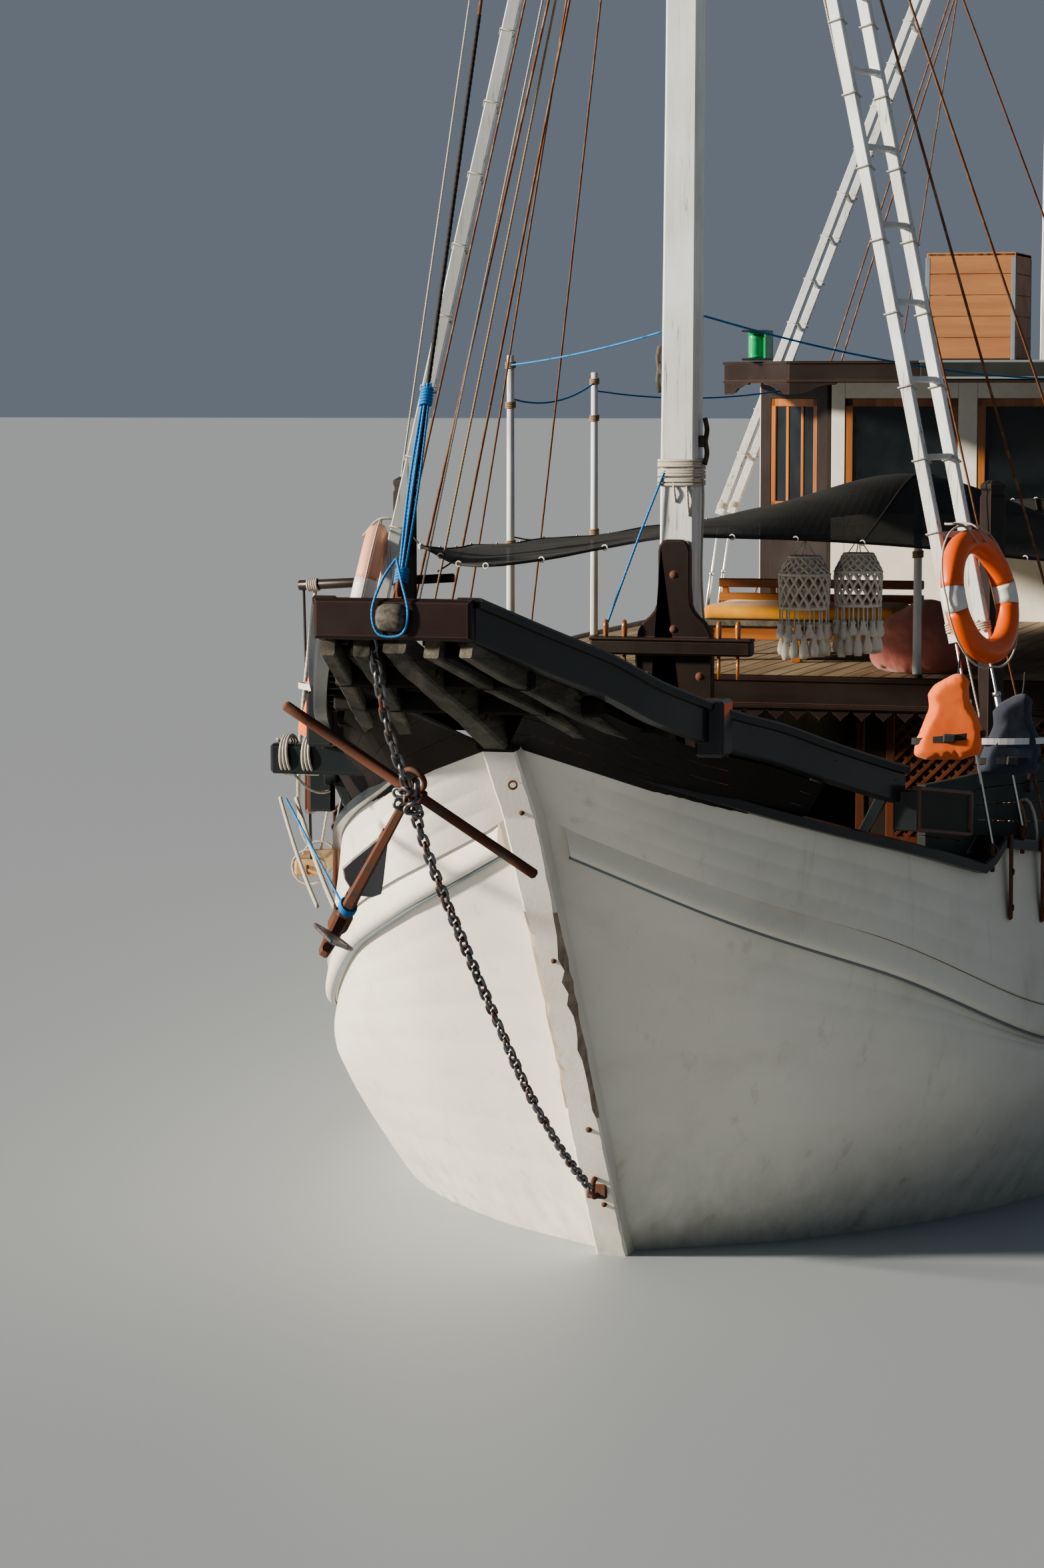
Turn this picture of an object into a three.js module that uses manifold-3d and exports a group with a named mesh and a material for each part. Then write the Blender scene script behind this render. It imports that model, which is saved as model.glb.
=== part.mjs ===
// Two-masted wooden passenger sailing and motor boat, decked hull, raked bow.
// Millimetres. +X points forward, +Y to port, +Z up. The origin lies amidships on the waterline.
import * as THREE from "three";
import { mergeVertices } from "three/addons/utils/BufferGeometryUtils.js";
import Module from "manifold-3d";

const SEAT = 0.3;
const STEM_HALF = 80;
const STEM_THICK = 130;
const BULWARK_THICK = 110;
const KEEL_HALF = 90;
const KEEL_BOTTOM = -1720;
const STERNPOST_X = -7900;
const RUDDER_AXIS_X = -7965;
const SHAFT_Z = -1050;
const PROPELLER_RADIUS = 330;

const DECK_FLAT = 1300;
const UPPER_DECK_TOP = 2600;
const UPPER_DECK_THICK = 80;
const SALOON_FLOOR = 560;
const SALOON = { front: 3500, back: -6900, half: 1900, wall: 60 };
const WHEELHOUSE = { front: -2100, facetFront: 1000, facetBack: -2750, half: 1650, back: -5450, wall: 50 };
const WHEELHOUSE_TOP = 4330;
const ROOF_THICK = 140;

const FOREMAST = { x: 6100, foot: 1400, top: 13900, lean: -200, footSize: 184, topSize: 124 };
const AFTMAST = { x: -5750, foot: 2600, top: 12900, lean: -200, footSize: 160, topSize: 105 };
const HOUNDS = 9700;
const RUNG_STEP = 370;
const HATCH = { back: 4350, front: 5150, half: 400, top: 1450 };
const WELL = { back: SALOON.back + 160, front: SALOON.front - 160, half: SALOON.half - 160 };
const BOW_SPLIT = 5200;
const FAR = 13000;
const RAIL_THICK = 65;

const paint = {
  white: { color: 0xe9e6da, roughness: 0.45, metalness: 0 },
  dirtyWhite: { color: 0xd9d6cb, roughness: 0.5, metalness: 0 },
  antifouling: { color: 0x8a3b2c, roughness: 0.7, metalness: 0 },
  darkWood: { color: 0x2a1a14, roughness: 0.4, metalness: 0 },
  greyWood: { color: 0x6e675e, roughness: 0.85, metalness: 0 },
  deckWood: { color: 0x8c7354, roughness: 0.75, metalness: 0 },
  varnish: { color: 0x9a5426, roughness: 0.35, metalness: 0 },
  mastWhite: { color: 0xdfe2e3, roughness: 0.6, metalness: 0 },
  rust: { color: 0x6b3a24, roughness: 0.85, metalness: 0.4 },
  bronze: { color: 0xa8803c, roughness: 0.35, metalness: 0.9 },
  wire: { color: 0x6a4630, roughness: 0.6, metalness: 0.6 },
  glass: { color: 0x22303a, roughness: 0.08, metalness: 0 },
  net: { color: 0x16161a, roughness: 0.9, metalness: 0 },
  orange: { color: 0xe8561c, roughness: 0.45, metalness: 0 },
  peach: { color: 0xe3a285, roughness: 0.55, metalness: 0 },
  yellowCloth: { color: 0xd98a12, roughness: 0.85, metalness: 0 },
  creamCord: { color: 0xcfc4ab, roughness: 0.9, metalness: 0 },
  green: { color: 0x2f8f5b, roughness: 0.4, metalness: 0 },
  red: { color: 0xb5231d, roughness: 0.4, metalness: 0 },
};

const wasm = await Module();
wasm.setup();
const boat = new THREE.Group();

// Closed solids and geometry.
function solidOf(geometry) {
  const plain = geometry.clone();
  for (const name of Object.keys(plain.attributes)) {
    if (name !== "position") {
      plain.deleteAttribute(name);
    }
  }
  const merged = mergeVertices(plain, 1e-3);
  return new wasm.Manifold(new wasm.Mesh({
    numProp: 3,
    vertProperties: new Float32Array(merged.attributes.position.array),
    triVerts: new Uint32Array(merged.index.array),
  }));
}

function geometryOf(solid) {
  const mesh = solid.getMesh();
  const geometry = new THREE.BufferGeometry();
  const points = new Float32Array(mesh.numVert * 3);
  for (let i = 0; i < mesh.numVert; i += 1) {
    for (let k = 0; k < 3; k += 1) {
      points[3 * i + k] = mesh.vertProperties[i * mesh.numProp + k];
    }
  }
  geometry.setAttribute("position", new THREE.BufferAttribute(points, 3));
  geometry.setIndex(Array.from(mesh.triVerts));
  geometry.computeVertexNormals();
  return geometry;
}

function join(pieces) {
  let total = solidOf(pieces[0]);
  for (const piece of pieces.slice(1)) {
    total = total.add(solidOf(piece));
  }
  return geometryOf(total);
}

function cut(geometry, cutters) {
  let total = solidOf(geometry);
  for (const cutter of cutters) {
    total = total.subtract(solidOf(cutter));
  }
  return geometryOf(total);
}

function common(geometry, other) {
  return geometryOf(solidOf(geometry).intersect(solidOf(other)));
}

function add(name, geometry, look, parent = boat) {
  const mesh = new THREE.Mesh(geometry, new THREE.MeshStandardMaterial(look));
  mesh.name = name;
  parent.add(mesh);
  return mesh;
}

// A box between two corners.
function block(low, high) {
  const size = high.map((value, i) => value - low[i]);
  const geometry = new THREE.BoxGeometry(size[0], size[1], size[2]);
  geometry.translate(...low.map((value, i) => value + size[i] / 2));
  return geometry;
}

function shapeOf(outline) {
  return new THREE.Shape(outline.map(([u, v]) => new THREE.Vector2(u, v)));
}

// Plates cut from an outline: in plan (x, y), in profile (x, z) and from ahead (y, z).
function planPlate(outline, low, high) {
  const geometry = new THREE.ExtrudeGeometry(shapeOf(outline), { depth: high - low, bevelEnabled: false });
  geometry.translate(0, 0, low);
  return geometry;
}

function profilePlate(outline, low, high) {
  const geometry = new THREE.ExtrudeGeometry(shapeOf(outline), { depth: high - low, bevelEnabled: false });
  geometry.rotateX(Math.PI / 2);
  geometry.translate(0, high, 0);
  return geometry;
}

function frontPlate(outline, low, high) {
  const geometry = new THREE.ExtrudeGeometry(shapeOf(outline), { depth: high - low, bevelEnabled: false });
  geometry.rotateX(Math.PI / 2);
  geometry.rotateZ(Math.PI / 2);
  geometry.translate(low, 0, 0);
  return geometry;
}

// A straight bar between two points. wide is measured across, tall is measured upward.
function bar(from, to, wide, tall, tipWide = wide, tipTall = tall) {
  const start = new THREE.Vector3(...from);
  const end = new THREE.Vector3(...to);
  const along = end.clone().sub(start).normalize();
  const reference = Math.abs(along.z) > 0.95 ? new THREE.Vector3(1, 0, 0) : new THREE.Vector3(0, 0, 1);
  const across = new THREE.Vector3().crossVectors(reference, along).normalize();
  const up = new THREE.Vector3().crossVectors(along, across);
  const ring = (centre, w, t) => [[-1, -1], [1, -1], [1, 1], [-1, 1]].map(([a, b]) => centre.clone()
    .addScaledVector(across, a * w / 2)
    .addScaledVector(up, b * t / 2)
    .toArray());
  return loft([ring(start, wide, tall), ring(end, tipWide, tipTall)]);
}

function rod(from, to, radius, sides = 8) {
  const start = new THREE.Vector3(...from);
  const end = new THREE.Vector3(...to);
  const geometry = new THREE.CylinderGeometry(radius, radius, start.distanceTo(end), sides);
  const turn = new THREE.Quaternion().setFromUnitVectors(
    new THREE.Vector3(0, 1, 0),
    end.clone().sub(start).normalize(),
  );
  geometry.applyQuaternion(turn);
  geometry.translate(...start.clone().add(end).multiplyScalar(0.5).toArray());
  return geometry;
}

function tube(points, radius, sides, steps) {
  const curve = new THREE.CatmullRomCurve3(points.map((p) => new THREE.Vector3(...p)));
  const section = new THREE.Shape();
  for (let i = 0; i < sides; i += 1) {
    const angle = 2 * Math.PI * i / sides;
    const u = radius * Math.cos(angle);
    const v = radius * Math.sin(angle);
    if (i === 0) {
      section.moveTo(u, v);
    } else {
      section.lineTo(u, v);
    }
  }
  return new THREE.ExtrudeGeometry(section, { steps, extrudePath: curve });
}

function lathe(profile, sides) {
  return new THREE.LatheGeometry(profile.map(([r, z]) => new THREE.Vector2(r, z)), sides);
}

// Skins a row of rings that hold the same number of points and caps both ends.
// A ladder cap joins the points in pairs from the two sides of a mirrored ring, whose two
// halves are then skinned alike.
function loft(rings, ladderCaps = false) {
  const count = rings[0].length;
  const faces = [];
  for (let i = 0; i + 1 < rings.length; i += 1) {
    for (let k = 0; k < count; k += 1) {
      const a = i * count + k;
      const b = i * count + (k + 1) % count;
      if (ladderCaps && k >= count / 2) {
        faces.push([a, b, a + count], [b, b + count, a + count]);
      } else {
        faces.push([a, b, b + count], [a, b + count, a + count]);
      }
    }
  }
  const last = (rings.length - 1) * count;
  if (ladderCaps) {
    for (let k = 0; k + 1 < count / 2; k += 1) {
      const mate = count - 1 - k;
      faces.push([k, mate, mate - 1], [k, mate - 1, k + 1]);
      faces.push([last + k, last + mate - 1, last + mate], [last + k, last + k + 1, last + mate - 1]);
    }
  } else {
    for (let k = 1; k + 1 < count; k += 1) {
      faces.push([0, k + 1, k], [last, last + k, last + k + 1]);
    }
  }
  const points = rings.flat();
  let volume = 0;
  for (const [a, b, c] of faces) {
    const [p, q, r] = [points[a], points[b], points[c]];
    volume += p[0] * (q[1] * r[2] - q[2] * r[1]) - p[1] * (q[0] * r[2] - q[2] * r[0])
      + p[2] * (q[0] * r[1] - q[1] * r[0]);
  }
  const ordered = volume < 0 ? faces.map(([a, b, c]) => [a, c, b]) : faces;
  const geometry = new THREE.BufferGeometry();
  geometry.setAttribute("position", new THREE.BufferAttribute(new Float32Array(points.flat()), 3));
  geometry.setIndex(ordered.flat());
  geometry.computeVertexNormals();
  return geometry;
}

function mirrored(geometry) {
  const other = geometry.clone();
  const position = other.attributes.position;
  for (let i = 0; i < position.count; i += 1) {
    position.setY(i, -position.getY(i));
  }
  const plain = other.index
    ? Array.from(other.index.array)
    : Array.from({ length: position.count }, (_, i) => i);
  const turned = [];
  for (let i = 0; i < plain.length; i += 3) {
    turned.push(plain[i], plain[i + 2], plain[i + 1]);
  }
  other.setIndex(turned);
  return other;
}

function addPair(name, geometry, look, mirrorLook = look) {
  add(`${name}_port`, geometry, look);
  add(`${name}_starboard`, mirrored(geometry), mirrorLook);
}

// A smooth curve through knots that never overshoots them.
function fair(knots, values) {
  const n = knots.length;
  const slopes = knots.slice(1).map((k, i) => (values[i + 1] - values[i]) / (k - knots[i]));
  const tangents = values.map((_, i) => {
    if (i === 0) {
      return slopes[0];
    }
    if (i === n - 1) {
      return slopes[n - 2];
    }
    if (slopes[i - 1] * slopes[i] <= 0) {
      return 0;
    }
    return 2 * slopes[i - 1] * slopes[i] / (slopes[i - 1] + slopes[i]);
  });
  return (x) => {
    let i = 0;
    while (i < n - 2 && x > knots[i + 1]) {
      i += 1;
    }
    const h = knots[i + 1] - knots[i];
    const t = Math.min(1, Math.max(0, (x - knots[i]) / h));
    const s = 1 - t;
    return values[i] * s * s * (1 + 2 * t) + values[i + 1] * t * t * (3 - 2 * t)
      + tangents[i] * h * t * s * s - tangents[i + 1] * h * t * t * s;
  };
}

// Hull lines. Each row runs from the stem (u = 0) to the transom (u = 1).
const rowKnots = [0, 0.03, 0.08, 0.15, 0.25, 0.4, 0.6, 0.8, 0.92, 1];
const rows = {
  keel: {
    bow: 5400, stern: -8950,
    z: [-1280, -1300, -1320, -1350, -1380, -1420, -1420, -1150, -450, 50],
    y: [90, 90, 90, 90, 90, 90, 90, 90, 90, 90],
  },
  garboard: {
    bow: 6300, stern: -9020,
    z: [-1000, -1080, -1120, -1150, -1200, -1240, -1220, -880, -200, 160],
    y: [80, 300, 550, 850, 1150, 1350, 1300, 850, 550, 620],
  },
  bilge: {
    bow: 6860, stern: -9100,
    z: [-500, -600, -700, -800, -850, -900, -850, -500, 80, 340],
    y: [80, 500, 1000, 1450, 1800, 2000, 1950, 1480, 1080, 1020],
  },
  waterline: {
    bow: 7270, stern: -9200,
    z: [0, 0, -50, -100, -200, -300, -250, 50, 420, 600],
    y: [80, 800, 1450, 1930, 2240, 2370, 2310, 2010, 1640, 1420],
  },
  topside: {
    bow: 7870, stern: -9280,
    z: [900, 850, 750, 620, 450, 250, 250, 500, 800, 920],
    y: [80, 1000, 1720, 2130, 2360, 2490, 2480, 2280, 1940, 1660],
  },
  waleFoot: {
    bow: 8710, stern: -9420,
    z: [2170, 1793, 1428, 951, 676, 571, 585, 780, 1000, 1130],
    y: [80, 770, 1380, 1920, 2280, 2490, 2500, 2360, 2060, 1760],
  },
  waleHead: {
    bow: 8820, stern: -9440,
    z: [2330, 1962, 1612, 1134, 851, 734, 745, 940, 1160, 1290],
    y: [80, 790, 1390, 1920, 2280, 2490, 2500, 2360, 2070, 1770],
  },
};
const sheerKnots = [0, 0.012, 0.03, 0.06, 0.1, 0.15, 0.22, 0.3, 0.4, 0.52, 0.64, 0.76, 0.86, 0.94, 1];
const sheer = {
  bow: 9170, stern: -9500,
  z: [2690, 2533, 2408, 2225, 2032, 1813, 1655, 1560, 1525, 1540, 1580, 1700, 1880, 2080, 2250],
  y: [80, 490, 730, 1090, 1430, 1755, 2070, 2290, 2430, 2480, 2460, 2370, 2230, 2060, 1860],
};
const stepTable = { from: 0.1366, to: 0.1457, fadeFrom: 0.3, fadeTo: 0.45, height: 150 };
const deckKnots = [-9350, -8300, -7200, 5450, 5700, 6900, 8000];
const deckHeights = [1500, 1380, 1300, 1300, 1400, 1400, 1620];
const deckRow = {
  bow: 7950, stern: -9330,
  y: [40, 800, 1380, 1790, 2090, 2320, 2340, 2180, 1900, 1640],
};
const stations = [
  0, 0.004, 0.01, 0.018, 0.028, 0.04, 0.055, 0.07, 0.09, 0.11, 0.1366, 0.1457, 0.165, 0.19, 0.22, 0.26,
  0.3, 0.35, 0.4, 0.46, 0.52, 0.58, 0.64, 0.7, 0.75, 0.8, 0.84, 0.88, 0.91, 0.94, 0.97, 1,
];

const fairRows = Object.values(rows).map((row) => ({
  bow: row.bow,
  stern: row.stern,
  z: fair(rowKnots, row.z),
  y: fair(rowKnots, row.y),
}));
const sheerZ = fair(sheerKnots, sheer.z);
const sheerY = fair(sheerKnots, sheer.y);
const deckY = fair(rowKnots, deckRow.y);
const deckZ = fair(deckKnots, deckHeights);

function ramp(x, from, to) {
  return Math.min(1, Math.max(0, (x - from) / (to - from)));
}

function sheerPoint(u) {
  const step = ramp(u, stepTable.from, stepTable.to) * (1 - ramp(u, stepTable.fadeFrom, stepTable.fadeTo));
  return [
    sheer.bow + (sheer.stern - sheer.bow) * u,
    sheerY(u),
    sheerZ(u) + step * stepTable.height,
  ];
}

function rowPoint(row, u) {
  return [row.bow + (row.stern - row.bow) * u, row.y(u), row.z(u)];
}

// The outward direction in plan of a line of points at point i.
function outward(points, i) {
  const a = points[Math.max(0, i - 1)];
  const b = points[Math.min(points.length - 1, i + 1)];
  const length = Math.hypot(b[0] - a[0], b[1] - a[1]);
  return [(b[1] - a[1]) / length, -(b[0] - a[0]) / length];
}

function shifted(points, distance) {
  return points.map((p, i) => {
    const [nx, ny] = outward(points, i);
    return [p[0] + nx * distance, Math.max(p[1] + ny * distance, 30), p[2]];
  });
}

const outerRows = fairRows.map((row) => stations.map((u) => rowPoint(row, u)));
const sheerLine = stations.map(sheerPoint);
const innerSheer = shifted(sheerLine, -BULWARK_THICK);
const deckEdge = stations.map((u) => {
  const x = deckRow.bow + (deckRow.stern - deckRow.bow) * u;
  return [x, deckY(u), deckZ(x)];
});

function mirrorRing(half) {
  return half.concat(half.slice().reverse().map(([x, y, z]) => [x, -y, z]));
}

const hullRings = stations.map((_, i) => mirrorRing(
  outerRows.map((row) => row[i]).concat([sheerLine[i], innerSheer[i], deckEdge[i]]),
));
// The hull stands in six blocks that meet face to face: the bottom under the saloon's floor, the
// solid fore and after bodies up to the deck, the sides around the bow above the deck, and a side
// on each hand that closes the saloon's well and rises past the deck to the sheer.
const wholeHull = loft(hullRings, true);
const deckProfile = deckEdge.map(([x, , z]) => [x, z]);
const aboveDeck = (lift) => profilePlate([
  [FAR, deckProfile[0][1] + lift],
  ...deckProfile.map(([x, z]) => [x, z + lift]),
  [-FAR, deckProfile.at(-1)[1] + lift],
  [-FAR, 4000],
  [FAR, 4000],
], -FAR / 2, FAR / 2);
const saloonWell = block(
  [WELL.back, -WELL.half, SALOON_FLOOR],
  [WELL.front, WELL.half, 1800],
);
const besideWell = (grow) => block(
  [WELL.back - grow, -FAR, SALOON_FLOOR - grow],
  [WELL.front + grow, FAR, 4000],
);
const toStarboard = block([-FAR, -FAR, -FAR], [FAR, SEAT / 2, FAR]);
const coaming = block([HATCH.back, -HATCH.half, DECK_FLAT - 100], [HATCH.front, HATCH.half, HATCH.top]);
const hatchHole = block(
  [HATCH.back + 50, -HATCH.half + 50, 700],
  [HATCH.front - 50, HATCH.half - 50, HATCH.top + 100],
);
const bodyUnderDeck = cut(wholeHull, [aboveDeck(0)]);
const foreSpace = block([WELL.front + SEAT, -FAR, -FAR], [FAR, FAR, FAR]);
const afterSpace = block([-FAR, -FAR, -FAR], [WELL.back - SEAT, FAR, FAR]);
const midSpace = block([WELL.back, -FAR, -FAR], [WELL.front, FAR, SALOON_FLOOR]);
add("hull", common(bodyUnderDeck, midSpace), paint.white);
const foreBody = common(bodyUnderDeck, foreSpace);
add("hull_fore", cut(join([foreBody, coaming]), [hatchHole]), paint.white);
const transomBoard = frontPlate(
  [[-1600, 1480], [1600, 1480], [1700, sheer.z.at(-1)], [-1700, sheer.z.at(-1)]],
  deckRow.stern + 10,
  deckRow.stern + 70,
);
add("hull_aft", join([common(bodyUnderDeck, afterSpace), transomBoard]), paint.white);
const sideSpace = join([aboveDeck(SEAT), cut(besideWell(0), [block(
  [WELL.back - 1, -FAR, -FAR],
  [WELL.front + 1, FAR, SALOON_FLOOR + SEAT],
)])]);
const forward = block([BOW_SPLIT, -FAR, -FAR], [FAR, FAR, FAR]);
const side = cut(common(wholeHull, sideSpace), [saloonWell, toStarboard, forward]);
addPair("topside", side, paint.white);
const bowSpace = block([BOW_SPLIT + SEAT, -FAR, -FAR], [FAR, FAR, FAR]);
add("topside_bow", common(common(wholeHull, aboveDeck(SEAT)), bowSpace), paint.white);

// Height of the sheer and half-breadth at a distance x along the boat.
function sheerAt(x) {
  return sheerPoint((x - sheer.bow) / (sheer.stern - sheer.bow));
}

// Stem: its back follows the hull's leading strip.
const stemLine = outerRows.map((row) => [row[0][0], row[0][2]]).concat([[sheer.bow, sheerLine[0][2]]]);
const stemBack = stemLine.map(([x, z]) => [x + 3 * SEAT, z]);
const stemFront = stemLine.map(([x, z]) => [x + STEM_THICK, z]).reverse();
const stemOutline = [
  ...stemBack.slice().reverse(),
  [stemLine[0][0] + 3 * SEAT, -1330],
  [stemLine[0][0] + 3 * SEAT, KEEL_BOTTOM + 260],
  [stemLine[0][0] + 380, KEEL_BOTTOM + 330],
  [stemLine[1][0] + STEM_THICK, -1060],
  ...stemFront.slice(0, -2).reverse(),
];
add("stem", profilePlate(stemOutline, -STEM_HALF, STEM_HALF), paint.dirtyWhite);

// Keel and sternpost in one piece, open at the propeller aperture.
const keelTop = stations.map((_, i) => outerRows[0][i]).map(([x, , z]) => [x, z - 2 * SEAT]);
const keelAft = keelTop.filter(([x]) => x > STERNPOST_X);
const keelOutline = [
  [stemLine[0][0] - SEAT, keelTop[0][1]],
  ...keelAft.slice(1),
  [STERNPOST_X, -480],
  [STERNPOST_X, -1500],
  [STERNPOST_X - 420, -1500],
  [STERNPOST_X - 420, KEEL_BOTTOM],
  [stemLine[0][0] - SEAT, KEEL_BOTTOM + 260],
];
const aperture = block([STERNPOST_X + 150, -200, -1440], [STERNPOST_X + 700, 200, -330]);
add("keel", cut(profilePlate(keelOutline, -KEEL_HALF, KEEL_HALF), [aperture]), paint.antifouling);

// Strips that lie on the hull share its stations, so their faces match the hull's.
function strip(ringAt, from) {
  return loft(stations.slice(from).map((_, j) => ringAt(j + from)));
}

// Wale: the rubbing strake along both sides, thick along its lower edge.
const [waleFoot, waleHead] = [outerRows[5], outerRows[6]];
const waleFootOut = shifted(waleFoot, 60);
const waleFootUnder = shifted(waleFoot, 44);
const waleHeadOut = shifted(waleHead, 22);
const wale = strip((i) => [
  [waleHead[i][0], waleHead[i][1] + 2 * SEAT, waleHead[i][2]],
  [waleHeadOut[i][0], waleHeadOut[i][1], waleHeadOut[i][2] - 20],
  [waleFootOut[i][0], waleFootOut[i][1], waleFootOut[i][2] + 35],
  [waleFootUnder[i][0], waleFootUnder[i][1], waleFootUnder[i][2] + 4],
  [waleFoot[i][0], waleFoot[i][1] + 2 * SEAT, waleFoot[i][2]],
], 1);
addPair("wale", wale, paint.white);

// Cap along the top of the white hull. Pieces that stand on it are cut by a slightly larger copy.
function capStrip(grow) {
  const outer = shifted(sheerLine, 45 + 4 * grow);
  const inner = shifted(sheerLine, -BULWARK_THICK - 40 - 4 * grow);
  return strip((i) => {
    const low = sheerLine[i][2] + SEAT;
    return [
      [outer[i][0], outer[i][1], low],
      [sheerLine[i][0], sheerLine[i][1], low],
      [innerSheer[i][0], innerSheer[i][1], low],
      [inner[i][0], inner[i][1], low],
      [inner[i][0], inner[i][1], low + 55 + grow],
      [outer[i][0], outer[i][1], low + 55 + grow],
    ];
  }, 2);
}
const capClear = capStrip(SEAT);
const [sternX, sternY, sternZ] = sheerLine.at(-1);
const sternCap = block(
  [sternX + 10, -sternY + 40, sternZ + SEAT],
  [sternX + 250, sternY - 40, sternZ + SEAT + 55],
);
add("cap_rail", join([capStrip(0), mirrored(capStrip(0)), sternCap]), paint.darkWood);

// Rail path: the outer face of the plank that sweeps from the platform's tip down each side.
const railPath = [
  [10640, 335, 3318], [10200, 510, 3170], [9800, 665, 3040], [9500, 775, 2920], [9200, 870, 2830],
  [8900, 965, 2745], [8500, 1100, 2655], [8100, 1245, 2540], [7600, 1420, 2410], [7480, 1460, 2385],
];

// Bow platform: floor, front board and cross beams, notched for the timber that comes up through it.
const platformHeights = [3240, 3100, 2980, 2880, 2800];
const platformFloor = loft(platformHeights.map((z, i) => {
  const [x, outer] = railPath[i];
  const y = outer - RAIL_THICK - SEAT;
  return [[x, -y, z], [x, y, z], [x, y, z + 40], [x, -y, z + 40]];
}));
const frontBoard = block([10640 + SEAT, -335, 3235], [10705, 335, 3400]);
const boardRoot = block([10640 - 10, -335 + RAIL_THICK + 2, 3235], [10705, 335 - RAIL_THICK - 2, 3400]);
const crossBeams = [[10150, 440, 3085], [9700, 610, 2945]].map(([x, y, z]) => (
  block([x - 40, -y, z - 80], [x + 40, y, z + 30])
));
const bowspritPath = [[9320, 2620], [9700, 2785], [10150, 2925], [10350, 3010], [10745, 3330]];
const bowspritAt = (grow) => loft(bowspritPath.map(([x, z], i) => {
  const end = i === 0 ? -grow : i === 4 ? grow : 0;
  return [
    [x + end, -78 - grow, z - 65 - grow],
    [x + end, 78 + grow, z - 65 - grow],
    [x + end, 78 + grow, z + 75 + grow],
    [x + end, -78 - grow, z + 75 + grow],
  ];
}));
const platformBoards = join([platformFloor, boardRoot, frontBoard, ...crossBeams]);
add("bow_platform", cut(platformBoards, [bowspritAt(0.4)]), paint.darkWood);

// Weathered timbers under the platform: the central one and a curved knee on each side.
const knee = loft([
  [9320, 70, 2250, 2520], [9420, 110, 2330, 2600], [9650, 185, 2560, 2735], [10000, 235, 2790, 2920],
  [10250, 262, 2925, 3030], [10560, 280, 3090, 3185],
].map(([x, y, low, high]) => [[x, y, low], [x, y + 85, low], [x, y + 85, high], [x, y, high]]));
const bowHeel = block([9320, -150, 2380], [9420, 150, 2560]);
add("bow_timbers", join([bowspritAt(0), knee, mirrored(knee), bowHeel]), paint.greyWood);

// Rail plank on each side of the bow, with its posts down to the cap and a blank name board.
const railPlank = loft(railPath.map(([x, y, z]) => [
  [x, y - RAIL_THICK, z - 92], [x, y, z - 92], [x, y, z + 88], [x, y - RAIL_THICK, z + 88],
]));
const railPosts = [[8700, 1033, 2695], [8050, 1263, 2525], [7540, 1441, 2397]].map(([x, y, z]) => {
  const foot = sheerAt(x + 35);
  return frontPlate([
    [foot[1] - 110, foot[2] + 30],
    [foot[1] - 20, foot[2] + 30],
    [y - 3, z - 60],
    [y - 3, z + 40],
    [y - 62, z + 40],
    [y - 62, z - 20],
  ], x - 35, x + 35);
});
const nameBoard = loft([[7500, 1490, 2170], [7080, 1660, 2110]].map(([x, y, z]) => [
  [x, y, z], [x, y + 42, z], [x, y + 42, z + 200], [x, y, z + 200],
]));
const boardHanger = block([7460, 1400, 2160], [7520, 1530, 2400]);
// The cathead lies across the cap under the starboard plank.
const cathead = block([8450, 300, sheerAt(8600)[2] + 40], [8590, 1330, 2600]);
const bowRail = [railPlank, ...railPosts, boardHanger, nameBoard];
add("bow_rail_port", cut(join(bowRail), [capClear]), paint.darkWood);
add("bow_rail_starboard", mirrored(cut(join([...bowRail, cathead]), [capClear])), paint.darkWood);

// Bulwark boards abreast of the foremast, with the square post that stands inside them.
const bulwarkTop = [
  [6950, 2330], [6622, 2338], [6449, 2344], [6200, 2350], [5600, 2340], [4800, 2320], [4000, 2300],
];
const bulwark = loft(bulwarkTop.map(([x, top]) => {
  const [, y, z] = sheerAt(x);
  return [[x, y - 148, z + 30], [x, y - 108, z + 30], [x, y - 108, top], [x, y - 148, top]];
}));
const postAt = [5880, 1580];
const post = block([postAt[0] - 48, postAt[1] - 48, 1401], [postAt[0] + 48, postAt[1] + 48, 3785]);
const pinRail = block([postAt[0] - 30, postAt[1], 2200], [postAt[0] + 30, 1890, 2260]);
addPair("bulwark", cut(join([bulwark, post, pinRail]), [capClear]), paint.darkWood);

// Boarding step slung over the starboard side from a pole that is lashed to the square post.
const stepPole = {
  x: postAt[0] - 48 - 28 * Math.cos(Math.PI / 10) - SEAT,
  outer: [-2210, 3194],
  inner: [-1330, 3246],
  radius: 28,
};
const stepPlank = { front: [5460, -2295, 1608], back: [4960, -2402, 1608], wide: 160, tall: 95 };
add("boarding_step", join([
  rod([stepPole.x, ...stepPole.outer], [stepPole.x, ...stepPole.inner], stepPole.radius, 10),
  rod([stepPole.x, -2185, 3190], [5420, -2290, 1620], 16, 8),
  rod([stepPole.x - 15, -2120, 3195], [5390, -2250, 1620], 8, 6),
  bar(stepPlank.front, stepPlank.back, stepPlank.wide, stepPlank.tall),
]), paint.greyWood);

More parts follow.
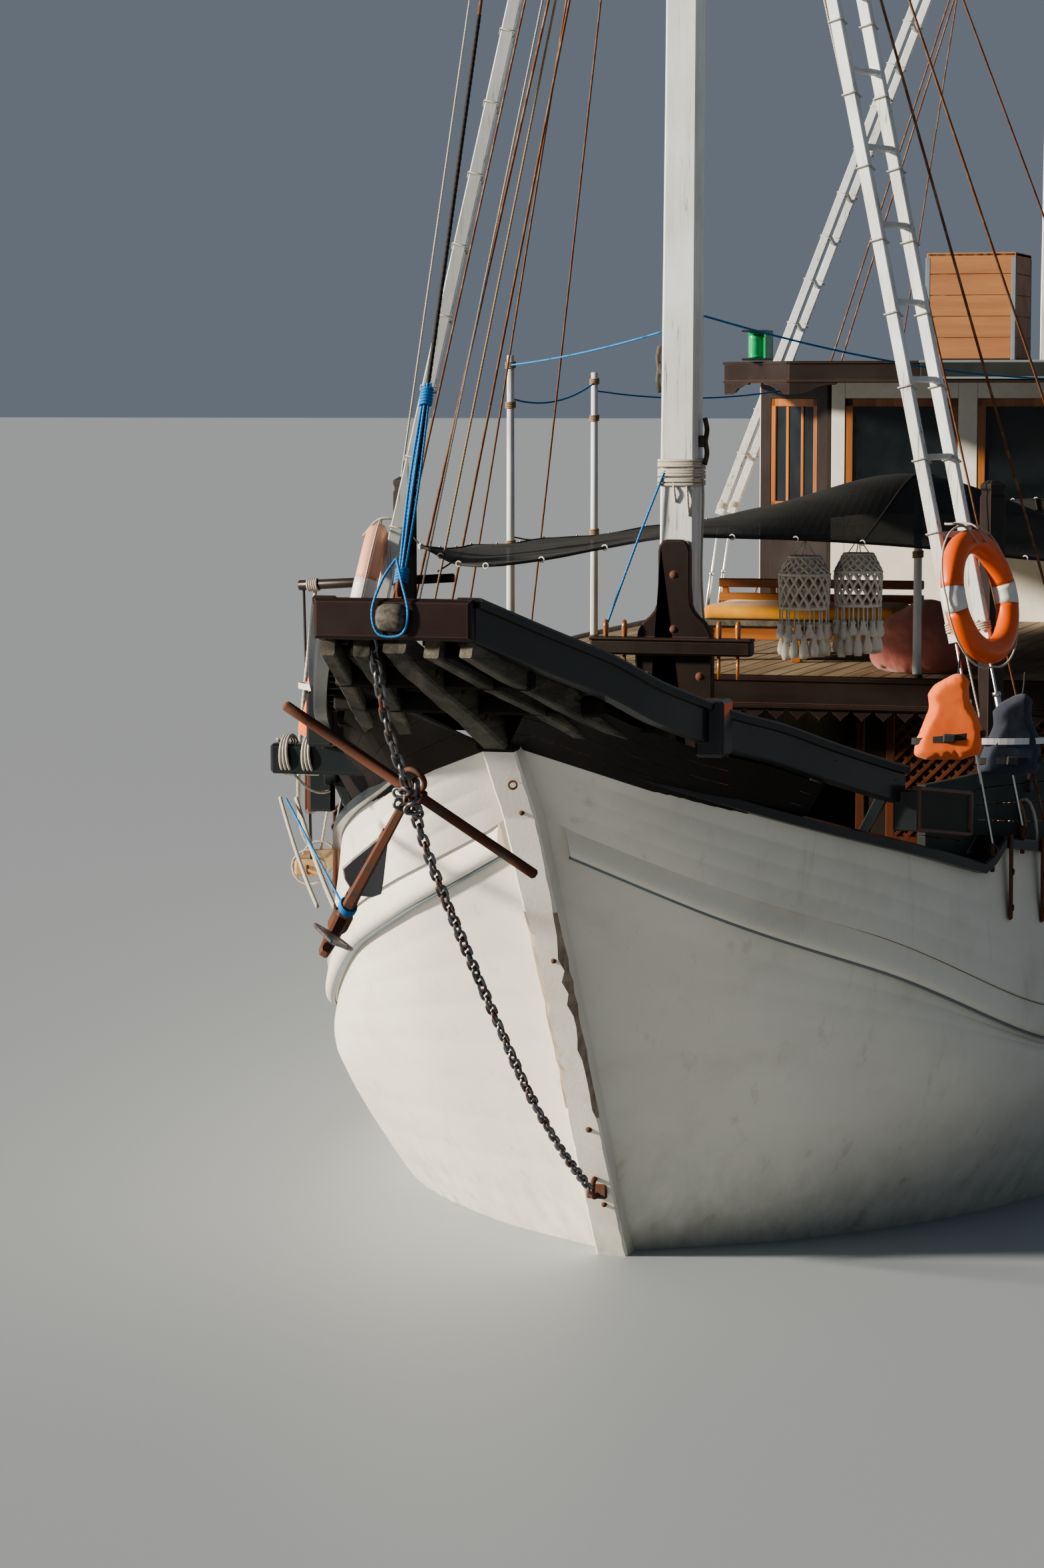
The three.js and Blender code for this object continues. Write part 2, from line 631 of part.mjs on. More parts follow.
// Masts, square and tapered, and the shaped board ahead of the foremast.
function mast(spec, band) {
  const straight = spec.foot + 2200;
  const ring = (x, z, half) => [
    [x - half, -half, z], [x + half, -half, z], [x + half, half, z], [x - half, half, z],
  ];
  return loft([
    ring(spec.x, spec.foot + SEAT, spec.footSize / 2),
    ring(spec.x, straight, spec.footSize / 2),
    ring(spec.x + spec.lean * band, HOUNDS, (spec.footSize * (1 - band) + spec.topSize * band) / 2),
    ring(spec.x + spec.lean, spec.top, spec.topSize / 2),
  ]);
}
const houndsShare = (HOUNDS - 3600) / (FOREMAST.top - 3600);
add("foremast", mast(FOREMAST, houndsShare), paint.mastWhite);
const boardFront = FOREMAST.x + FOREMAST.footSize / 2 + SEAT;
const boardOutline = [
  [-205, 1401], [205, 1401], [205, 2960], [175, 3040], [110, 3100], [84, 3180], [84, 3440], [60, 3480],
  [-60, 3480], [-84, 3440], [-84, 3180], [-110, 3100], [-175, 3040], [-205, 2960],
];
const tabernacleBoard = frontPlate(boardOutline, boardFront, boardFront + 60);
const crossbeam = block([boardFront + 50, -425, 2890], [boardFront + 150, 425, 2970]);
add("tabernacle", join([tabernacleBoard, crossbeam]), paint.darkWood);

// Ladders that serve as shrouds: two stiles with rungs, tied down to the cap by rods.
function ladder(foot, head, turn, tieFoot) {
  const start = new THREE.Vector3(...foot);
  const end = new THREE.Vector3(...head);
  const rungWay = new THREE.Vector3(Math.cos(turn), Math.sin(turn), 0);
  const along = end.clone().sub(start).normalize();
  const normal = new THREE.Vector3().crossVectors(along, rungWay).normalize();
  const section = (centre, wide, deep) => [[-1, -1], [1, -1], [1, 1], [-1, 1]].map(([a, b]) => centre.clone()
    .addScaledVector(rungWay, a * wide / 2)
    .addScaledVector(normal, b * deep / 2)
    .toArray());
  const pieces = [-160, 160].map((offset) => {
    const shift = rungWay.clone().multiplyScalar(offset);
    return loft([section(start.clone().add(shift), 40, 65), section(end.clone().add(shift), 40, 65)]);
  });
  const count = Math.floor(start.distanceTo(end) / RUNG_STEP);
  for (let i = 0; i < count; i += 1) {
    const centre = end.clone().addScaledVector(along, -40 - i * RUNG_STEP);
    const from = centre.clone().addScaledVector(rungWay, -165).toArray();
    const to = centre.clone().addScaledVector(rungWay, 165).toArray();
    pieces.push(bar(from, to, 28, 34));
  }
  for (const offset of [-160, 160]) {
    const top = start.clone().addScaledVector(rungWay, offset).addScaledVector(along, 20);
    const x = tieFoot + offset;
    const [, y, z] = sheerAt(x);
    pieces.push(rod(top.toArray(), [x, y + 36, z + 90], 9, 6));
    pieces.push(block([x - 14, y + 20, z + 30], [x + 14, y + 44, z + 120]));
  }
  return cut(join(pieces), [capClear]);
}
const foreLadder = {
  foot: [6400, 1570, 3000],
  head: [FOREMAST.x + FOREMAST.lean * houndsShare, 112, HOUNDS],
  turn: -0.297,
};
addPair("fore_ladder", ladder(foreLadder.foot, foreLadder.head, foreLadder.turn, 6420), paint.mastWhite);

const aftShare = (HOUNDS - 4800) / (AFTMAST.top - 4800);
add("aft_mast", mast(AFTMAST, aftShare), paint.mastWhite);
addPair("aft_ladder", ladder(
  [-3900, 2250, 3300],
  [AFTMAST.x + AFTMAST.lean * aftShare, 150, 9900],
  0.05,
  -3880,
), paint.mastWhite);

// Main stays: taut wires with an eye plate at the foot.
const forestay = rod([10595, 0, 3440], [FOREMAST.x + FOREMAST.lean + 75, 0, FOREMAST.top - 120], 8, 6);
const forestayPlate = block([10578, -15, 3250], [10612, 15, 3470]);
add("forestay", cut(join([forestay, forestayPlate]), [bowspritAt(0.4)]), paint.wire);
const shroudHead = [FOREMAST.x + FOREMAST.lean * houndsShare - 90, 45, HOUNDS - 350];
const shroudFeet = [{ x: 5000, drop: 0 }, { x: 3600, drop: 100 }];
const shrouds = shroudFeet.flatMap(({ x, drop }) => {
  const [, y, z] = sheerAt(x);
  return [
    rod([x, y + 22, z + 90], [shroudHead[0], shroudHead[1], shroudHead[2] - drop], 8, 6),
    block([x - 14, y + 10, z + 30], [x + 14, y + 34, z + 120]),
  ];
});
shrouds.push(block(
  shroudHead.map((value, i) => value - [13, 13, 125][i]),
  shroudHead.map((value, i) => value + [13, 13, 25][i]),
));
addPair("fore_shroud", cut(join(shrouds), [capClear]), paint.wire);

// Saloon: a low house over a sunken floor, with windows along both sides and a doorway ahead.
const saloonTop = UPPER_DECK_TOP - UPPER_DECK_THICK - SEAT;
const saloonShell = block(
  [SALOON.back, -SALOON.half, DECK_FLAT + SEAT],
  [SALOON.front, SALOON.half, saloonTop],
);
const saloonRoom = block(
  [SALOON.back + SALOON.wall, -SALOON.half + SALOON.wall, 1000],
  [SALOON.front - SALOON.wall, SALOON.half - SALOON.wall, 3000],
);
const sideWindows = [-6100, -4500, -2900, -1300, 300, 1900].map((x) => (
  block([x - 480, -2500, 1760], [x + 480, 2500, 2230])
));
const saloonDoorway = block([SALOON.front - 200, -380, DECK_FLAT - 50], [SALOON.front + 200, 380, 2400]);
const saloonAftDoorway = block([SALOON.back - 200, -1300, DECK_FLAT - 50], [SALOON.back + 200, -600, 2400]);
const saloonWalls = cut(saloonShell, [saloonRoom, ...sideWindows, saloonDoorway, saloonAftDoorway]);
add("saloon", saloonWalls, paint.white);

// Raised deck with its dark edge board.
const upperOutline = [
  [3900, 1950], [2500, 2120], [0, 2200], [-4000, 2220], [-6500, 2100], [-8500, 1850],
];
const upperPlan = upperOutline.concat(upperOutline.slice().reverse().map(([x, y]) => [x, -y]));
const upperDeck = planPlate(upperPlan, UPPER_DECK_TOP - UPPER_DECK_THICK, UPPER_DECK_TOP);
const edgeBoard = block([3890, -1980, 2430], [3940, 1980, 2610]);
add("upper_deck", join([upperDeck, edgeBoard]), paint.deckWood);

// Wheelhouse with two angled front corners.
const houseOutline = [
  [WHEELHOUSE.front, WHEELHOUSE.facetFront],
  [WHEELHOUSE.facetBack, WHEELHOUSE.half],
  [WHEELHOUSE.back, WHEELHOUSE.half],
];
const housePlan = houseOutline.concat(houseOutline.slice().reverse().map(([x, y]) => [x, -y]));
const innerOutline = [
  [WHEELHOUSE.front - WHEELHOUSE.wall, WHEELHOUSE.facetFront - 25],
  [WHEELHOUSE.facetBack - 25, WHEELHOUSE.half - WHEELHOUSE.wall],
  [WHEELHOUSE.back + WHEELHOUSE.wall, WHEELHOUSE.half - WHEELHOUSE.wall],
];
const innerPlan = innerOutline.concat(innerOutline.slice().reverse().map(([x, y]) => [x, -y]));
const frontWindows = [[70, 900], [-900, -70]].map(([low, high]) => (
  block([WHEELHOUSE.front - 200, low, 3380], [WHEELHOUSE.front + 200, high, 4200])
));
const houseSideWindow = block([-4200, -2500, 3380], [-3100, 2500, 4150]);
const houseDoorways = block([-5150, -2500, 2640], [-4450, 2500, 4250]);
const houseAftWindow = block([WHEELHOUSE.back - 200, -900, 3380], [WHEELHOUSE.back + 200, 900, 4150]);
const facetAngle = Math.atan2(
  WHEELHOUSE.half - WHEELHOUSE.facetFront,
  WHEELHOUSE.front - WHEELHOUSE.facetBack,
);
const facetCentre = [
  (WHEELHOUSE.front + WHEELHOUSE.facetBack) / 2,
  (WHEELHOUSE.facetFront + WHEELHOUSE.half) / 2,
];
const facetWindow = new THREE.BoxGeometry(640, 400, 820);
facetWindow.rotateZ(-facetAngle);
facetWindow.translate(facetCentre[0], facetCentre[1], 3790);
add("wheelhouse", cut(planPlate(housePlan, UPPER_DECK_TOP + SEAT, WHEELHOUSE_TOP - SEAT), [
  planPlate(innerPlan, 2000, 5000),
  ...frontWindows, houseSideWindow, houseDoorways, houseAftWindow, facetWindow, mirrored(facetWindow),
]), paint.white);
const paneOutline = (inset) => [
  [WHEELHOUSE.front - WHEELHOUSE.wall - inset, WHEELHOUSE.facetFront - 25 - inset * 0.5],
  [WHEELHOUSE.facetBack - 25 - inset * 0.5, WHEELHOUSE.half - WHEELHOUSE.wall - inset],
  [-4300, WHEELHOUSE.half - WHEELHOUSE.wall - inset],
];
const paneOuter = paneOutline(0.6);
const paneInner = paneOutline(8);
const panePlan = paneOuter.concat(
  paneInner.slice().reverse(),
  paneInner.map(([x, y]) => [x, -y]),
  paneOuter.slice().reverse().map(([x, y]) => [x, -y]),
);
add("wheelhouse_glass", planPlate(panePlan, 3330, 4240), paint.glass);
const roofOutline = [[-1300, 1150], [-1950, 1780], [-5600, 1780]];
const roofPlan = roofOutline.concat(roofOutline.slice().reverse().map(([x, y]) => [x, -y]));
add("wheelhouse_roof", planPlate(roofPlan, WHEELHOUSE_TOP, WHEELHOUSE_TOP + ROOF_THICK), paint.darkWood);

// Side doors, hung on barrels outside the wall at their forward edge.
const doorPivot = [-4441, WHEELHOUSE.half + 12.3];
const doorLeaf = block([-5144, WHEELHOUSE.half - 50, 2646], [-4456, WHEELHOUSE.half, 4244]);
const doorPane = block([-4980, WHEELHOUSE.half - 100, 3500], [-4620, WHEELHOUSE.half + 100, 4050]);
const doorHinges = [2950, 3900].flatMap((z) => [
  rod([doorPivot[0], doorPivot[1], z - 50], [doorPivot[0], doorPivot[1], z + 50], 12, 12),
  block([-4540, WHEELHOUSE.half - 5, z - 45], [doorPivot[0], WHEELHOUSE.half + 12, z + 45]),
]);
const hingeRelief = [2950, 3900].map((z) => block(
  [-4457, WHEELHOUSE.half - 30, z - 60],
  [-4400, WHEELHOUSE.half + 0.3, z + 60],
));
const hungDoor = cut(join([cut(doorLeaf, [doorPane]), ...doorHinges]), hingeRelief);
addPair("wheelhouse_door", hungDoor, paint.varnish);

const roofTop = WHEELHOUSE_TOP + ROOF_THICK + SEAT;
add("roof_box", block([-2500, -270, roofTop], [-1850, 370, roofTop + 760]), paint.varnish);
const lightBox = block([-1720, 1360, roofTop], [-1500, 1540, roofTop + 215]);
addPair("nav_light", lightBox, paint.red, paint.green);
add("helm_console", block(
  [-2750, -600, UPPER_DECK_TOP + SEAT],
  [WHEELHOUSE.front - WHEELHOUSE.wall - 12, 600, 3320],
), paint.varnish);
const wheelCentre = new THREE.Vector3(-2900, 0, 3180);
const rim = new THREE.TorusGeometry(300, 20, 8, 24);
rim.rotateY(Math.PI / 2);
rim.translate(...wheelCentre.toArray());
const spokes = [0, 1, 2, 3].map((i) => {
  const angle = i * Math.PI / 4;
  const way = new THREE.Vector3(0, Math.cos(angle), Math.sin(angle)).multiplyScalar(400);
  return rod(wheelCentre.clone().sub(way).toArray(), wheelCentre.clone().add(way).toArray(), 13, 6);
});
const hub = rod([-2930, 0, 3180], [-2750 - SEAT, 0, 3180], 45, 12);
add("ship_wheel", join([rim, ...spokes, hub]), paint.varnish);

// Awning over the raised deck, its poles and the two hanging shades.
const awningGrid = [
  [[6000, -1450, 3420], [6600, -900, 3350], [5975, -110, 3480], [4900, 700, 3420], [3950, 1880, 3280]],
  [[4600, -1620, 3370], [4600, -800, 3450], [4500, 0, 3590], [3850, 800, 3772], [3000, 1900, 3310]],
  [[2900, -1700, 3350], [2800, -850, 3420], [2600, 0, 3520], [2400, 900, 3560], [1800, 1900, 3310]],
  [[500, -1700, 3340], [500, -850, 3420], [500, 0, 3470], [500, 900, 3460], [300, 1850, 3300]],
  [[-2050, -1000, 3480], [-2050, -500, 3490], [-2050, 0, 3500], [-2050, 500, 3490], [-2050, 1000, 3480]],
];
const awningRings = awningGrid.map((row) => row
  .concat(row.slice().reverse().map(([x, y, z]) => [x, y, z + 12])));
const awning = loft(awningRings, true);
add("awning", awning, paint.net);

function undersideAt(geometry, x, y) {
  const { array } = geometry.index;
  const p = geometry.attributes.position;
  let lowest = Infinity;
  for (let i = 0; i < array.length; i += 3) {
    const corners = [array[i], array[i + 1], array[i + 2]];
    const [a, b, c] = corners.map((corner) => [p.getX(corner), p.getY(corner), p.getZ(corner)]);
    const area = (b[0] - a[0]) * (c[1] - a[1]) - (b[1] - a[1]) * (c[0] - a[0]);
    if (Math.abs(area) > 1) {
      const s = ((x - a[0]) * (c[1] - a[1]) - (y - a[1]) * (c[0] - a[0])) / area;
      const t = ((b[0] - a[0]) * (y - a[1]) - (b[1] - a[1]) * (x - a[0])) / area;
      if (s >= 0 && t >= 0 && s + t <= 1) {
        lowest = Math.min(lowest, a[2] + s * (b[2] - a[2]) + t * (c[2] - a[2]));
      }
    }
  }
  return lowest;
}
// The lowest point of the awning over a round tip.
function undersideOver(x, y, radius) {
  const around = [0, 1, 2, 3, 4, 5, 6, 7].map((k) => k * Math.PI / 4);
  const heights = around.map((t) => undersideAt(awning, x + radius * Math.cos(t), y + radius * Math.sin(t)));
  return Math.min(...heights);
}
const poles = [
  { name: "awning_pole_fore", x: 3000, y: -1880, top: 4460 },
  { name: "awning_pole_aft", x: 900, y: -1950, top: 4370 },
];
for (const pole of poles) {
  const shaft = rod([pole.x, pole.y, UPPER_DECK_TOP + SEAT], [pole.x, pole.y, pole.top], 26, 12);
  add(pole.name, shaft, paint.mastWhite);
}
const centrePole = [3850, 800];
const centreTop = undersideOver(...centrePole, 6) - 2 * SEAT;
add("awning_pole_centre", join([
  rod([...centrePole, UPPER_DECK_TOP + SEAT], [...centrePole, centreTop - 40], 26, 12),
  rod([...centrePole, centreTop - 50], [...centrePole, centreTop], 6, 8),
]), paint.mastWhite);
const shades = [
  { name: "lamp_shade_starboard", x: 4720, y: 340, top: 3355, low: 2760, radius: 140 },
  { name: "lamp_shade_port", x: 4620, y: 620, top: 3370, low: 2720, radius: 130 },
];
for (const shade of shades) {
  const under = undersideOver(shade.x, shade.y, 5) - 2 * SEAT;
  const r = shade.radius;
  const body = lathe([
    [0, shade.top], [60, shade.top], [r, shade.top - 160], [r, shade.top - 300], [r * 0.8, shade.top - 320],
    [r * 0.8, shade.top - 470], [r * 0.35, shade.low], [r * 0.3, shade.low], [r * 0.74, shade.top - 470],
    [r * 0.74, shade.top - 312], [r * 0.92, shade.top - 296], [r * 0.92, shade.top - 165],
    [55, shade.top - 14], [0, shade.top - 14],
  ].reverse(), 16);
  body.rotateX(Math.PI / 2);
  body.translate(shade.x, shade.y, 0);
  const cord = rod([shade.x, shade.y, shade.top - 8], [shade.x, shade.y, under], 5, 6);
  add(shade.name, join([body, cord]), paint.creamCord);
}

// Rail around the after part of the raised deck.
const railFeet = [
  [-6300, 1980], [-7400, 1860], [-8420, 1730], [-8420, 600], [-8420, -600], [-8420, -1730], [-7400, -1860],
  [-6300, -1980],
];
const aftRail = railFeet.map(([x, y]) => rod([x, y, UPPER_DECK_TOP + SEAT], [x, y, 3500], 26, 8));
for (const z of [3080, 3490]) {
  for (let i = 0; i + 1 < railFeet.length; i += 1) {
    aftRail.push(bar([...railFeet[i], z], [...railFeet[i + 1], z], z > 3400 ? 80 : 30, 40));
  }
}
add("deck_rail", join(aftRail), paint.varnish);

// Rudder on its heel, and propeller in the aperture.
const rudderBlade = profilePlate([
  [RUDDER_AXIS_X + 40, -1485], [RUDDER_AXIS_X + 40, -640], [RUDDER_AXIS_X - 300, -560],
  [RUDDER_AXIS_X - 650, -640], [RUDDER_AXIS_X - 720, -1440],
], -35, 35);
const rudderStock = rod([RUDDER_AXIS_X, 0, -1500 + SEAT], [RUDDER_AXIS_X, 0, -600], 45, 16);
add("rudder", join([rudderBlade, rudderStock]), paint.antifouling);
const blades = [0, 1, 2].map((i) => {
  const blade = new THREE.SphereGeometry(1, 16, 10);
  blade.scale(14, 95, (PROPELLER_RADIUS - 20) / 2);
  blade.translate(0, 0, 20 + (PROPELLER_RADIUS - 20) / 2);
  blade.rotateZ(0.55);
  blade.rotateX(i * 2 * Math.PI / 3);
  blade.translate(-7330, 0, SHAFT_Z);
  return blade;
});
const boss = rod([-7460, 0, SHAFT_Z], [-7200 - SEAT, 0, SHAFT_Z], 55, 16);
add("propeller", join([boss, ...blades]), paint.bronze);

// Life rings lie flat against the outer face of the ladders.
function lifeRing(foot, head, turn, height) {
  const start = new THREE.Vector3(...foot);
  const end = new THREE.Vector3(...head);
  const rungWay = new THREE.Vector3(Math.cos(turn), Math.sin(turn), 0);
  const along = end.clone().sub(start).normalize();
  const normal = new THREE.Vector3().crossVectors(rungWay, along).normalize();
  const out = normal.y < 0 ? normal.negate() : normal;
  const up = new THREE.Vector3().crossVectors(out, rungWay).normalize();
  const centre = start.clone()
    .addScaledVector(along, (height - start.z) / along.z)
    .addScaledVector(out, 32.5 + 62 + 1);
  const ring = new THREE.TorusGeometry(278, 62, 12, 32);
  ring.applyMatrix4(new THREE.Matrix4().makeBasis(rungWay, up, out).setPosition(centre));
  return ring;
}
const ringOnLadder = lifeRing(foreLadder.foot, foreLadder.head, foreLadder.turn, 3200);
addPair("life_ring", ringOnLadder, paint.orange, paint.peach);

// Anchor hanging from the tip on its chain.
const anchorRing = new THREE.Vector3(10250, -50, 2620);
const anchorCrown = new THREE.Vector3(9600, -620, 1930);
const stockWay = new THREE.Vector3(-0.352, 0.742, -0.57).normalize();
const shankWay = anchorCrown.clone().sub(anchorRing).normalize();
const armWay = new THREE.Vector3().crossVectors(stockWay, shankWay).normalize();
const anchorPieces = [
  bar(anchorRing.toArray(), anchorCrown.clone().addScaledVector(shankWay, 60).toArray(), 58, 58),
  rod(
    anchorRing.clone().addScaledVector(stockWay, -640).toArray(),
    anchorRing.clone().addScaledVector(stockWay, 640).toArray(),
    22,
    10,
  ),
  bar([10250, -50, 2632], [10323.5, -57.3, 2632], 16, 16),
];
for (const side of [-1, 1]) {
  const tip = anchorCrown.clone().addScaledVector(armWay, side * 350).addScaledVector(shankWay, -230);
  const bend = anchorCrown.clone().addScaledVector(armWay, side * 210).addScaledVector(shankWay, -50);
  anchorPieces.push(bar(anchorCrown.toArray(), bend.toArray(), 55, 55, 48, 48));
  anchorPieces.push(bar(anchorCrown.clone().lerp(bend, 0.8).toArray(), tip.toArray(), 46, 46, 30, 30));
  const fluke = bend.clone().lerp(tip, 0.1);
  const flukeEnd = bend.clone().lerp(tip, 1.1);
  const width = stockWay.clone().multiplyScalar(105);
  const thick = new THREE.Vector3().crossVectors(flukeEnd.clone().sub(fluke), stockWay).normalize()
    .multiplyScalar(9);
  const plateRing = (centre, share) => [[-1, -1], [1, -1], [1, 1], [-1, 1]].map(([a, b]) => centre.clone()
    .addScaledVector(width, a * share)
    .addScaledVector(thick, b)
    .toArray());
  anchorPieces.push(loft([
    plateRing(fluke, 0.7),
    plateRing(fluke.clone().lerp(flukeEnd, 0.4), 1),
    plateRing(flukeEnd, 0.08),
  ]));
}
add("anchor", join(anchorPieces), paint.rust);

// Slack chain from the platform to the bolt low on the stem.
const chainPath = [
  [10615, -115, 3214.6], [10460, -100, 2860], [10350, -60, 2620], [10190, -50, 2400], [9980, -40, 2160],
  [9590, -30, 1790], [9190, -10, 1400], [8780, 0, 1040], [8270, 0, 690], [7790, 0, 410],
];
add("anchor_chain", tube(chainPath, 24, 8, 60), paint.rust);

// Seat with its cushion, beanbag and life jackets: plain solids of the right size.
const benchTop = 2850;
add("bench", join([
  block([1900, -850, UPPER_DECK_TOP + SEAT], [2560, 450, benchTop]),
  block([1840, -850, UPPER_DECK_TOP + SEAT], [1910, 450, 3080]),
]), paint.varnish);
add("bench_cushion", block([1912, -840, benchTop + SEAT], [2555, 440, benchTop + 110]), paint.yellowCloth);
const beanbag = lathe([
  [0, 0], [250, 0], [340, 110], [330, 230], [220, 360], [90, 430], [0, 440],
], 20);
beanbag.rotateX(Math.PI / 2);
beanbag.translate(3050, 700, UPPER_DECK_TOP + SEAT);
add("beanbag", beanbag, paint.peach);
const jacket = block([6640, 1450, 2338], [6920, 1575, 2790]);
addPair("life_jacket", jacket, paint.orange);
const aftJacket = loft([5940, 6200].map((x) => {
  const [, y, z] = sheerAt(x);
  return [[x, y - 95, z + 40], [x, y - 10, z + 40], [x, y - 10, 2440], [x, y - 95, 2440]];
}));
add("life_jacket_aft", cut(aftJacket, [capClear]), paint.orange);

// Hatch in the foredeck, with a lid that swings up on barrels along its forward edge.
const lid = block([4340, -410, HATCH.top + SEAT], [5146, 410, HATCH.top + 40]);
const lidHinge = [HATCH.front + 12.3, HATCH.top + 12];
const lidHinges = [-250, 250].flatMap((y) => [
  rod([lidHinge[0], y - 60, lidHinge[1]], [lidHinge[0], y + 60, lidHinge[1]], 12, 12),
  block([5100, y - 55, HATCH.top + 14], [lidHinge[0], y + 55, HATCH.top + 40]),
]);
add("hatch_lid", join([lid, ...lidHinges]), paint.deckWood);

export default boat;
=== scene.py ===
# Two-masted wooden sailing boat, afloat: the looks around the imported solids.
# Metres. +X points forward, +Y to port, +Z up, and the waterline is at zero.
import bpy
import bmesh
import math
import random
from mathutils import Euler, Matrix, Vector, noise


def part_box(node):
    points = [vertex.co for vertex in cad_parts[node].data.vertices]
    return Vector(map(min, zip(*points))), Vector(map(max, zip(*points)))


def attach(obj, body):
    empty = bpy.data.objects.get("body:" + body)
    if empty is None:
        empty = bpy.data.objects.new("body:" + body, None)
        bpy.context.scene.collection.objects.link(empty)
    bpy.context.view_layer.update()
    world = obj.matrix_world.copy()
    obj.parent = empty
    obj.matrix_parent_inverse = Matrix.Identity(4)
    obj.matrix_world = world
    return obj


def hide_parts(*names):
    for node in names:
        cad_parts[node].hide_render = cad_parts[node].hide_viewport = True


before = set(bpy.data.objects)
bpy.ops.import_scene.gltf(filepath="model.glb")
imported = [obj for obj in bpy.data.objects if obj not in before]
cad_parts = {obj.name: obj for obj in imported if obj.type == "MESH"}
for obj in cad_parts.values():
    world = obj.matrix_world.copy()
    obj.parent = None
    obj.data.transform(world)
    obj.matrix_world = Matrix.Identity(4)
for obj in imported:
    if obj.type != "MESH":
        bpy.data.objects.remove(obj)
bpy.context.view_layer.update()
scene = bpy.context.scene

# the photograph's view: where it was taken from, which way, and how long the lens is
view = {
    "place": (25.1, 4.95, 4.2),
    "heading": (-0.9563, -0.2924),
    "down": math.radians(5.8),
    "imageHeight": 2354,
    "focalPixels": 5700,
    "sensor": 36.0,
}


def makeCamera():
    lens = bpy.data.cameras.new("photoView")
    lens.sensor_width = view["sensor"]
    lens.lens = view["sensor"] * view["focalPixels"] / view["imageHeight"]
    lens.clip_start = 0.5
    lens.clip_end = 2000
    camera = bpy.data.objects.new("photoView", lens)
    scene.collection.objects.link(camera)
    level = math.cos(view["down"])
    forward = Vector((view["heading"][0] * level, view["heading"][1] * level, -math.sin(view["down"])))
    camera.location = view["place"]
    camera.rotation_euler = forward.to_track_quat("-Z", "Y").to_euler()
    scene.camera = camera


light = {
    "sunTowards": (0.42, -0.80, 0.27),
    "sunStrength": 7.8,
    "sunSoftness": math.radians(6),
    "sunColour": (1.0, 0.91, 0.77),
    "skyColour": (0.74, 0.85, 1.0),
    "skyStrength": 0.19,
    "floorColour": (0.38, 0.41, 0.44, 1),
    "floorSize": 1500.0,
}


def makeStage():
    floorMesh = bpy.data.meshes.new("floor")
    half = light["floorSize"] / 2
    corners = [(-half, -half, 0), (half, -half, 0), (half, half, 0), (-half, half, 0)]
    floorMesh.from_pydata(corners, [], [(0, 1, 2, 3)])
    floor = bpy.data.objects.new("floor", floorMesh)
    scene.collection.objects.link(floor)
    paleFloor = bpy.data.materials.new("paleFloor")
    paleFloor.use_nodes = True
    shader = paleFloor.node_tree.nodes["Principled BSDF"]
    shader.inputs["Base Color"].default_value = light["floorColour"]
    shader.inputs["Roughness"].default_value = 0.6
    floorMesh.materials.append(paleFloor)
    sunLight = bpy.data.lights.new("sun", "SUN")
    sunLight.energy = light["sunStrength"]
    sunLight.angle = light["sunSoftness"]
    sunLight.color = light["sunColour"]
    sun = bpy.data.objects.new("sun", sunLight)
    sun.rotation_euler = Vector(light["sunTowards"]).to_track_quat("Z", "Y").to_euler()
    scene.collection.objects.link(sun)
    world = bpy.data.worlds.new("paleSky")
    scene.world = world
    world.use_nodes = True
    sky = world.node_tree.nodes["Background"]
    sky.inputs["Color"].default_value = (*light["skyColour"], 1)
    sky.inputs["Strength"].default_value = light["skyStrength"]
    scene.view_settings.look = "AgX - Medium High Contrast"


makeCamera()
makeStage()
print("camera and stage ready")


def anglesOf(steps):
    return [2 * math.pi * k / steps for k in range(steps)]


def circleOf(steps, radius, height=0.0):
    return [Vector((radius * math.cos(a), radius * math.sin(a), height)) for a in anglesOf(steps)]


bothSides = ((1, "port"), (-1, "starboard"))


# a point, or its image on the starboard side
def onSide(point, side):
    return Vector((point[0], point[1] * side, point[2]))


def facing(axis):
    return Vector(axis).to_track_quat("Z", "Y").to_matrix()


# a place whose own axes lie along three directions
def framedAt(origin, along, across, up):
    place = Matrix((along, across, up)).transposed().to_4x4()
    place.translation = origin
    return place


# a ring round a point: a box section along two directions, with its corners cut
def boxRing(centre, one, two, first, second):
    half = [(-1, -first), (-second, -1), (second, -1), (1, -first)]
    return [centre + one * a + two * b for a, b in half + [(-a, -b) for a, b in half]]


# a bevelled box has 8 corners of 3 points each: point 3 * corner + axis lies on that axis's face
def blockFaces():
    faces = [[3 * corner + axis for axis in range(3)] for corner in range(8)]
    for axis in range(3):
        bit, one, two = 4 >> axis, (axis + 1) % 3, (axis + 2) % 3
        first, second = 4 >> one, 4 >> two
        for near in range(8):
            if not near & bit:
                far = near | bit
                faces.append([3 * near + one, 3 * near + two, 3 * far + two, 3 * far + one])
        for side in (0, bit):
            faces.append([3 * (side | corner) + axis for corner in (0, first, first | second, second)])
    return faces


boxFaces = blockFaces()
boxSigns = [(x, y, z) for x in (-1, 1) for y in (-1, 1) for z in (-1, 1)]


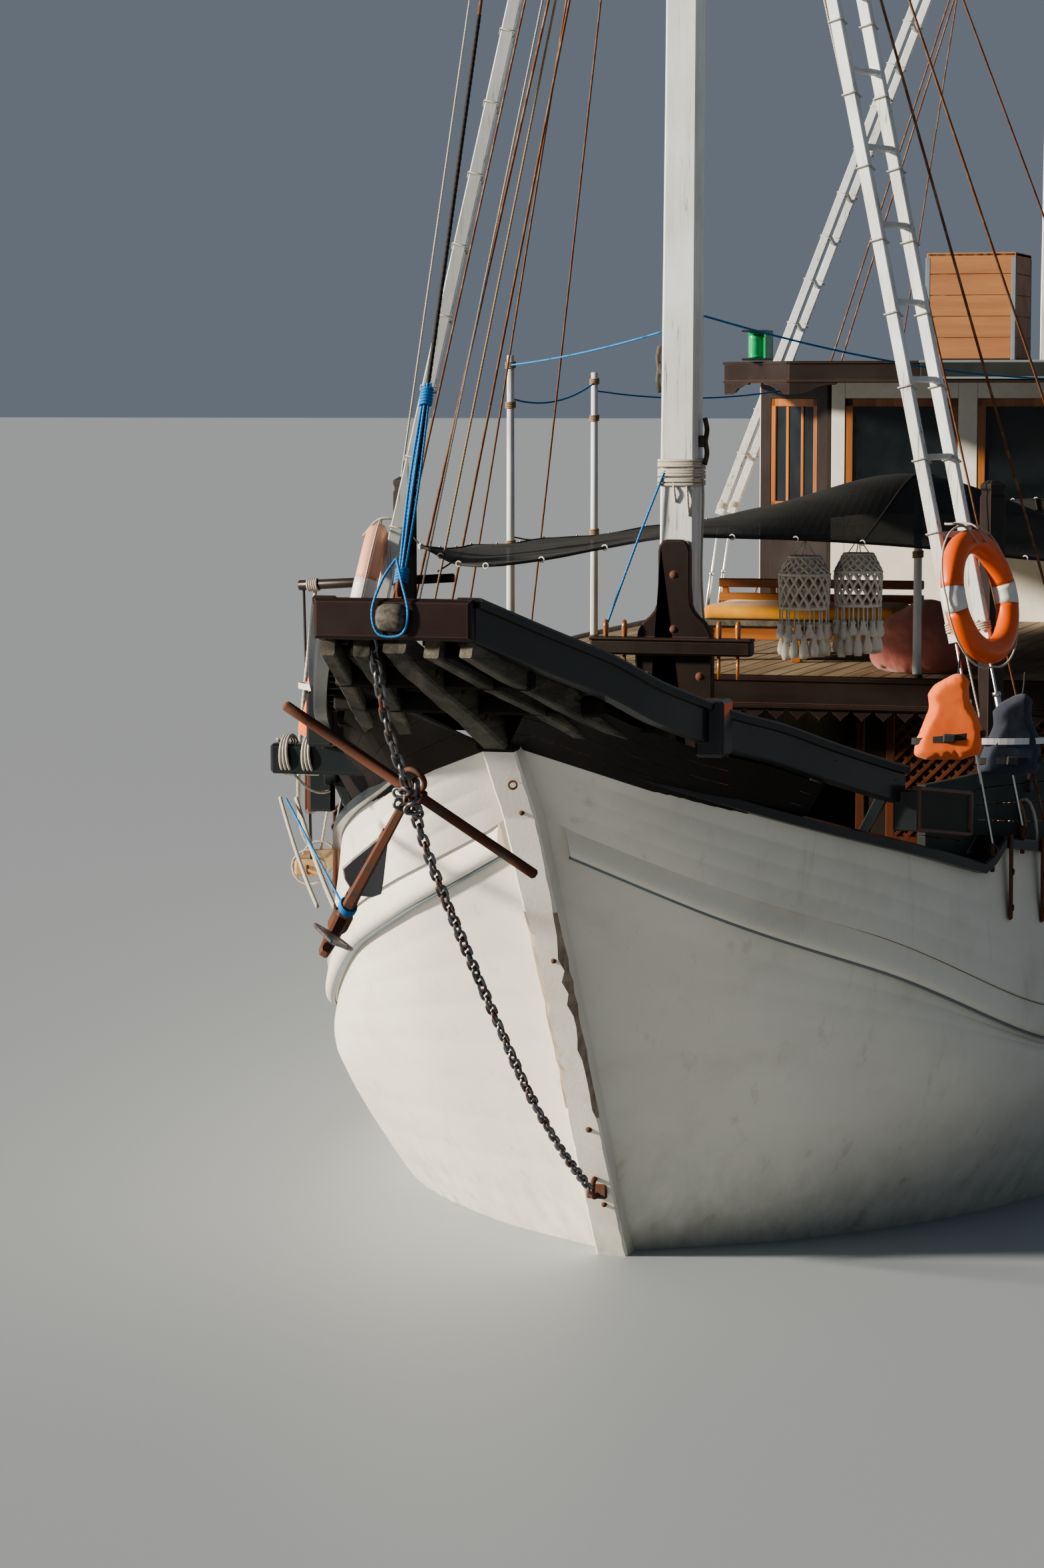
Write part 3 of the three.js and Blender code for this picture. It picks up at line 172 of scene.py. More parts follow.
# A Shape gathers closed forms, each with a finish number, and becomes one mesh.
class Shape:
    def __init__(self):
        self.points, self.faces, self.finishes, self.rounded = [], [], [], []

    def add(self, points, faces, finish=0, rounded=False):
        base = len(self.points)
        self.points += [Vector(p) for p in points]
        self.faces += [[base + i for i in face] for face in faces]
        self.finishes += [finish] * len(faces)
        self.rounded += [rounded] * len(faces)

    # a box between two corners with its edges taken off
    def block(self, low, high, finish=0, edge=0.006, place=None):
        low, high = Vector(low), Vector(high)
        half = [abs(b - a) / 2 for a, b in zip(low, high)]
        edge = min(edge, min(half) * 0.8)
        spot = (place or Matrix()) @ Matrix.Translation((low + high) / 2)
        self.add([spot @ Vector([s * (h - edge * (k != axis)) for k, (s, h) in enumerate(zip(signs, half))])
                  for signs in boxSigns for axis in range(3)], boxFaces, finish)

    # boxes in rows: x, y and z, each from and to
    def blocks(self, rows, finish=0, edge=0.006, place=None):
        for row in rows:
            self.block(row[::2], row[1::2], finish, edge, place)

    # a straight bar: wide is measured across, tall upwards
    def bar(self, start, end, wide, tall, finish=0, edge=0.005):
        start, end = Vector(start), Vector(end)
        along = (end - start).normalized()
        across = Vector((1, 0, 0) if abs(along.z) > 0.95 else (0, 0, 1)).cross(along).normalized()
        half = Vector(((end - start).length, wide, tall)) / 2
        self.block(-half, half, finish, edge, framedAt((start + end) / 2, along, across, along.cross(across)))

    # a round bar with its end corners taken off
    def rod(self, start, end, radius, finish=0, sides=12, tip=None, edge=0.003):
        way = Vector(end) - Vector(start)
        tip, length = tip or radius, way.length
        edge = min(edge, radius * 0.5, tip * 0.5, length * 0.3)
        self.turned([(0, 0), (radius - edge, 0), (radius, edge), (tip, length - edge), (tip - edge, length),
                     (0, length)],
                    start, way, finish, sides)

    # a form turned on an axis: the profile's pairs are (radius, height) from the origin
    def turned(self, profile, origin, axis, finish=0, sides=16, rounded=True):
        place = facing(axis).to_4x4()
        place.translation = Vector(origin)
        points, rings, faces = [], [], []
        for radius, height in profile:
            ring = circleOf(sides, radius, height) if radius > 1e-6 else [Vector((0, 0, height))]
            rings.append(range(len(points), len(points) + len(ring)))
            points += [place @ p for p in ring]
        for low, high in zip(rings, rings[1:]):
            for k in range(sides):
                m = (k + 1) % sides
                face = low[k % len(low)], low[m % len(low)], high[m % len(high)], high[k % len(high)]
                if len(set(face)) > 2:
                    faces.append(list(dict.fromkeys(face)))
        self.add(points, faces, finish, rounded)

    # skins rings with the same number of points; closed rings, capped at both ends
    def loft(self, rings, finish=0, rounded=False, caps=True, joined=False):
        count, total = len(rings[0]), len(rings)
        faces = []
        for i in range(total if joined else total - 1):
            here, there = i * count, (i + 1) % total * count
            for k in range(count):
                m = (k + 1) % count
                faces.append([here + k, here + m, there + m, there + k])
        if caps and not joined:
            faces += [list(range(count))[::-1], list(range((total - 1) * count, total * count))]
        self.add([p for ring in rings for p in ring], faces, finish, rounded)

    # a tube along a path, with a round or lobed section; a lay turns the lobes into strands
    def tube(self, path, radius, finish=0, sides=8, joined=False, lobes=0, lay=1.0):
        path = [Vector(p) for p in path]
        count, across, run, rings = len(path), None, 0.0, []
        for i, point in enumerate(path):
            before = path[i - 1] if i or joined else point
            after = path[(i + 1) % count] if i + 1 < count or joined else point
            along = (after - before).normalized()
            if across is None:
                across = Vector((0, 0, 1) if abs(along.z) < 0.9 else (1, 0, 0)).cross(along)
            else:
                run += (point - path[i - 1]).length
            across = (across - along * across.dot(along)).normalized()
            up = along.cross(across)
            size = radius(i / max(1, count - 1)) if callable(radius) else radius
            twist = 2 * math.pi * run / lay if lobes else 0.0
            ring = []
            for angle in anglesOf(sides):
                reach = size * (0.80 + 0.20 * abs(math.cos(lobes * angle / 2))) if lobes else size
                ring.append(point + across * (reach * math.cos(angle + twist))
                            + up * (reach * math.sin(angle + twist)))
            rings.append(ring)
        self.loft(rings, finish, True, True, joined)

    # a laid rope of three strands along a path
    def rope(self, path, radius, finish=0, joined=False):
        lay = radius * 8
        self.tube(resampled(path, lay / 7, joined), radius, finish, 9, joined, 3, lay)

    # a flat plate with an outline in the plane of two directions
    def plate(self, outline, origin, right, up, thickness, finish=0, edge=0.004):
        origin, right, up = Vector(origin), Vector(right).normalized(), Vector(up).normalized()
        out = right.cross(up)
        outline = [Vector(p) for p in outline]
        if sum(a.x * b.y - b.x * a.y for a, b in zip(outline, outline[1:] + outline[:1])) < 0:
            outline.reverse()
        inner, half = insetOutline(outline, edge), thickness / 2
        layers = (inner, -half), (outline, edge - half), (outline, half - edge), (inner, half)
        self.loft([[origin + right * p.x + up * p.y + out * depth for p in points] for points, depth in layers],
                  finish)

    def ring(self, centre, normal, radius, wire, finish=0, steps=24, sides=8):
        turn = facing(normal)
        self.tube([Vector(centre) + turn @ p for p in circleOf(steps, radius)], wire, finish, sides, True)

    # turns of line wound round a post or rod
    def winding(self, centre, axis, radius, line, turns, finish=0, pitch=None):
        turn, steps = facing(axis), 14
        path = []
        for k in range(int(turns * steps) + 1):
            point = circleOf(steps, radius, (k / steps - turns / 2) * (pitch or line * 2.05))[k % steps]
            path.append(Vector(centre) + turn @ point)
        self.tube(path, line, finish, 6)


def insetOutline(outline, distance):
    moved = []
    for before, here, after in zip(outline[-1:] + outline[:-1], outline, outline[1:] + outline[:1]):
        first, second = (here - before).normalized(), (after - here).normalized()
        one, two = Vector((-first.y, first.x)), Vector((-second.y, second.x))
        moved.append(here + (one + two) * (distance / max(0.35, 1 + one.dot(two))))
    return moved


# a smooth curve through points, with an even step or the same number of parts in every span
def resampled(path, step=0.0, joined=False, parts=0):
    path = [Vector(p) for p in path]
    count, fine = len(path), []
    for i in range(count if joined else count - 1):
        p1, p2 = path[i], path[(i + 1) % count]
        p0 = path[i - 1] if i or joined else p1 * 2 - p2
        p3 = path[(i + 2) % count] if i + 2 < count or joined else p2 * 2 - p1
        pieces = parts or max(2, int((p2 - p1).length / step) + 1)
        for t in (k / pieces for k in range(pieces)):
            fine.append(0.5 * (2 * p1 + (p2 - p0) * t + (2 * p0 - 5 * p1 + 4 * p2 - p3) * t * t
                               + (3 * p1 - p0 - 3 * p2 + p3) * t * t * t))
    return fine if joined else fine + [path[-1].copy()]


def sagging(start, end, drop, steps=10):
    start, end = Vector(start), Vector(end)
    return [start.lerp(end, t) - Vector((0, 0, drop * 4 * t * (1 - t)))
            for t in (k / steps for k in range(steps + 1))]


def meshOf(name, shape, coats):
    mesh = bpy.data.meshes.new(name)
    mesh.from_pydata(shape.points, [], shape.faces)
    for coat in coats.split():
        mesh.materials.append(finishes[coat])
    mesh.polygons.foreach_set("material_index", shape.finishes)
    mesh.polygons.foreach_set("use_smooth", shape.rounded)
    work = bmesh.new()
    work.from_mesh(mesh)
    bmesh.ops.recalc_face_normals(work, faces=work.faces)
    work.to_mesh(mesh)
    work.free()
    mesh.update()
    return mesh


def linked(name, mesh):
    piece = bpy.data.objects.new(name, mesh)
    scene.collection.objects.link(piece)
    return piece


# one finished piece, on its body, in the place of the plain solids that it stands for
def makePiece(name, shape, coats, nodes=(), body="boat"):
    return settle(linked(name, meshOf(name, shape, coats)), nodes, body)


def settle(piece, nodes=(), body="boat"):
    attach(piece, body)
    if nodes:
        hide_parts(*nodes)
    return piece


# the piece's mesh with its modifiers applied
def baked(piece):
    graph = bpy.context.evaluated_depsgraph_get()
    graph.update()
    mesh = bpy.data.meshes.new_from_object(piece.evaluated_get(graph))
    old = piece.data
    piece.modifiers.clear()
    piece.data = mesh
    bpy.data.meshes.remove(old)
    return piece


def smoothed(piece, sharpFrom=None):
    for face in piece.data.polygons:
        face.use_smooth = True
    if sharpFrom:
        piece.data.set_sharp_from_angle(angle=math.radians(sharpFrom))
    return piece


# a copy of a plain solid with its flat faces whole again and its edges taken off
def bevelledCopy(node, name, coat, width, body="boat"):
    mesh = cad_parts[node].data.copy()
    mesh.name = name
    work = bmesh.new()
    work.from_mesh(mesh)
    bmesh.ops.remove_doubles(work, verts=work.verts, dist=1e-4)
    bmesh.ops.dissolve_limit(work, angle_limit=math.radians(2), verts=work.verts, edges=work.edges)
    work.to_mesh(mesh)
    work.free()
    mesh.materials.clear()
    mesh.materials.append(finishes[coat])
    piece = linked(name, mesh)
    bevel = piece.modifiers.new("edges", "BEVEL")
    bevel.width = width
    bevel.segments = 2
    bevel.limit_method = "ANGLE"
    bevel.angle_limit = math.radians(28)
    for face in baked(piece).data.polygons:
        face.use_smooth = False
    return settle(piece, [node], body)


def mirrorPiece(name, source, nodes=()):
    mesh = source.data.copy()
    mesh.transform(Matrix.Scale(-1, 4, (0, 1, 0)))
    mesh.flip_normals()
    mesh.name = name
    settle(linked(name, mesh), nodes)


# Geometry Nodes: one unit repeated along a path, its axis laid along the path
def makeRepeatTree():
    tree = bpy.data.node_groups.new("repeatAlong", "GeometryNodeTree")
    sockets = {}
    for label, kind, start in (
        ("Path", "Geometry", None), ("Unit", "Object", None), ("Spacing", "Float", 0.1),
        ("Upright", "Vector", (0, 0, 1)),
        ("Roll", "Float", 0.0), ("Sway", "Float", 0.0), ("Seed", "Int", 3), ("Finish", "Material", None),
    ):
        socket = tree.interface.new_socket(label, in_out="INPUT", socket_type="NodeSocket" + kind)
        if start is not None:
            socket.default_value = start
        sockets[label] = socket.identifier
    tree.interface.new_socket("Repeats", in_out="OUTPUT", socket_type="NodeSocketGeometry")
    made = {name: tree.nodes.new(kind) for name, kind in (
        ("entry", "NodeGroupInput"), ("line", "GeometryNodeMeshToCurve"), ("even", "GeometryNodeResampleCurve"),
        ("tangent", "GeometryNodeInputTangent"), ("number", "GeometryNodeInputIndex"),
        ("axes", "FunctionNodeAxesToRotation"),
        ("turned", "ShaderNodeMath"), ("chance", "FunctionNodeRandomValue"), ("swayed", "ShaderNodeMath"),
        ("about", "ShaderNodeCombineXYZ"), ("rolled", "FunctionNodeEulerToRotation"),
        ("both", "FunctionNodeRotateRotation"),
        ("source", "GeometryNodeObjectInfo"), ("copies", "GeometryNodeInstanceOnPoints"),
        ("real", "GeometryNodeRealizeInstances"), ("coat", "GeometryNodeSetMaterial"), ("leave", "NodeGroupOutput"),
    )}
    made["even"].mode = "LENGTH"
    made["axes"].primary_axis, made["axes"].secondary_axis = "Z", "X"
    made["turned"].operation, made["swayed"].operation = "MULTIPLY", "MULTIPLY_ADD"
    made["both"].rotation_space = "LOCAL"
    made["chance"].data_type = "FLOAT"
    made["chance"].inputs["Min"].default_value, made["chance"].inputs["Max"].default_value = -1, 1
    for start, output, end, entry in (
        ("entry", "Path", "line", "Mesh"), ("line", "Curve", "even", "Curve"), ("entry", "Spacing", "even", "Length"),
        ("tangent", "Tangent", "axes", "Primary Axis"), ("entry", "Upright", "axes", "Secondary Axis"),
        ("number", "Index", "turned", 0), ("entry", "Roll", "turned", 1), ("entry", "Seed", "chance", "Seed"),
        ("chance", 1, "swayed", 0), ("entry", "Sway", "swayed", 1), ("turned", 0, "swayed", 2),
        ("swayed", 0, "about", "Z"),
        ("about", 0, "rolled", 0), ("axes", 0, "both", 0), ("rolled", 0, "both", 1),
        ("entry", "Unit", "source", "Object"),
        ("even", "Curve", "copies", "Points"), ("source", "Geometry", "copies", "Instance"),
        ("both", 0, "copies", "Rotation"), ("copies", 0, "real", 0), ("real", 0, "coat", "Geometry"),
        ("entry", "Finish", "coat", "Material"), ("coat", 0, "leave", 0),
    ):
        tree.links.new(made[start].outputs[output], made[end].inputs[entry])
    return tree, sockets


repeatTree, repeatSockets = makeRepeatTree()


# the unit (a Shape with its length along Z) along a path, as one mesh object
def repeated(name, unit, path, coat, **inputs):
    mesh = bpy.data.meshes.new(name)
    mesh.from_pydata([tuple(p) for p in path], [(k, k + 1) for k in range(len(path) - 1)], [])
    piece = linked(name, mesh)
    model = linked(name + "Unit", meshOf(name + "Unit", unit, coat))
    repeat = piece.modifiers.new("repeat", "NODES")
    repeat.node_group = repeatTree
    for label, value in dict(inputs, Unit=model, Finish=finishes[coat]).items():
        repeat[repeatSockets[label]] = value
    baked(piece)
    old = model.data
    bpy.data.objects.remove(model)
    bpy.data.meshes.remove(old)
    return smoothed(piece, 35)


finishes = {}


# Materials. Every one reads Object coordinates, so a pattern stays put on its piece.
class Coat:
    def __init__(self, name):
        self.material = finishes[name] = bpy.data.materials.new(name)
        self.material.use_nodes = True
        self.tree = self.material.node_tree
        self.inputs = self.tree.nodes["Principled BSDF"].inputs

    # links, or values, for a node's inputs
    def fill(self, inputs, values):
        for key, value in values.items():
            if isinstance(value, bpy.types.NodeSocket):
                self.tree.links.new(value, inputs[key])
            else:
                colour = inputs[key].type == "RGBA"
                inputs[key].default_value = (*value, 1) if colour else value

    def node(self, kind, values, **settings):
        made = self.tree.nodes.new("ShaderNode" + kind)
        for key, value in settings.items():
            setattr(made, key, value)
        self.fill(made.inputs, values)
        return made.outputs

    def place(self, stretch=(1, 1, 1), turn=(0, 0, 0)):
        source = self.node("TexCoord", {})["Object"]
        return self.node("Mapping", {"Vector": source, "Scale": stretch, "Rotation": turn})["Vector"]

    def noise(self, scale, detail=5.0, rough=0.55, stretch=(1, 1, 1), distortion=0.0):
        return self.node("TexNoise", {"Vector": self.place(stretch), "Scale": scale, "Detail": detail,
                                      "Roughness": rough, "Distortion": distortion})["Fac"]

    def wave(self, scale, turn):
        return self.node("TexWave", {"Vector": self.place(turn=turn), "Scale": scale},
                         wave_type="BANDS", bands_direction="X")["Fac"]

    def mix(self, share, first, second):
        return self.node("Mix", {0: share, 6: first, 7: second}, data_type="RGBA")[2]

    def math(self, what, *values):
        return self.node("Math", dict(enumerate(values)), operation=what)[0]

    def span(self, value, low, high, toLow=0.0, toHigh=1.0):
        return self.node("MapRange", {"Value": value, "From Min": low, "From Max": high,
                                      "To Min": toLow, "To Max": toHigh})["Result"]

    # lays a second colour over the first where a pattern is high
    def stain(self, colour, over, pattern, low, high, amount=1.0):
        share = self.span(pattern, low, high)
        return self.mix(self.math("MULTIPLY", share, amount), colour, over)

    # where edges are rubbed bare: a rounded copy of the normal differs from the true one there
    def rubbedEdges(self, radius):
        rounded = self.node("Bevel", {"Radius": radius}, samples=4)["Normal"]
        true = self.node("NewGeometry", {})["Normal"]
        same = self.node("VectorMath", {0: rounded, 1: true}, operation="DOT_PRODUCT")["Value"]
        away = self.math("SUBTRACT", 1.0, same)
        return self.span(self.math("MULTIPLY", away, self.noise(9.0, 6.0, 0.7)), 0.01, 0.10)

    def finish(self, colour, rough, height, strength, distance, **others):
        bump = self.node("Bump", {"Height": height, "Strength": strength, "Distance": distance})["Normal"]
        self.fill(self.inputs, {"Base Color": colour, "Roughness": rough, "Normal": bump})
        self.fill(self.inputs, {key.replace("_", " "): value for key, value in others.items()})


def grain(axis, stretch):
    return tuple(stretch if name == axis else 1.0 for name in "XYZ")


# painted wood: a coat with grime in it, worn to what lies under it along the edges
def paintedWood(name, coat, grime, under, rough, axis, wear=0.008, gloss=0.0, dirt=0.5, cracks=0.0):
    made = Coat(name)
    blotch = made.noise(1.3, 8.0, 0.62)
    colour = made.stain(coat, grime, blotch, 0.42, 0.75, dirt)
    colour = made.stain(colour, grime, made.noise(14.0, 6.0, 0.6, grain(axis, 0.08)), 0.5, 0.8, dirt * 0.6)
    if cracks:
        split = made.math("SUBTRACT", made.noise(26.0, 3.0, 0.5, grain(axis, 0.02)), 0.5)
        crack = made.span(made.math("ABSOLUTE", split), 0.0, 0.012, 1, 0)
        crack = made.math("MULTIPLY", crack, made.span(blotch, 0.45, 0.6))
        colour = made.mix(made.math("MULTIPLY", crack, cracks), colour, (0.05, 0.045, 0.04))
    colour = made.mix(made.rubbedEdges(wear), colour, under)
    made.finish(colour, made.span(blotch, 0.3, 0.8, rough * 0.8, min(1.0, rough * 1.35)),
                made.noise(60.0, 4.0, 0.6, grain(axis, 0.08)), 0.25, 0.0012,
                Coat_Weight=gloss, Coat_Roughness=0.12, Specular_IOR_Level=0.3)


# bare wood with its grain along one axis
def bareWood(name, light, dark, rough, axis, gloss=0.0, rings=7.0, depth=0.5):
    made = Coat(name)
    broad = made.noise(rings, 6.0, 0.6, grain(axis, 0.06), 0.8)
    fine = made.noise(rings * 14, 5.0, 0.7, grain(axis, 0.06))
    ramp = made.node("ValToRGB", {"Fac": broad})["Color"]
    band = ramp.node.color_ramp.elements
    band.new(0.5)
    middle = [(a + b) / 2 for a, b in zip(light, dark)]
    for element, at, colour in zip(band, (0.32, 0.5, 0.68), (dark, middle, light)):
        element.position, element.color = at, (*colour, 1)
    made.finish(made.stain(ramp, dark, fine, 0.45, 0.75, 0.5),
                made.span(fine, 0.3, 0.8, rough * 0.85, min(1.0, rough * 1.2)), fine, depth, 0.0015,
                Coat_Weight=gloss, Coat_Roughness=0.1)


def metal(name, colour, spots, rough, share, metallic=1.0, bump=0.3):
    made = Coat(name)
    blotch = made.noise(11.0, 8.0, 0.65)
    rust = made.span(blotch, share, share + 0.12)
    made.finish(made.mix(rust, colour, spots), made.span(rust, 0, 1, rough, 0.85),
                made.math("MULTIPLY_ADD", blotch, 0.6, made.noise(90.0, 5.0, 0.7)), bump, 0.002,
                Metallic=made.span(rust, 0, 1, metallic, 0.1))


def cloth(name, light, dark, weave=260.0, sheen=0.25, rough=0.9):
    made = Coat(name)
    across, up, through = (made.wave(weave, turn) for turn in ((0, 0, 0), (0, 0, math.pi / 2), (0, math.pi / 2, 0)))
    made.finish(made.stain(light, dark, made.noise(5.0, 6.0, 0.6), 0.4, 0.75, 0.7), rough,
                made.math("MULTIPLY", made.math("ADD", across, up), through), 0.3, 0.0008, Sheen_Weight=sheen)


def plastic(name, light, dark, rough):
    made = Coat(name)
    blotch = made.noise(6.0, 7.0, 0.65)
    made.finish(made.stain(light, dark, blotch, 0.45, 0.8, 0.4),
                made.span(blotch, 0.3, 0.8, rough * 0.8, rough * 1.3),
                made.noise(160.0, 3.0, 0.6), 0.15, 0.0005, Coat_Weight=0.2)


def ropeFinish(name, light, dark, rough=0.9, sheen=0.0):
    made = Coat(name)
    fibre = made.noise(220.0, 4.0, 0.7)
    colour = made.mix(made.span(fibre, 0.35, 0.7), dark, light)
    made.finish(made.stain(colour, dark, made.noise(9.0, 5.0, 0.6), 0.45, 0.75, 0.5), rough,
                fibre, 0.4, 0.001, Sheen_Weight=sheen)


def glass(name, tint, rough=0.05):
    made = Coat(name)
    smear = made.noise(3.0, 6.0, 0.6)
    colour = made.mix(made.span(smear, 0.4, 0.8), tint, tuple(c * 1.8 + 0.01 for c in tint))
    made.fill(made.inputs, {"Base Color": colour, "Roughness": made.span(smear, 0.35, 0.8, rough, rough + 0.12),
                            "Specular IOR Level": 0.5, "Coat Weight": 0.1})


# a net that lets the light through between its threads
def net(name, thread, mesh, cover):
    made = Coat(name)
    threads = made.math("MAXIMUM", made.wave(0.05 / mesh, (0, 0, 0)), made.wave(0.05 / mesh, (0, 0, math.pi / 2)))
    colour = made.mix(made.span(made.noise(2.0, 6.0, 0.6), 0.4, 0.7), thread, tuple(c * 2.2 for c in thread))
    made.finish(colour, 0.95, threads, 0.4, 0.001, Alpha=cover)


# the hull's paint: cream white with grime and rust runs, red-brown bottom paint under water
hullCoat = {
    "white": (0.80, 0.775, 0.70),
    "grime": (0.50, 0.46, 0.37),
    "runs": (0.36, 0.25, 0.15),
    "bottom": (0.23, 0.062, 0.035),
    "bottomPale": (0.30, 0.11, 0.07),
    "scum": (0.16, 0.19, 0.11),
    "paintLine": -0.16,
}


def hullPaint(name):
    made = Coat(name)
    line = hullCoat["paintLine"]
    broad, patch = made.noise(0.55, 8.0, 0.6), made.noise(2.6, 8.0, 0.65)
    runs, fine = made.noise(9.0, 6.0, 0.62, (1, 1, 0.07)), made.noise(46.0, 6.0, 0.7)
    height = made.node("SeparateXYZ", {"Vector": made.node("TexCoord", {})["Object"]})["Z"]
    colour = made.stain(hullCoat["white"], hullCoat["grime"], broad, 0.42, 0.72, 0.34)
    colour = made.stain(colour, hullCoat["grime"], patch, 0.52, 0.78, 0.32)
    colour = made.stain(colour, hullCoat["runs"], runs, 0.60, 0.80, 0.40)
    nearWater = made.span(made.math("MULTIPLY_ADD", patch, 0.10, height), line + 0.10, 0.75, 1.0, 0.0)
    growth = made.math("MULTIPLY", nearWater, made.math("MULTIPLY", made.span(runs, 0.3, 0.7), 0.45))
    colour = made.mix(growth, colour, hullCoat["scum"])
    bottom = made.mix(made.span(patch, 0.35, 0.7), hullCoat["bottom"], hullCoat["bottomPale"])
    bottom = made.stain(bottom, hullCoat["scum"], broad, 0.45, 0.65, 0.5)
    below = made.span(height, line - 0.004, line + 0.004, 1.0, 0.0)
    made.finish(made.mix(below, colour, bottom),
                made.math("MULTIPLY_ADD", below, 0.3, made.span(patch, 0.3, 0.8, 0.30, 0.55)),
                made.math("MULTIPLY_ADD", patch, 1.6, fine), 0.30, 0.004)


varnish = (0.46, 0.185, 0.052), (0.20, 0.066, 0.018), 0.30
hullPaint("hullPaint")
hullPaint("stemPaint")
paintedWood("houseWhite", (0.80, 0.78, 0.71), (0.52, 0.47, 0.38), (0.36, 0.29, 0.2), 0.42, "X", 0.006)
# dark gloss paint for caps, waterways and rails: dark paint, with a blue-green tint that is a painted reflection of
# the sky
paintedWood("darkGloss", (0.009, 0.015, 0.018), (0.030, 0.031, 0.030), (0.11, 0.07, 0.05), 0.34, "X", 0.007, 0.35)
paintedWood("darkAcross", (0.020, 0.012, 0.010), (0.040, 0.029, 0.025), (0.12, 0.07, 0.05), 0.38, "Y", 0.007, 0.25)
paintedWood("darkUpright", (0.019, 0.012, 0.010), (0.040, 0.031, 0.027), (0.12, 0.08, 0.06), 0.38, "Z", 0.007, 0.3)
# near-black for the boards and blocks under the bow platform: painted shade, standing in for the deep shade there
paintedWood("darkInside", (0.012, 0.008, 0.007), (0.022, 0.017, 0.014), (0.05, 0.035, 0.028), 0.75, "X", 0.004)
paintedWood("fasciaRed", (0.019, 0.008, 0.007), (0.030, 0.019, 0.016), (0.11, 0.07, 0.05), 0.42, "Y", 0.010, 0.1)
paintedWood("bulwarkGreen", (0.045, 0.055, 0.052), (0.04, 0.038, 0.033), (0.14, 0.11, 0.08), 0.6, "X", 0.006)
paintedWood("mastPaint", (0.70, 0.72, 0.73), (0.42, 0.42, 0.40), (0.34, 0.30, 0.25), 0.55, "Z", 0.006,
            dirt=0.75, cracks=0.85)
paintedWood("rungPaint", (0.66, 0.68, 0.69), (0.38, 0.37, 0.34), (0.30, 0.26, 0.21), 0.6, "X", 0.004, dirt=0.9)
paintedWood("bottomPaint", (0.23, 0.062, 0.035), (0.13, 0.14, 0.09), (0.30, 0.12, 0.08), 0.8, "X", 0.01, dirt=0.9)
paintedWood("greyBoard", (0.20, 0.24, 0.27), (0.13, 0.14, 0.14), (0.09, 0.06, 0.05), 0.45, "Y", 0.004)
paintedWood("blankBoard", (0.022, 0.027, 0.025), (0.045, 0.042, 0.038), (0.16, 0.14, 0.12), 0.4, "X", 0.004)
bareWood("wornWood", (0.44, 0.38, 0.30), (0.19, 0.15, 0.11), 0.9, "Z", rings=14.0, depth=0.9)
# grey weathered timber, kept darker than this wood is in sun so that the bow timbers under the platform read as
# shaded: its own grey, partly painted shade
bareWood("greyTimber", (0.17, 0.155, 0.12), (0.016, 0.014, 0.012), 0.9, "X", depth=0.9)
bareWood("endGrain", (0.15, 0.135, 0.115), (0.035, 0.030, 0.026), 0.9, "X", rings=24.0, depth=0.9)
bareWood("latticeWood", (0.13, 0.040, 0.016), (0.05, 0.016, 0.008), 0.35, "Z", 0.4, 6.0, 0.25)
bareWood("deckWood", (0.36, 0.27, 0.17), (0.18, 0.13, 0.085), 0.75, "X", rings=9.0)
bareWood("deckPale", (0.42, 0.33, 0.22), (0.22, 0.165, 0.11), 0.75, "X", rings=9.0)
bareWood("paleWood", (0.60, 0.40, 0.22), (0.33, 0.19, 0.09), 0.7, "X", rings=8.0)
bareWood("varnished", *varnish, "Z", 0.6, 6.0, 0.25)
bareWood("varnishedAcross", *varnish, "Y", 0.6, 6.0, 0.25)
bareWood("boxWood", (0.42, 0.20, 0.085), (0.24, 0.10, 0.04), 0.6, "Y", 0.1, 5.0, 0.3)
metal("rustIron", (0.10, 0.075, 0.065), (0.125, 0.048, 0.026), 0.6, 0.36, 0.5, 0.7)
metal("chainIron", (0.20, 0.20, 0.21), (0.13, 0.055, 0.03), 0.42, 0.50, 0.9, 0.5)
metal("steel", (0.55, 0.56, 0.57), (0.22, 0.10, 0.05), 0.32, 0.60, 1.0, 0.2)
metal("rustyWire", (0.26, 0.15, 0.09), (0.17, 0.065, 0.028), 0.6, 0.42, 0.5, 0.5)
metal("bronze", (0.52, 0.33, 0.13), (0.10, 0.16, 0.11), 0.34, 0.58, 1.0, 0.2)
ropeFinish("whiteRope", (0.66, 0.63, 0.56), (0.36, 0.32, 0.26))
ropeFinish("blueRope", (0.03, 0.30, 0.68), (0.015, 0.14, 0.38), 0.7)
ropeFinish("blackRope", (0.045, 0.042, 0.04), (0.012, 0.011, 0.011), 0.8)
ropeFinish("tanRope", (0.45, 0.33, 0.20), (0.22, 0.14, 0.08))
ropeFinish("creamCord", (0.93, 0.90, 0.83), (0.74, 0.69, 0.60), 0.9, 0.6)
plastic("ringOrange", (0.74, 0.125, 0.02), (0.52, 0.10, 0.03), 0.42)
plastic("ringPeach", (0.78, 0.40, 0.27), (0.60, 0.30, 0.21), 0.55)
plastic("ringBand", (0.72, 0.71, 0.68), (0.42, 0.38, 0.34), 0.5)
plastic("glowTape", (0.62, 0.63, 0.64), (0.45, 0.44, 0.42), 0.3)
plastic("blackEnamel", (0.018, 0.018, 0.02), (0.06, 0.055, 0.05), 0.35)
cloth("jacketOrange", (0.95, 0.20, 0.045), (0.82, 0.13, 0.025), 300, 0.3, 0.75)
cloth("jacketDark", (0.035, 0.045, 0.075), (0.02, 0.022, 0.03), 300, 0.2, 0.85)
cloth("strapBlack", (0.02, 0.02, 0.022), (0.05, 0.05, 0.05), 420, 0.1, 0.8)
cloth("yellowCloth", (0.78, 0.36, 0.035), (0.55, 0.22, 0.02), 240, 0.35)
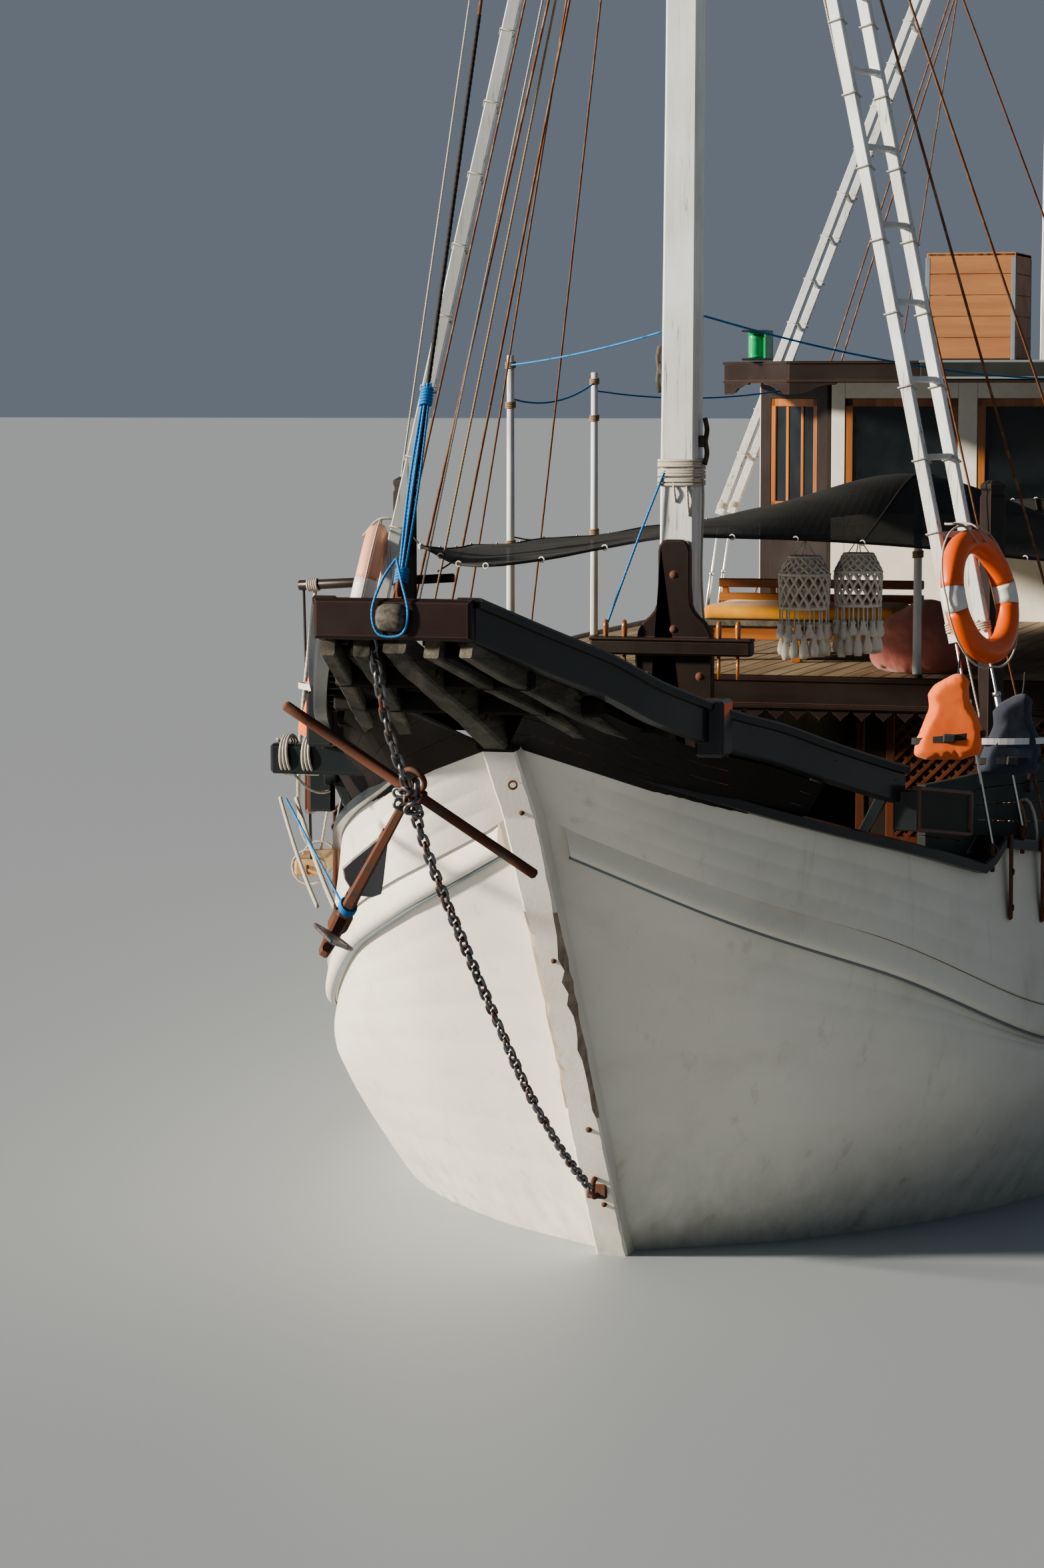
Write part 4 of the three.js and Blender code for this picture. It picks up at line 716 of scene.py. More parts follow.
cloth("pinkCloth", (0.60, 0.22, 0.18), (0.42, 0.13, 0.11), 240, 0.35)
net("blackNet", (0.020, 0.020, 0.019), 0.006, 0.84)
glass("darkGlass", (0.007, 0.010, 0.013))
glass("greenLens", (0.02, 0.30, 0.12), 0.12)
glass("redLens", (0.42, 0.02, 0.015), 0.12)
print("finishes ready")


# Hull lines in metres: each row runs from the stem to the transom.
lines = {
    "knots": (0, 0.03, 0.08, 0.15, 0.25, 0.4, 0.6, 0.8, 0.92, 1),
    "keel": (5.4, -8.95, (-1.28, -1.3, -1.32, -1.35, -1.38, -1.42, -1.42, -1.15, -0.45, 0.05),
             (0.09,) * 10),
    "garboard": (6.3, -9.02, (-1.0, -1.08, -1.12, -1.15, -1.2, -1.24, -1.22, -0.88, -0.2, 0.16),
                 (0.08, 0.3, 0.55, 0.85, 1.15, 1.35, 1.3, 0.85, 0.55, 0.62)),
    "bilge": (6.86, -9.1, (-0.5, -0.6, -0.7, -0.8, -0.85, -0.9, -0.85, -0.5, 0.08, 0.34),
              (0.08, 0.5, 1.0, 1.45, 1.8, 2.0, 1.95, 1.48, 1.08, 1.02)),
    "waterline": (7.27, -9.2, (0, 0, -0.05, -0.1, -0.2, -0.3, -0.25, 0.05, 0.42, 0.6),
                  (0.08, 0.8, 1.45, 1.93, 2.24, 2.37, 2.31, 2.01, 1.64, 1.42)),
    "topside": (7.87, -9.28, (0.9, 0.85, 0.75, 0.62, 0.45, 0.25, 0.25, 0.5, 0.8, 0.92),
                (0.08, 1.0, 1.72, 2.13, 2.36, 2.49, 2.48, 2.28, 1.94, 1.66)),
    "waleFoot": (8.71, -9.42, (2.17, 1.793, 1.428, 0.951, 0.676, 0.571, 0.585, 0.78, 1.0, 1.13),
                 (0.08, 0.77, 1.38, 1.92, 2.28, 2.49, 2.5, 2.36, 2.06, 1.76)),
    "waleHead": (8.82, -9.44, (2.33, 1.962, 1.612, 1.134, 0.851, 0.734, 0.745, 0.94, 1.16, 1.29),
                 (0.08, 0.79, 1.39, 1.92, 2.28, 2.49, 2.5, 2.36, 2.07, 1.77)),
    "sheerKnots": (0, 0.012, 0.03, 0.06, 0.1, 0.15, 0.22, 0.3, 0.4, 0.52, 0.64, 0.76, 0.86, 0.94, 1),
    "sheer": (9.17, -9.5,
              (2.69, 2.533, 2.408, 2.225, 2.032, 1.813, 1.655, 1.56, 1.525, 1.54, 1.58, 1.7, 1.88, 2.08, 2.25),
              (0.08, 0.49, 0.73, 1.09, 1.43, 1.755, 2.07, 2.29, 2.43, 2.48, 2.46, 2.37, 2.23, 2.06, 1.86)),
    "sheerStep": (0.1366, 0.1457, 0.3, 0.45, 0.15),
    "deck": (7.95, -9.33, (0.04, 0.8, 1.38, 1.79, 2.09, 2.32, 2.34, 2.18, 1.9, 1.64)),
    "deckPlaces": (-9.35, -8.3, -7.2, 5.45, 5.7, 6.9, 8.0),
    "deckHeights": (1.5, 1.38, 1.3, 1.3, 1.4, 1.4, 1.62),
    "stations": 150,
    "bulwark": 0.11,
    "fullness": 0.75,
    "seamDepth": 0.0016,
    "lap": (0.030, 0.10, 0.24),
    "wells": (((-6.74, -1.74, 0.56), (3.34, 1.74, 1.8)), ((4.40, -0.35, 0.70), (5.10, 0.35, 1.7))),
}


# a cubic span between two values with their tangents
def hermite(a, b, tangentA, tangentB, t):
    s = 1 - t
    return (a * (s * s * (1 + 2 * t)) + b * (t * t * (3 - 2 * t))
            + tangentA * (t * s * s) - tangentB * (t * t * s))


def share(x, low, high):
    return min(1, max(0, (x - low) / (high - low)))


# a smooth curve through knots that never overshoots them
def fair(knots, values):
    slopes = [(b - a) / (q - p) for p, q, a, b in zip(knots, knots[1:], values, values[1:])]
    inner = [0 if a * b <= 0 else 2 * a * b / (a + b) for a, b in zip(slopes, slopes[1:])]
    tangents = [slopes[0], *inner, slopes[-1]]

    def at(x):
        i = sum(x > knot for knot in knots[1:-1])
        span = knots[i + 1] - knots[i]
        return hermite(values[i], values[i + 1], tangents[i] * span, tangents[i + 1] * span,
                       share(x, knots[i], knots[i + 1]))

    return at


rowNames = ("keel", "garboard", "bilge", "waterline", "topside", "waleFoot", "waleHead")
rows = {name: (*lines[name][:2], fair(lines["knots"], lines[name][3]), fair(lines["knots"], lines[name][2]))
        for name in rowNames}
rows["sheer"] = (*lines["sheer"][:2], *(fair(lines["sheerKnots"], lines["sheer"][k]) for k in (3, 2)))
deckY = fair(lines["knots"], lines["deck"][2])
deckZ = fair(lines["deckPlaces"], lines["deckHeights"])


def rowPoint(name, u):
    bow, stern, y, z = rows[name]
    return Vector((bow + (stern - bow) * u, y(u), z(u)))


def sheerPoint(u):
    start, end, fadeStart, fadeEnd, height = lines["sheerStep"]
    rise = share(u, start, end) * (1 - share(u, fadeStart, fadeEnd)) * height
    return rowPoint("sheer", u) + Vector((0, 0, rise))


# how far along a row x is, from its bow to its stern
def shareAt(name, x):
    bow, stern = lines[name][:2]
    return (x - bow) / (stern - bow)


def sheerAt(x):
    return sheerPoint(shareAt("sheer", x))


def deckEdgeY(x):
    return deckY(shareAt("deck", x))


# the side of the hull: u from stem to transom, v from keel (0) to sheer (7)
def sidePoint(u, v):
    places = [rowPoint(name, u) for name in rowNames] + [sheerPoint(u)]
    i = min(6, int(v))
    p1, p2 = places[i], places[i + 1]
    if i == 5:
        return p1.lerp(p2, v - i)
    chord = p2 - p1
    before = (p1 - places[i - 1]) if 0 < i < 6 else chord
    after = (places[i + 2] - p2) if i < 4 else chord
    tangents = []
    for other in (before, after):
        middle = (chord.normalized() + other.normalized()).normalized() * chord.length
        tangents.append(chord.lerp(middle, lines["fullness"]))
    return hermite(p1, p2, *tangents, v - i)


def stationOf(k):
    return (k / lines["stations"]) ** 1.35


def sideNormal(u, v):
    way = sidePoint(min(1, u + 0.002), v) - sidePoint(max(0, u - 0.002), v)
    up = sidePoint(u, min(7, v + 0.02)) - sidePoint(u, max(0, v - 0.02))
    out = up.cross(way).normalized()
    return out if out.y > 0 else -out


# planks between the rows: (row below, planks up to the next row)
planking = ((0, 2), (1, 3), (2, 3), (3, 4), (4, 5), (6, 4))


# places up the side, each with whether it lies in a seam
def sectionPlaces():
    seams = {round(start + k / count, 6) for start, count in planking for k in range(count)} - {0.0}
    places = [(0, False)]
    for v in sorted(seams | {5.0}):
        if v == 6.0:
            places += [(6.0, False), (6.004, False), (6.02, False)]
        elif v == 5.0:
            places.append((v, False))
        else:
            places += [(v - 0.02, False), (v, True), (v + 0.02, False)]
    return places + [(7, False)]


def hullHalf(u):
    ring = []
    reach, start, end = lines["lap"]
    proud = reach * share(u, 0, 0.004) * (1 - share(u, start, end))
    for v, sunk in sectionPlaces():
        point = sidePoint(u, v)
        if sunk:
            point -= sideNormal(u, v) * lines["seamDepth"] * share(u, 0.0, 0.01)
        if v > 6:
            point += sideNormal(u, v) * proud * max(0, 1 - (v - 6) / 0.8)
        ring.append(point)
    return ring


# the sheer's line moved inwards, or outwards where the offset is negative
def innerLine(offset):
    top = [sheerPoint(stationOf(k)) for k in range(lines["stations"] + 1)]
    moved = []
    for a, point, b in zip(top[:1] + top, top, top[1:] + top[-1:]):
        flat = (b - a).xy.normalized()
        moved.append(Vector((point.x - flat.y * offset, max(0.03, point.y + flat.x * offset), point.z)))
    return moved


def makeHull():
    shape, rings = Shape(), []
    for k, rim in enumerate(innerLine(lines["bulwark"])):
        u = stationOf(k)
        bow, stern = lines["deck"][:2]
        x = bow + (stern - bow) * u
        edge = Vector((x, deckY(u), deckZ(x) - 0.02))
        half = hullHalf(u) + [rim, rim.lerp(edge, 0.5), edge, Vector((x, edge.y * 0.5, edge.z))]
        rings.append(half + [onSide(p, -1) for p in reversed(half)])
    shape.loft(rings, 0, True, False)
    size = len(rings[0])
    base = (len(rings) - 1) * size
    caps = [[(k, k + 1, size - 2 - k, size - 1 - k),
             (base + k, base + size - 1 - k, base + size - 2 - k, base + k + 1)]
            for k in range(size // 2 - 1)]
    shape.faces += [list(face) for pair in caps for face in pair]
    shape.finishes += [0] * (2 * len(caps))
    shape.rounded += [False] * (2 * len(caps))
    hull = linked("hullShell", meshOf("hullShell", shape, "hullPaint"))
    for low, high in lines["wells"]:
        cutter = Shape()
        cutter.block(low, high, 0, 0.0001)
        tool = linked("hullTool", meshOf("hullTool", cutter, "hullPaint"))
        sunk = hull.modifiers.new("well", "BOOLEAN")
        sunk.object = tool
        sunk.solver = "EXACT"
        baked(hull)
        bpy.data.objects.remove(tool)
    settle(smoothed(hull, 32),
           ["hull", "hull_fore", "hull_aft", "topside_port", "topside_starboard", "topside_bow"])


# the rubbing strake: flush along its head, thick and rounded along its foot
wale = {"start": 0.0012, "thick": 0.058, "section": (
    (1.0, 0.0), (0.97, 0.16), (0.7, 0.52), (0.42, 0.84), (0.26, 0.98), (0.14, 1.0), (0.05, 0.9),
    (0.0, 0.7), (-0.01, 0.4), (0.0, 0.0),
)}


def makeWales():
    shape, rings = Shape(), []
    for u in (stationOf(k) for k in range(lines["stations"] + 1)):
        if u >= wale["start"]:
            foot, head = rowPoint("waleFoot", u), rowPoint("waleHead", u)
            out = Vector((*sideNormal(u, 5.5).xy, 0)).normalized()
            rings.append([foot.lerp(head, up) + out * (reach * wale["thick"] + 0.0006)
                          for up, reach in wale["section"]])
    shape.loft(rings, 0, True)
    # two greyBoard lines run along the wale: a thin dark seam at its head, and a wide dark band under its foot that
    # is a painted shadow
    for at, radius in ((0, 0.006), (8, 0.013)):
        shape.tube([ring[at] for ring in rings], radius, 1, 6)
    port = makePiece("walePort", shape, "hullPaint greyBoard", ["wale_port"])
    port.data.set_sharp_from_angle(angle=math.radians(40))
    mirrorPiece("waleStarboard", port, ["wale_starboard"])


# the dark cap along the top of the hull
cap = {"start": 0.0101, "section": ((0, 0), (0, 0.045), (0.05, 0.055), (0.95, 0.055), (1, 0.045), (1, 0.0))}


def makeCaps():
    shape, rings = Shape(), []
    for k, (out, back) in enumerate(zip(innerLine(-0.045), innerLine(0.15))):
        if stationOf(k) >= cap["start"]:
            rings.append([out.lerp(back, across) + Vector((0, 0, up + 0.0006)) for across, up in cap["section"]])
    shape.loft(rings)
    port = makePiece("capRailPort", shape, "darkGloss", ["cap_rail"])
    mirrorPiece("capRailStarboard", port)


makeHull()
makeWales()
makeCaps()
print("hull ready")


# Stem: the front corners are chafed and broken down to the wood between the wales.
stem = {"half": 0.08, "thick": 0.13, "rings": 150, "wornLow": 1.0, "wornHigh": 1.72, "bare": 0.0155, "seed": 5}


def makeStem():
    shape, rings, worn, half = Shape(), [], [], stem["half"]
    for k in range(stem["rings"] + 1):
        x, _, z = sidePoint(0.0, 7.0 * k / stem["rings"])
        x += 0.0009
        front = x + stem["thick"]
        faded = share(z, stem["wornHigh"], stem["wornHigh"] + 0.3)
        zone = share(z, stem["wornLow"] - 0.25, stem["wornLow"]) * (1 - faded)
        chips = []
        for side in (1, -1):
            rough = abs(noise.noise(Vector((z * 9.0, side * 3.1, stem["seed"])))) * 1.5
            fine = abs(noise.noise(Vector((z * 31.0, side * 7.7, 1.3))))
            chips.append(0.009 + zone * (0.008 + 0.042 * rough * rough + 0.014 * fine) + 0.006 * rough)
        port, starboard = chips
        rings.append([Vector((a, b, z)) for a, b in (
            (x, -half), (x, half), (front - port * 1.1, half), (front, half - port),
            (front, starboard - half), (front - starboard * 1.1, -half))])
        worn.append(chips)
    shape.loft(rings)
    for k, (low, high) in enumerate(zip(worn, worn[1:])):
        for side, edge in ((0, 2), (1, 4)):
            if low[side] + high[side] > 2 * stem["bare"]:
                shape.finishes[k * 6 + edge] = 1
    makePiece("stemPost", shape, "stemPaint wornWood", ["stem"])


def stemFrontAt(z):
    places = [sidePoint(0.0, 7.0 * k / 60) for k in range(61)]
    for low, high in zip(places, places[1:]):
        if low.z <= z <= high.z:
            return low.x + (high.x - low.x) * (z - low.z) / max(1e-6, high.z - low.z) + 0.0009 + stem["thick"]


# iron bolts through the stem, the outlets in the sides, and the chain's eye low on the stem
def makeStemFittings():
    fittings, outlets = Shape(), Shape()
    for z, radius in ((2.36, 0.009), (1.62, 0.009), (0.72, 0.011), (0.30, 0.010)):
        fittings.turned(((0, -0.004), (radius * 1.5, -0.004), (radius * 1.5, 0.003), (radius, 0.012), (0, 0.016)),
                        (stemFrontAt(z), 0.02, z), (1, 0, -0.6), 0, 10)
    x = stemFrontAt(0.40) + 0.03
    fittings.ring((x, 0, 0.40), (0, 1, 0), 0.045, 0.014, 0, 20)
    fittings.block((x - 0.05, -0.05, 0.34), (x - 0.02, 0.05, 0.46))
    fittings.ring((stemFrontAt(2.52) + 0.015, 0.03, 2.50), (1, 0.3, 0.5), 0.018, 0.005, 0, 16, 6)
    makePiece("stemFittings", fittings, "rustIron")
    for u, v, side, radius in ((0.205, 5.9, 1, 0.035), (0.215, 5.72, 1, 0.028), (0.158, 4.72, -1, 0.032)):
        point, out = onSide(sidePoint(u, v), side), onSide(sideNormal(u, v), side)
        outlets.turned([(radius * wide, high) for wide, high in (
            (0.55, 0.02), (0.6, -0.02), (1, -0.02), (1, 0.01), (0.85, 0.016), (0.55, 0.014))], point, out)
        # a black disc in each outlet stands in for its dark hole: painted shade
        outlets.turned([(0, 0), (radius * 0.58, 0), (radius * 0.58, 0.004), (0, 0.004)], point, out, 1, 14, False)
    makePiece("sideOutlets", outlets, "steel blackEnamel")


def makeStern():
    board = Shape()
    board.plate([(-1.6, 1.48), (1.6, 1.48), (1.72, 2.25), (-1.72, 2.25)], (-9.29, 0, 0), (0, 1, 0), (0, 0, 1),
                0.055, 0, 0.006)
    board.blocks([(-9.262, -9.20, y - 0.035, y + 0.035, 1.49, 2.19) for y in (-1.2, -0.6, 0.0, 0.6, 1.2)])
    board.block((-9.49, -1.82, 2.2503), (-9.25, 1.82, 2.3053), 1, 0.012)
    makePiece("transomBoard", board, "houseWhite darkAcross")


screw = {"hub": (-7.46, 0, -1.05), "blades": 3, "bladesAt": Vector((-7.33, 0, -1.05)), "reach": (0.045, 0.272)}
bladeSection = ((-1, 0), (-0.5, 0.8), (0, 1), (0.5, 0.7), (1, 0), (0.5, -0.4), (0, -0.5), (-0.5, -0.4))


def makeUnderWater():
    bevelledCopy("keel", "keelTimber", "hullPaint", 0.012)
    bevelledCopy("rudder", "rudderBlade", "bottomPaint", 0.010, "rudder")
    straps, shape = Shape(), Shape()
    for z in (-0.76, -1.02, -1.30):
        for y in (0.041, -0.041):
            straps.bar((-8.0, y, z), (-8.55, y, z - 0.02), 0.006, 0.06, 0, 0.002)
        for x in (-8.1, -8.25, -8.4):
            straps.rod((x, -0.05, z - 0.01), (x, 0.05, z - 0.01), 0.011, 0, 8)
    makePiece("rudderStraps", straps, "bronze", body="rudder")
    shape.turned(((0, -0.0), (0.03, 0.0), (0.05, 0.02), (0.055, 0.06), (0.055, 0.22), (0.05, 0.2597), (0, 0.2597)),
                 screw["hub"], (1, 0, 0), 0, 24)
    for turn in (Matrix.Rotation(angle, 3, "X") for angle in anglesOf(screw["blades"])):
        rings = []
        for s in (k / 10 for k in range(11)):
            reach = screw["reach"][0] + s * screw["reach"][1]
            chord = (0.115 * math.sin(math.pi * min(0.97, 0.16 + 0.80 * s)) ** 0.65 + 0.012) * 0.72
            pitch = Matrix.Rotation(math.atan2(0.36, 2 * math.pi * max(reach, 0.08) * 0.62), 2)
            thick = 0.014 * (1 - 0.7 * s)
            ring = []
            for a, b in bladeSection:
                y, x = pitch.inverted() @ Vector((a * chord, -b * thick))
                ring.append(turn @ Vector((-x, y, reach)) + screw["bladesAt"])
            rings.append(ring)
        shape.loft(rings, 0, True)
    makePiece("screw", shape, "bronze", ["propeller"], "propeller")


makeStem()
makeStemFittings()
makeStern()
makeUnderWater()
print("stem, stern and under-water pieces ready")


# Planked decks. A deck board runs fore and aft and ends where the edge or an opening cuts it.
deck = {"thick": 0.02, "gap": 0.005, "step": 0.12, "seed": 7}


def boardRuns(y, wide, openings, edgeAt, start, end):
    runs, x = [[]], start
    while x <= end + 1e-6:
        inside = abs(y) + wide / 2 < edgeAt(x) - 0.02
        if inside and not any(low - 0.001 < x < high + 0.001 and abs(y) < half for low, high, half in openings):
            runs[-1].append(x)
        elif runs[-1]:
            runs.append([])
        x += deck["step"]
    return [(run[0], run[-1]) for run in runs if run and run[-1] - run[0] > 0.2]


def layBoards(shape, heightAt, edgeAt, start, end, openings, wide):
    chance = random.Random(deck["seed"])
    half, count = wide / 2 - deck["gap"] / 2, int(2.6 / wide)
    for y in (k * wide for k in range(-count, count + 1)):
        for low, high in boardRuns(y, wide, openings, edgeAt, start, end):
            cuts, joint = [low], low + chance.uniform(1.5, 4.5)
            while joint < high - 0.5:
                cuts.append(joint)
                joint += chance.uniform(3.5, 5.0)
            for a, b in zip(cuts, cuts[1:] + [high]):
                finish, places = chance.randrange(2), [a + 0.002]
                while places[-1] + 0.9 < b:
                    places.append(places[-1] + 0.6)
                section = [(-half, -deck["thick"]), (half, -deck["thick"]), (half, -0.003), (half - 0.003, 0),
                           (0.003 - half, 0), (-half, -0.003)]
                shape.loft([[Vector((x, y + out, heightAt(x) + up)) for out, up in section]
                            for x in places + [b - 0.002]],
                           finish)


def makeMainDeck():
    boards, edge, floor = Shape(), Shape(), Shape()
    layBoards(boards, deckZ, deckEdgeY, -9.2, 7.8, [(-6.74, 3.34, 1.78), (4.33, 5.17, 0.46)], 0.135)
    makePiece("mainDeckBoards", boards, "deckWood deckPale")
    section = ((-0.10, -0.01), (0.01, -0.01), (0.01, 0.035), (-0.085, 0.03), (-0.10, 0.02))
    edge.loft([[Vector((x, deckEdgeY(x) + out, deckZ(x) + up)) for out, up in section]
               for x in (-9.25 + 0.3 * k for k in range(57))])
    mirrorPiece("waterwayStarboard", makePiece("waterwayPort", edge, "darkGloss"))
    for y in (k * 0.138 for k in range(-12, 13)):
        floor.block((-6.72, y - 0.066, 0.5605), (3.32, y + 0.066, 0.58), 0, 0.003)
    makePiece("saloonFloor", floor, "deckWood")


upperOutline = [(3.895, 1.94), (2.5, 2.11), (0, 2.19), (-4, 2.21), (-6.5, 2.09), (-8.49, 1.84)]


def upperEdgeY(x):
    places = ((-8.5, 1.85), (-6.5, 2.1), (-4.0, 2.22), (0.0, 2.2), (2.5, 2.12), (3.9, 1.95))
    for (x0, y0), (x1, y1) in zip(places, places[1:]):
        if x0 <= x <= x1:
            return y0 + (y1 - y0) * (x - x0) / (x1 - x0) + 0.02
    return 0


def makeUpperDeck():
    boards, slab, trim, beams = Shape(), Shape(), Shape(), Shape()
    layBoards(boards, lambda x: 2.6, upperEdgeY, -8.46, 3.87, [], 0.12)
    makePiece("upperDeckBoards", boards, "deckWood deckPale", ["upper_deck"])
    slab.plate(upperOutline + [(x, -y) for x, y in reversed(upperOutline)], (0, 0, 2.55), (1, 0, 0), (0, 1, 0),
               0.058, 0, 0.003)
    makePiece("upperDeckSlab", slab, "houseWhite")
    for (x0, y0), (x1, y1) in zip(upperOutline, upperOutline[1:]):
        for side in (1, -1):
            trim.bar((x0, side * y0, 2.545), (x1, side * y1, 2.545), 0.035, 0.13, 0, 0.010)
            trim.bar((x0, side * (y0 + 0.016), 2.594), (x1, side * (y1 + 0.016), 2.594), 0.055, 0.022, 0, 0.008)
    trim.bar((-8.495, -1.85, 2.545), (-8.495, 1.85, 2.545), 0.035, 0.13, 0, 0.010)
    trim.block((3.888, -1.98, 2.43), (3.94, 1.98, 2.608), 0, 0.010)
    trim.block((3.93, -1.985, 2.585), (3.955, 1.985, 2.625), 0, 0.010)
    trim.block((3.93, -1.98, 2.43), (3.95, 1.98, 2.462), 0, 0.008)
    half = [(0.055, 2.432), (0.045, 2.405), (0.018, 2.385)]
    drop = half + [(0, 2.365)] + [(-y, z) for y, z in reversed(half)]
    for k in range(-15, 16):
        trim.plate(drop, (3.915, k * 0.125, 0), (0, 1, 0), (0, 0, 1), 0.018, 0, 0.003)
    makePiece("upperDeckTrim", trim, "darkAcross")
    beams.blocks([(x - 0.03, x + 0.03, -1.84, 1.84, 2.46, 2.5225) for x in (3.4 - k * 0.8 for k in range(14))])
    makePiece("upperDeckBeams", beams, "darkAcross")


def makeHatch():
    coaming, lid = Shape(), Shape()
    coaming.blocks([(4.335, 4.365, -0.415, 0.415, 1.3, 1.449), (5.135, 5.155, -0.415, 0.415, 1.3, 1.449),
                    (4.335, 5.155, -0.415, -0.395, 1.3, 1.449), (4.335, 5.155, 0.395, 0.415, 1.3, 1.449)], 0, 0.004)
    makePiece("hatchCoaming", coaming, "darkAcross")
    lid.blocks([(4.34, 5.146, y + 0.002, y + 0.1347, 1.452, 1.488)
                for y in (-0.41 + k * 0.1367 for k in range(6))], 0, 0.005)
    lid.blocks([(x - 0.035, x + 0.035, -0.39, 0.39, 1.482, 1.490) for x in (4.45, 5.02)], 1, 0.003)
    for y in (-0.25, 0.25):
        lid.block((5.08, y - 0.055, 1.464), (5.1623, y + 0.055, 1.490), 2, 0.003)
        lid.rod((5.1623, y - 0.06, 1.462), (5.1623, y + 0.06, 1.462), 0.012, 2, 16)
    lid.ring((4.50, 0, 1.4905), (0, 0.2, 1), 0.04, 0.006, 2)
    makePiece("hatchLid", lid, "deckWood darkAcross bronze", ["hatch_lid"], "hatch_lid")


makeMainDeck()
makeUpperDeck()
makeHatch()
print("decks ready")


# Bow platform, its timbers and rails.
railPath = [Vector(p) for p in (
    (10.64, 0.335, 3.318), (10.2, 0.51, 3.17), (9.8, 0.665, 3.04), (9.5, 0.775, 2.92), (9.2, 0.87, 2.83),
    (8.9, 0.965, 2.745), (8.5, 1.1, 2.655), (8.1, 1.245, 2.54), (7.6, 1.42, 2.41), (7.48, 1.46, 2.385),
)]


# the point at x on a path that runs aft
def along(path, x):
    for a, b in zip(path, path[1:]):
        if b.x <= x <= a.x:
            return b.lerp(a, (x - b.x) / (a.x - b.x))
    return path[0] if x > path[0].x else path[-1]


def railAt(x):
    return along(railPath, x)


def makePlatform():
    floor, x = Shape(), 9.2
    heights = [Vector((x, 0, z)) for x, z in ((10.64, 3.24), (10.2, 3.1), (9.8, 2.98), (9.5, 2.88), (9.2, 2.8))]
    while x < 10.60:
        middle = (x + min(x + 0.112, 10.635)) / 2
        y, z = railAt(middle).y - 0.068, along(heights, middle).z + 0.022
        for side in (-1, 1):
            inner = 0.082 if x > 10.12 else 0.0
            floor.bar((x + 0.056, side * inner, z), (x + 0.056, side * y, z), 0.104, 0.036)
        x += 0.114
    floor.block((10.632, -0.268, 3.236), (10.70, 0.268, 3.40), 1, 0.012)
    front = [(-0.335, 3.235), (0.335, 3.235), (0.335, 3.40), (-0.335, 3.40)]
    floor.plate(front, (10.673, 0, 0), (0, 1, 0), (0, 0, 1), 0.064, 1, 0.014)
    for x, y, z in ((10.15, 0.44, 3.085), (9.7, 0.61, 2.945), (9.32, 0.73, 2.84)):
        floor.block((x - 0.04, 0.01 - y, z - 0.085), (x + 0.04, y - 0.01, z - 0.002), 2, 0.012)
    for side in (-1, 1):
        floor.bar((10.6, side * 0.20, 3.19), (9.25, side * 0.36, 2.78), 0.05, 0.07, 2, 0.008)
    makePiece("platformFloor", floor, "darkAcross fasciaRed darkInside", ["bow_platform"])


# each timber: points along its middle, then half its width and depth at the foot and at the head
timberRows = [
    ([(9.26, 0, 2.73), (9.7, 0, 2.89), (10.1, 0, 3.02), (10.45, 0, 3.14), (10.66, 0, 3.225)], 0.062, 0.075,
     0.050, 0.050),
    ([(8.98, 0.42, 2.66), (9.35, 0.40, 2.79), (9.8, 0.31, 2.94), (10.2, 0.23, 3.06), (10.64, 0.15, 3.20)], 0.036,
     0.062, 0.034, 0.040),
    ([(8.85, 0.66, 2.66), (9.3, 0.58, 2.79), (9.75, 0.48, 2.92), (10.2, 0.38, 3.06), (10.64, 0.295, 3.20)],
     0.036, 0.070, 0.030, 0.038),
]
timberSection = ((-1, -0.82), (-0.8, -1), (0.8, -1), (1, -0.82), (1, 0.85), (0.82, 1), (-0.82, 1), (-1, 0.85))


def timber(shape, row, side):
    path, footHalf, footDeep, headHalf, headDeep = row
    smooth = resampled([onSide(p, side) for p in path], 0.05)
    last, rings = len(smooth) - 1, []
    for k, point in enumerate(smooth):
        way = (smooth[min(last, k + 1)] - smooth[max(0, k - 1)]).normalized()
        across = Vector((0, 0, 1)).cross(way).normalized()
        rough = 0.004 * noise.noise(point * 6.0)
        one = across * (footHalf + (headHalf - footHalf) * k / last + rough)
        two = way.cross(across) * (footDeep + (headDeep - footDeep) * k / last + rough)
        rings.append([point + one * a + two * b for a, b in timberSection])
    shape.loft(rings)


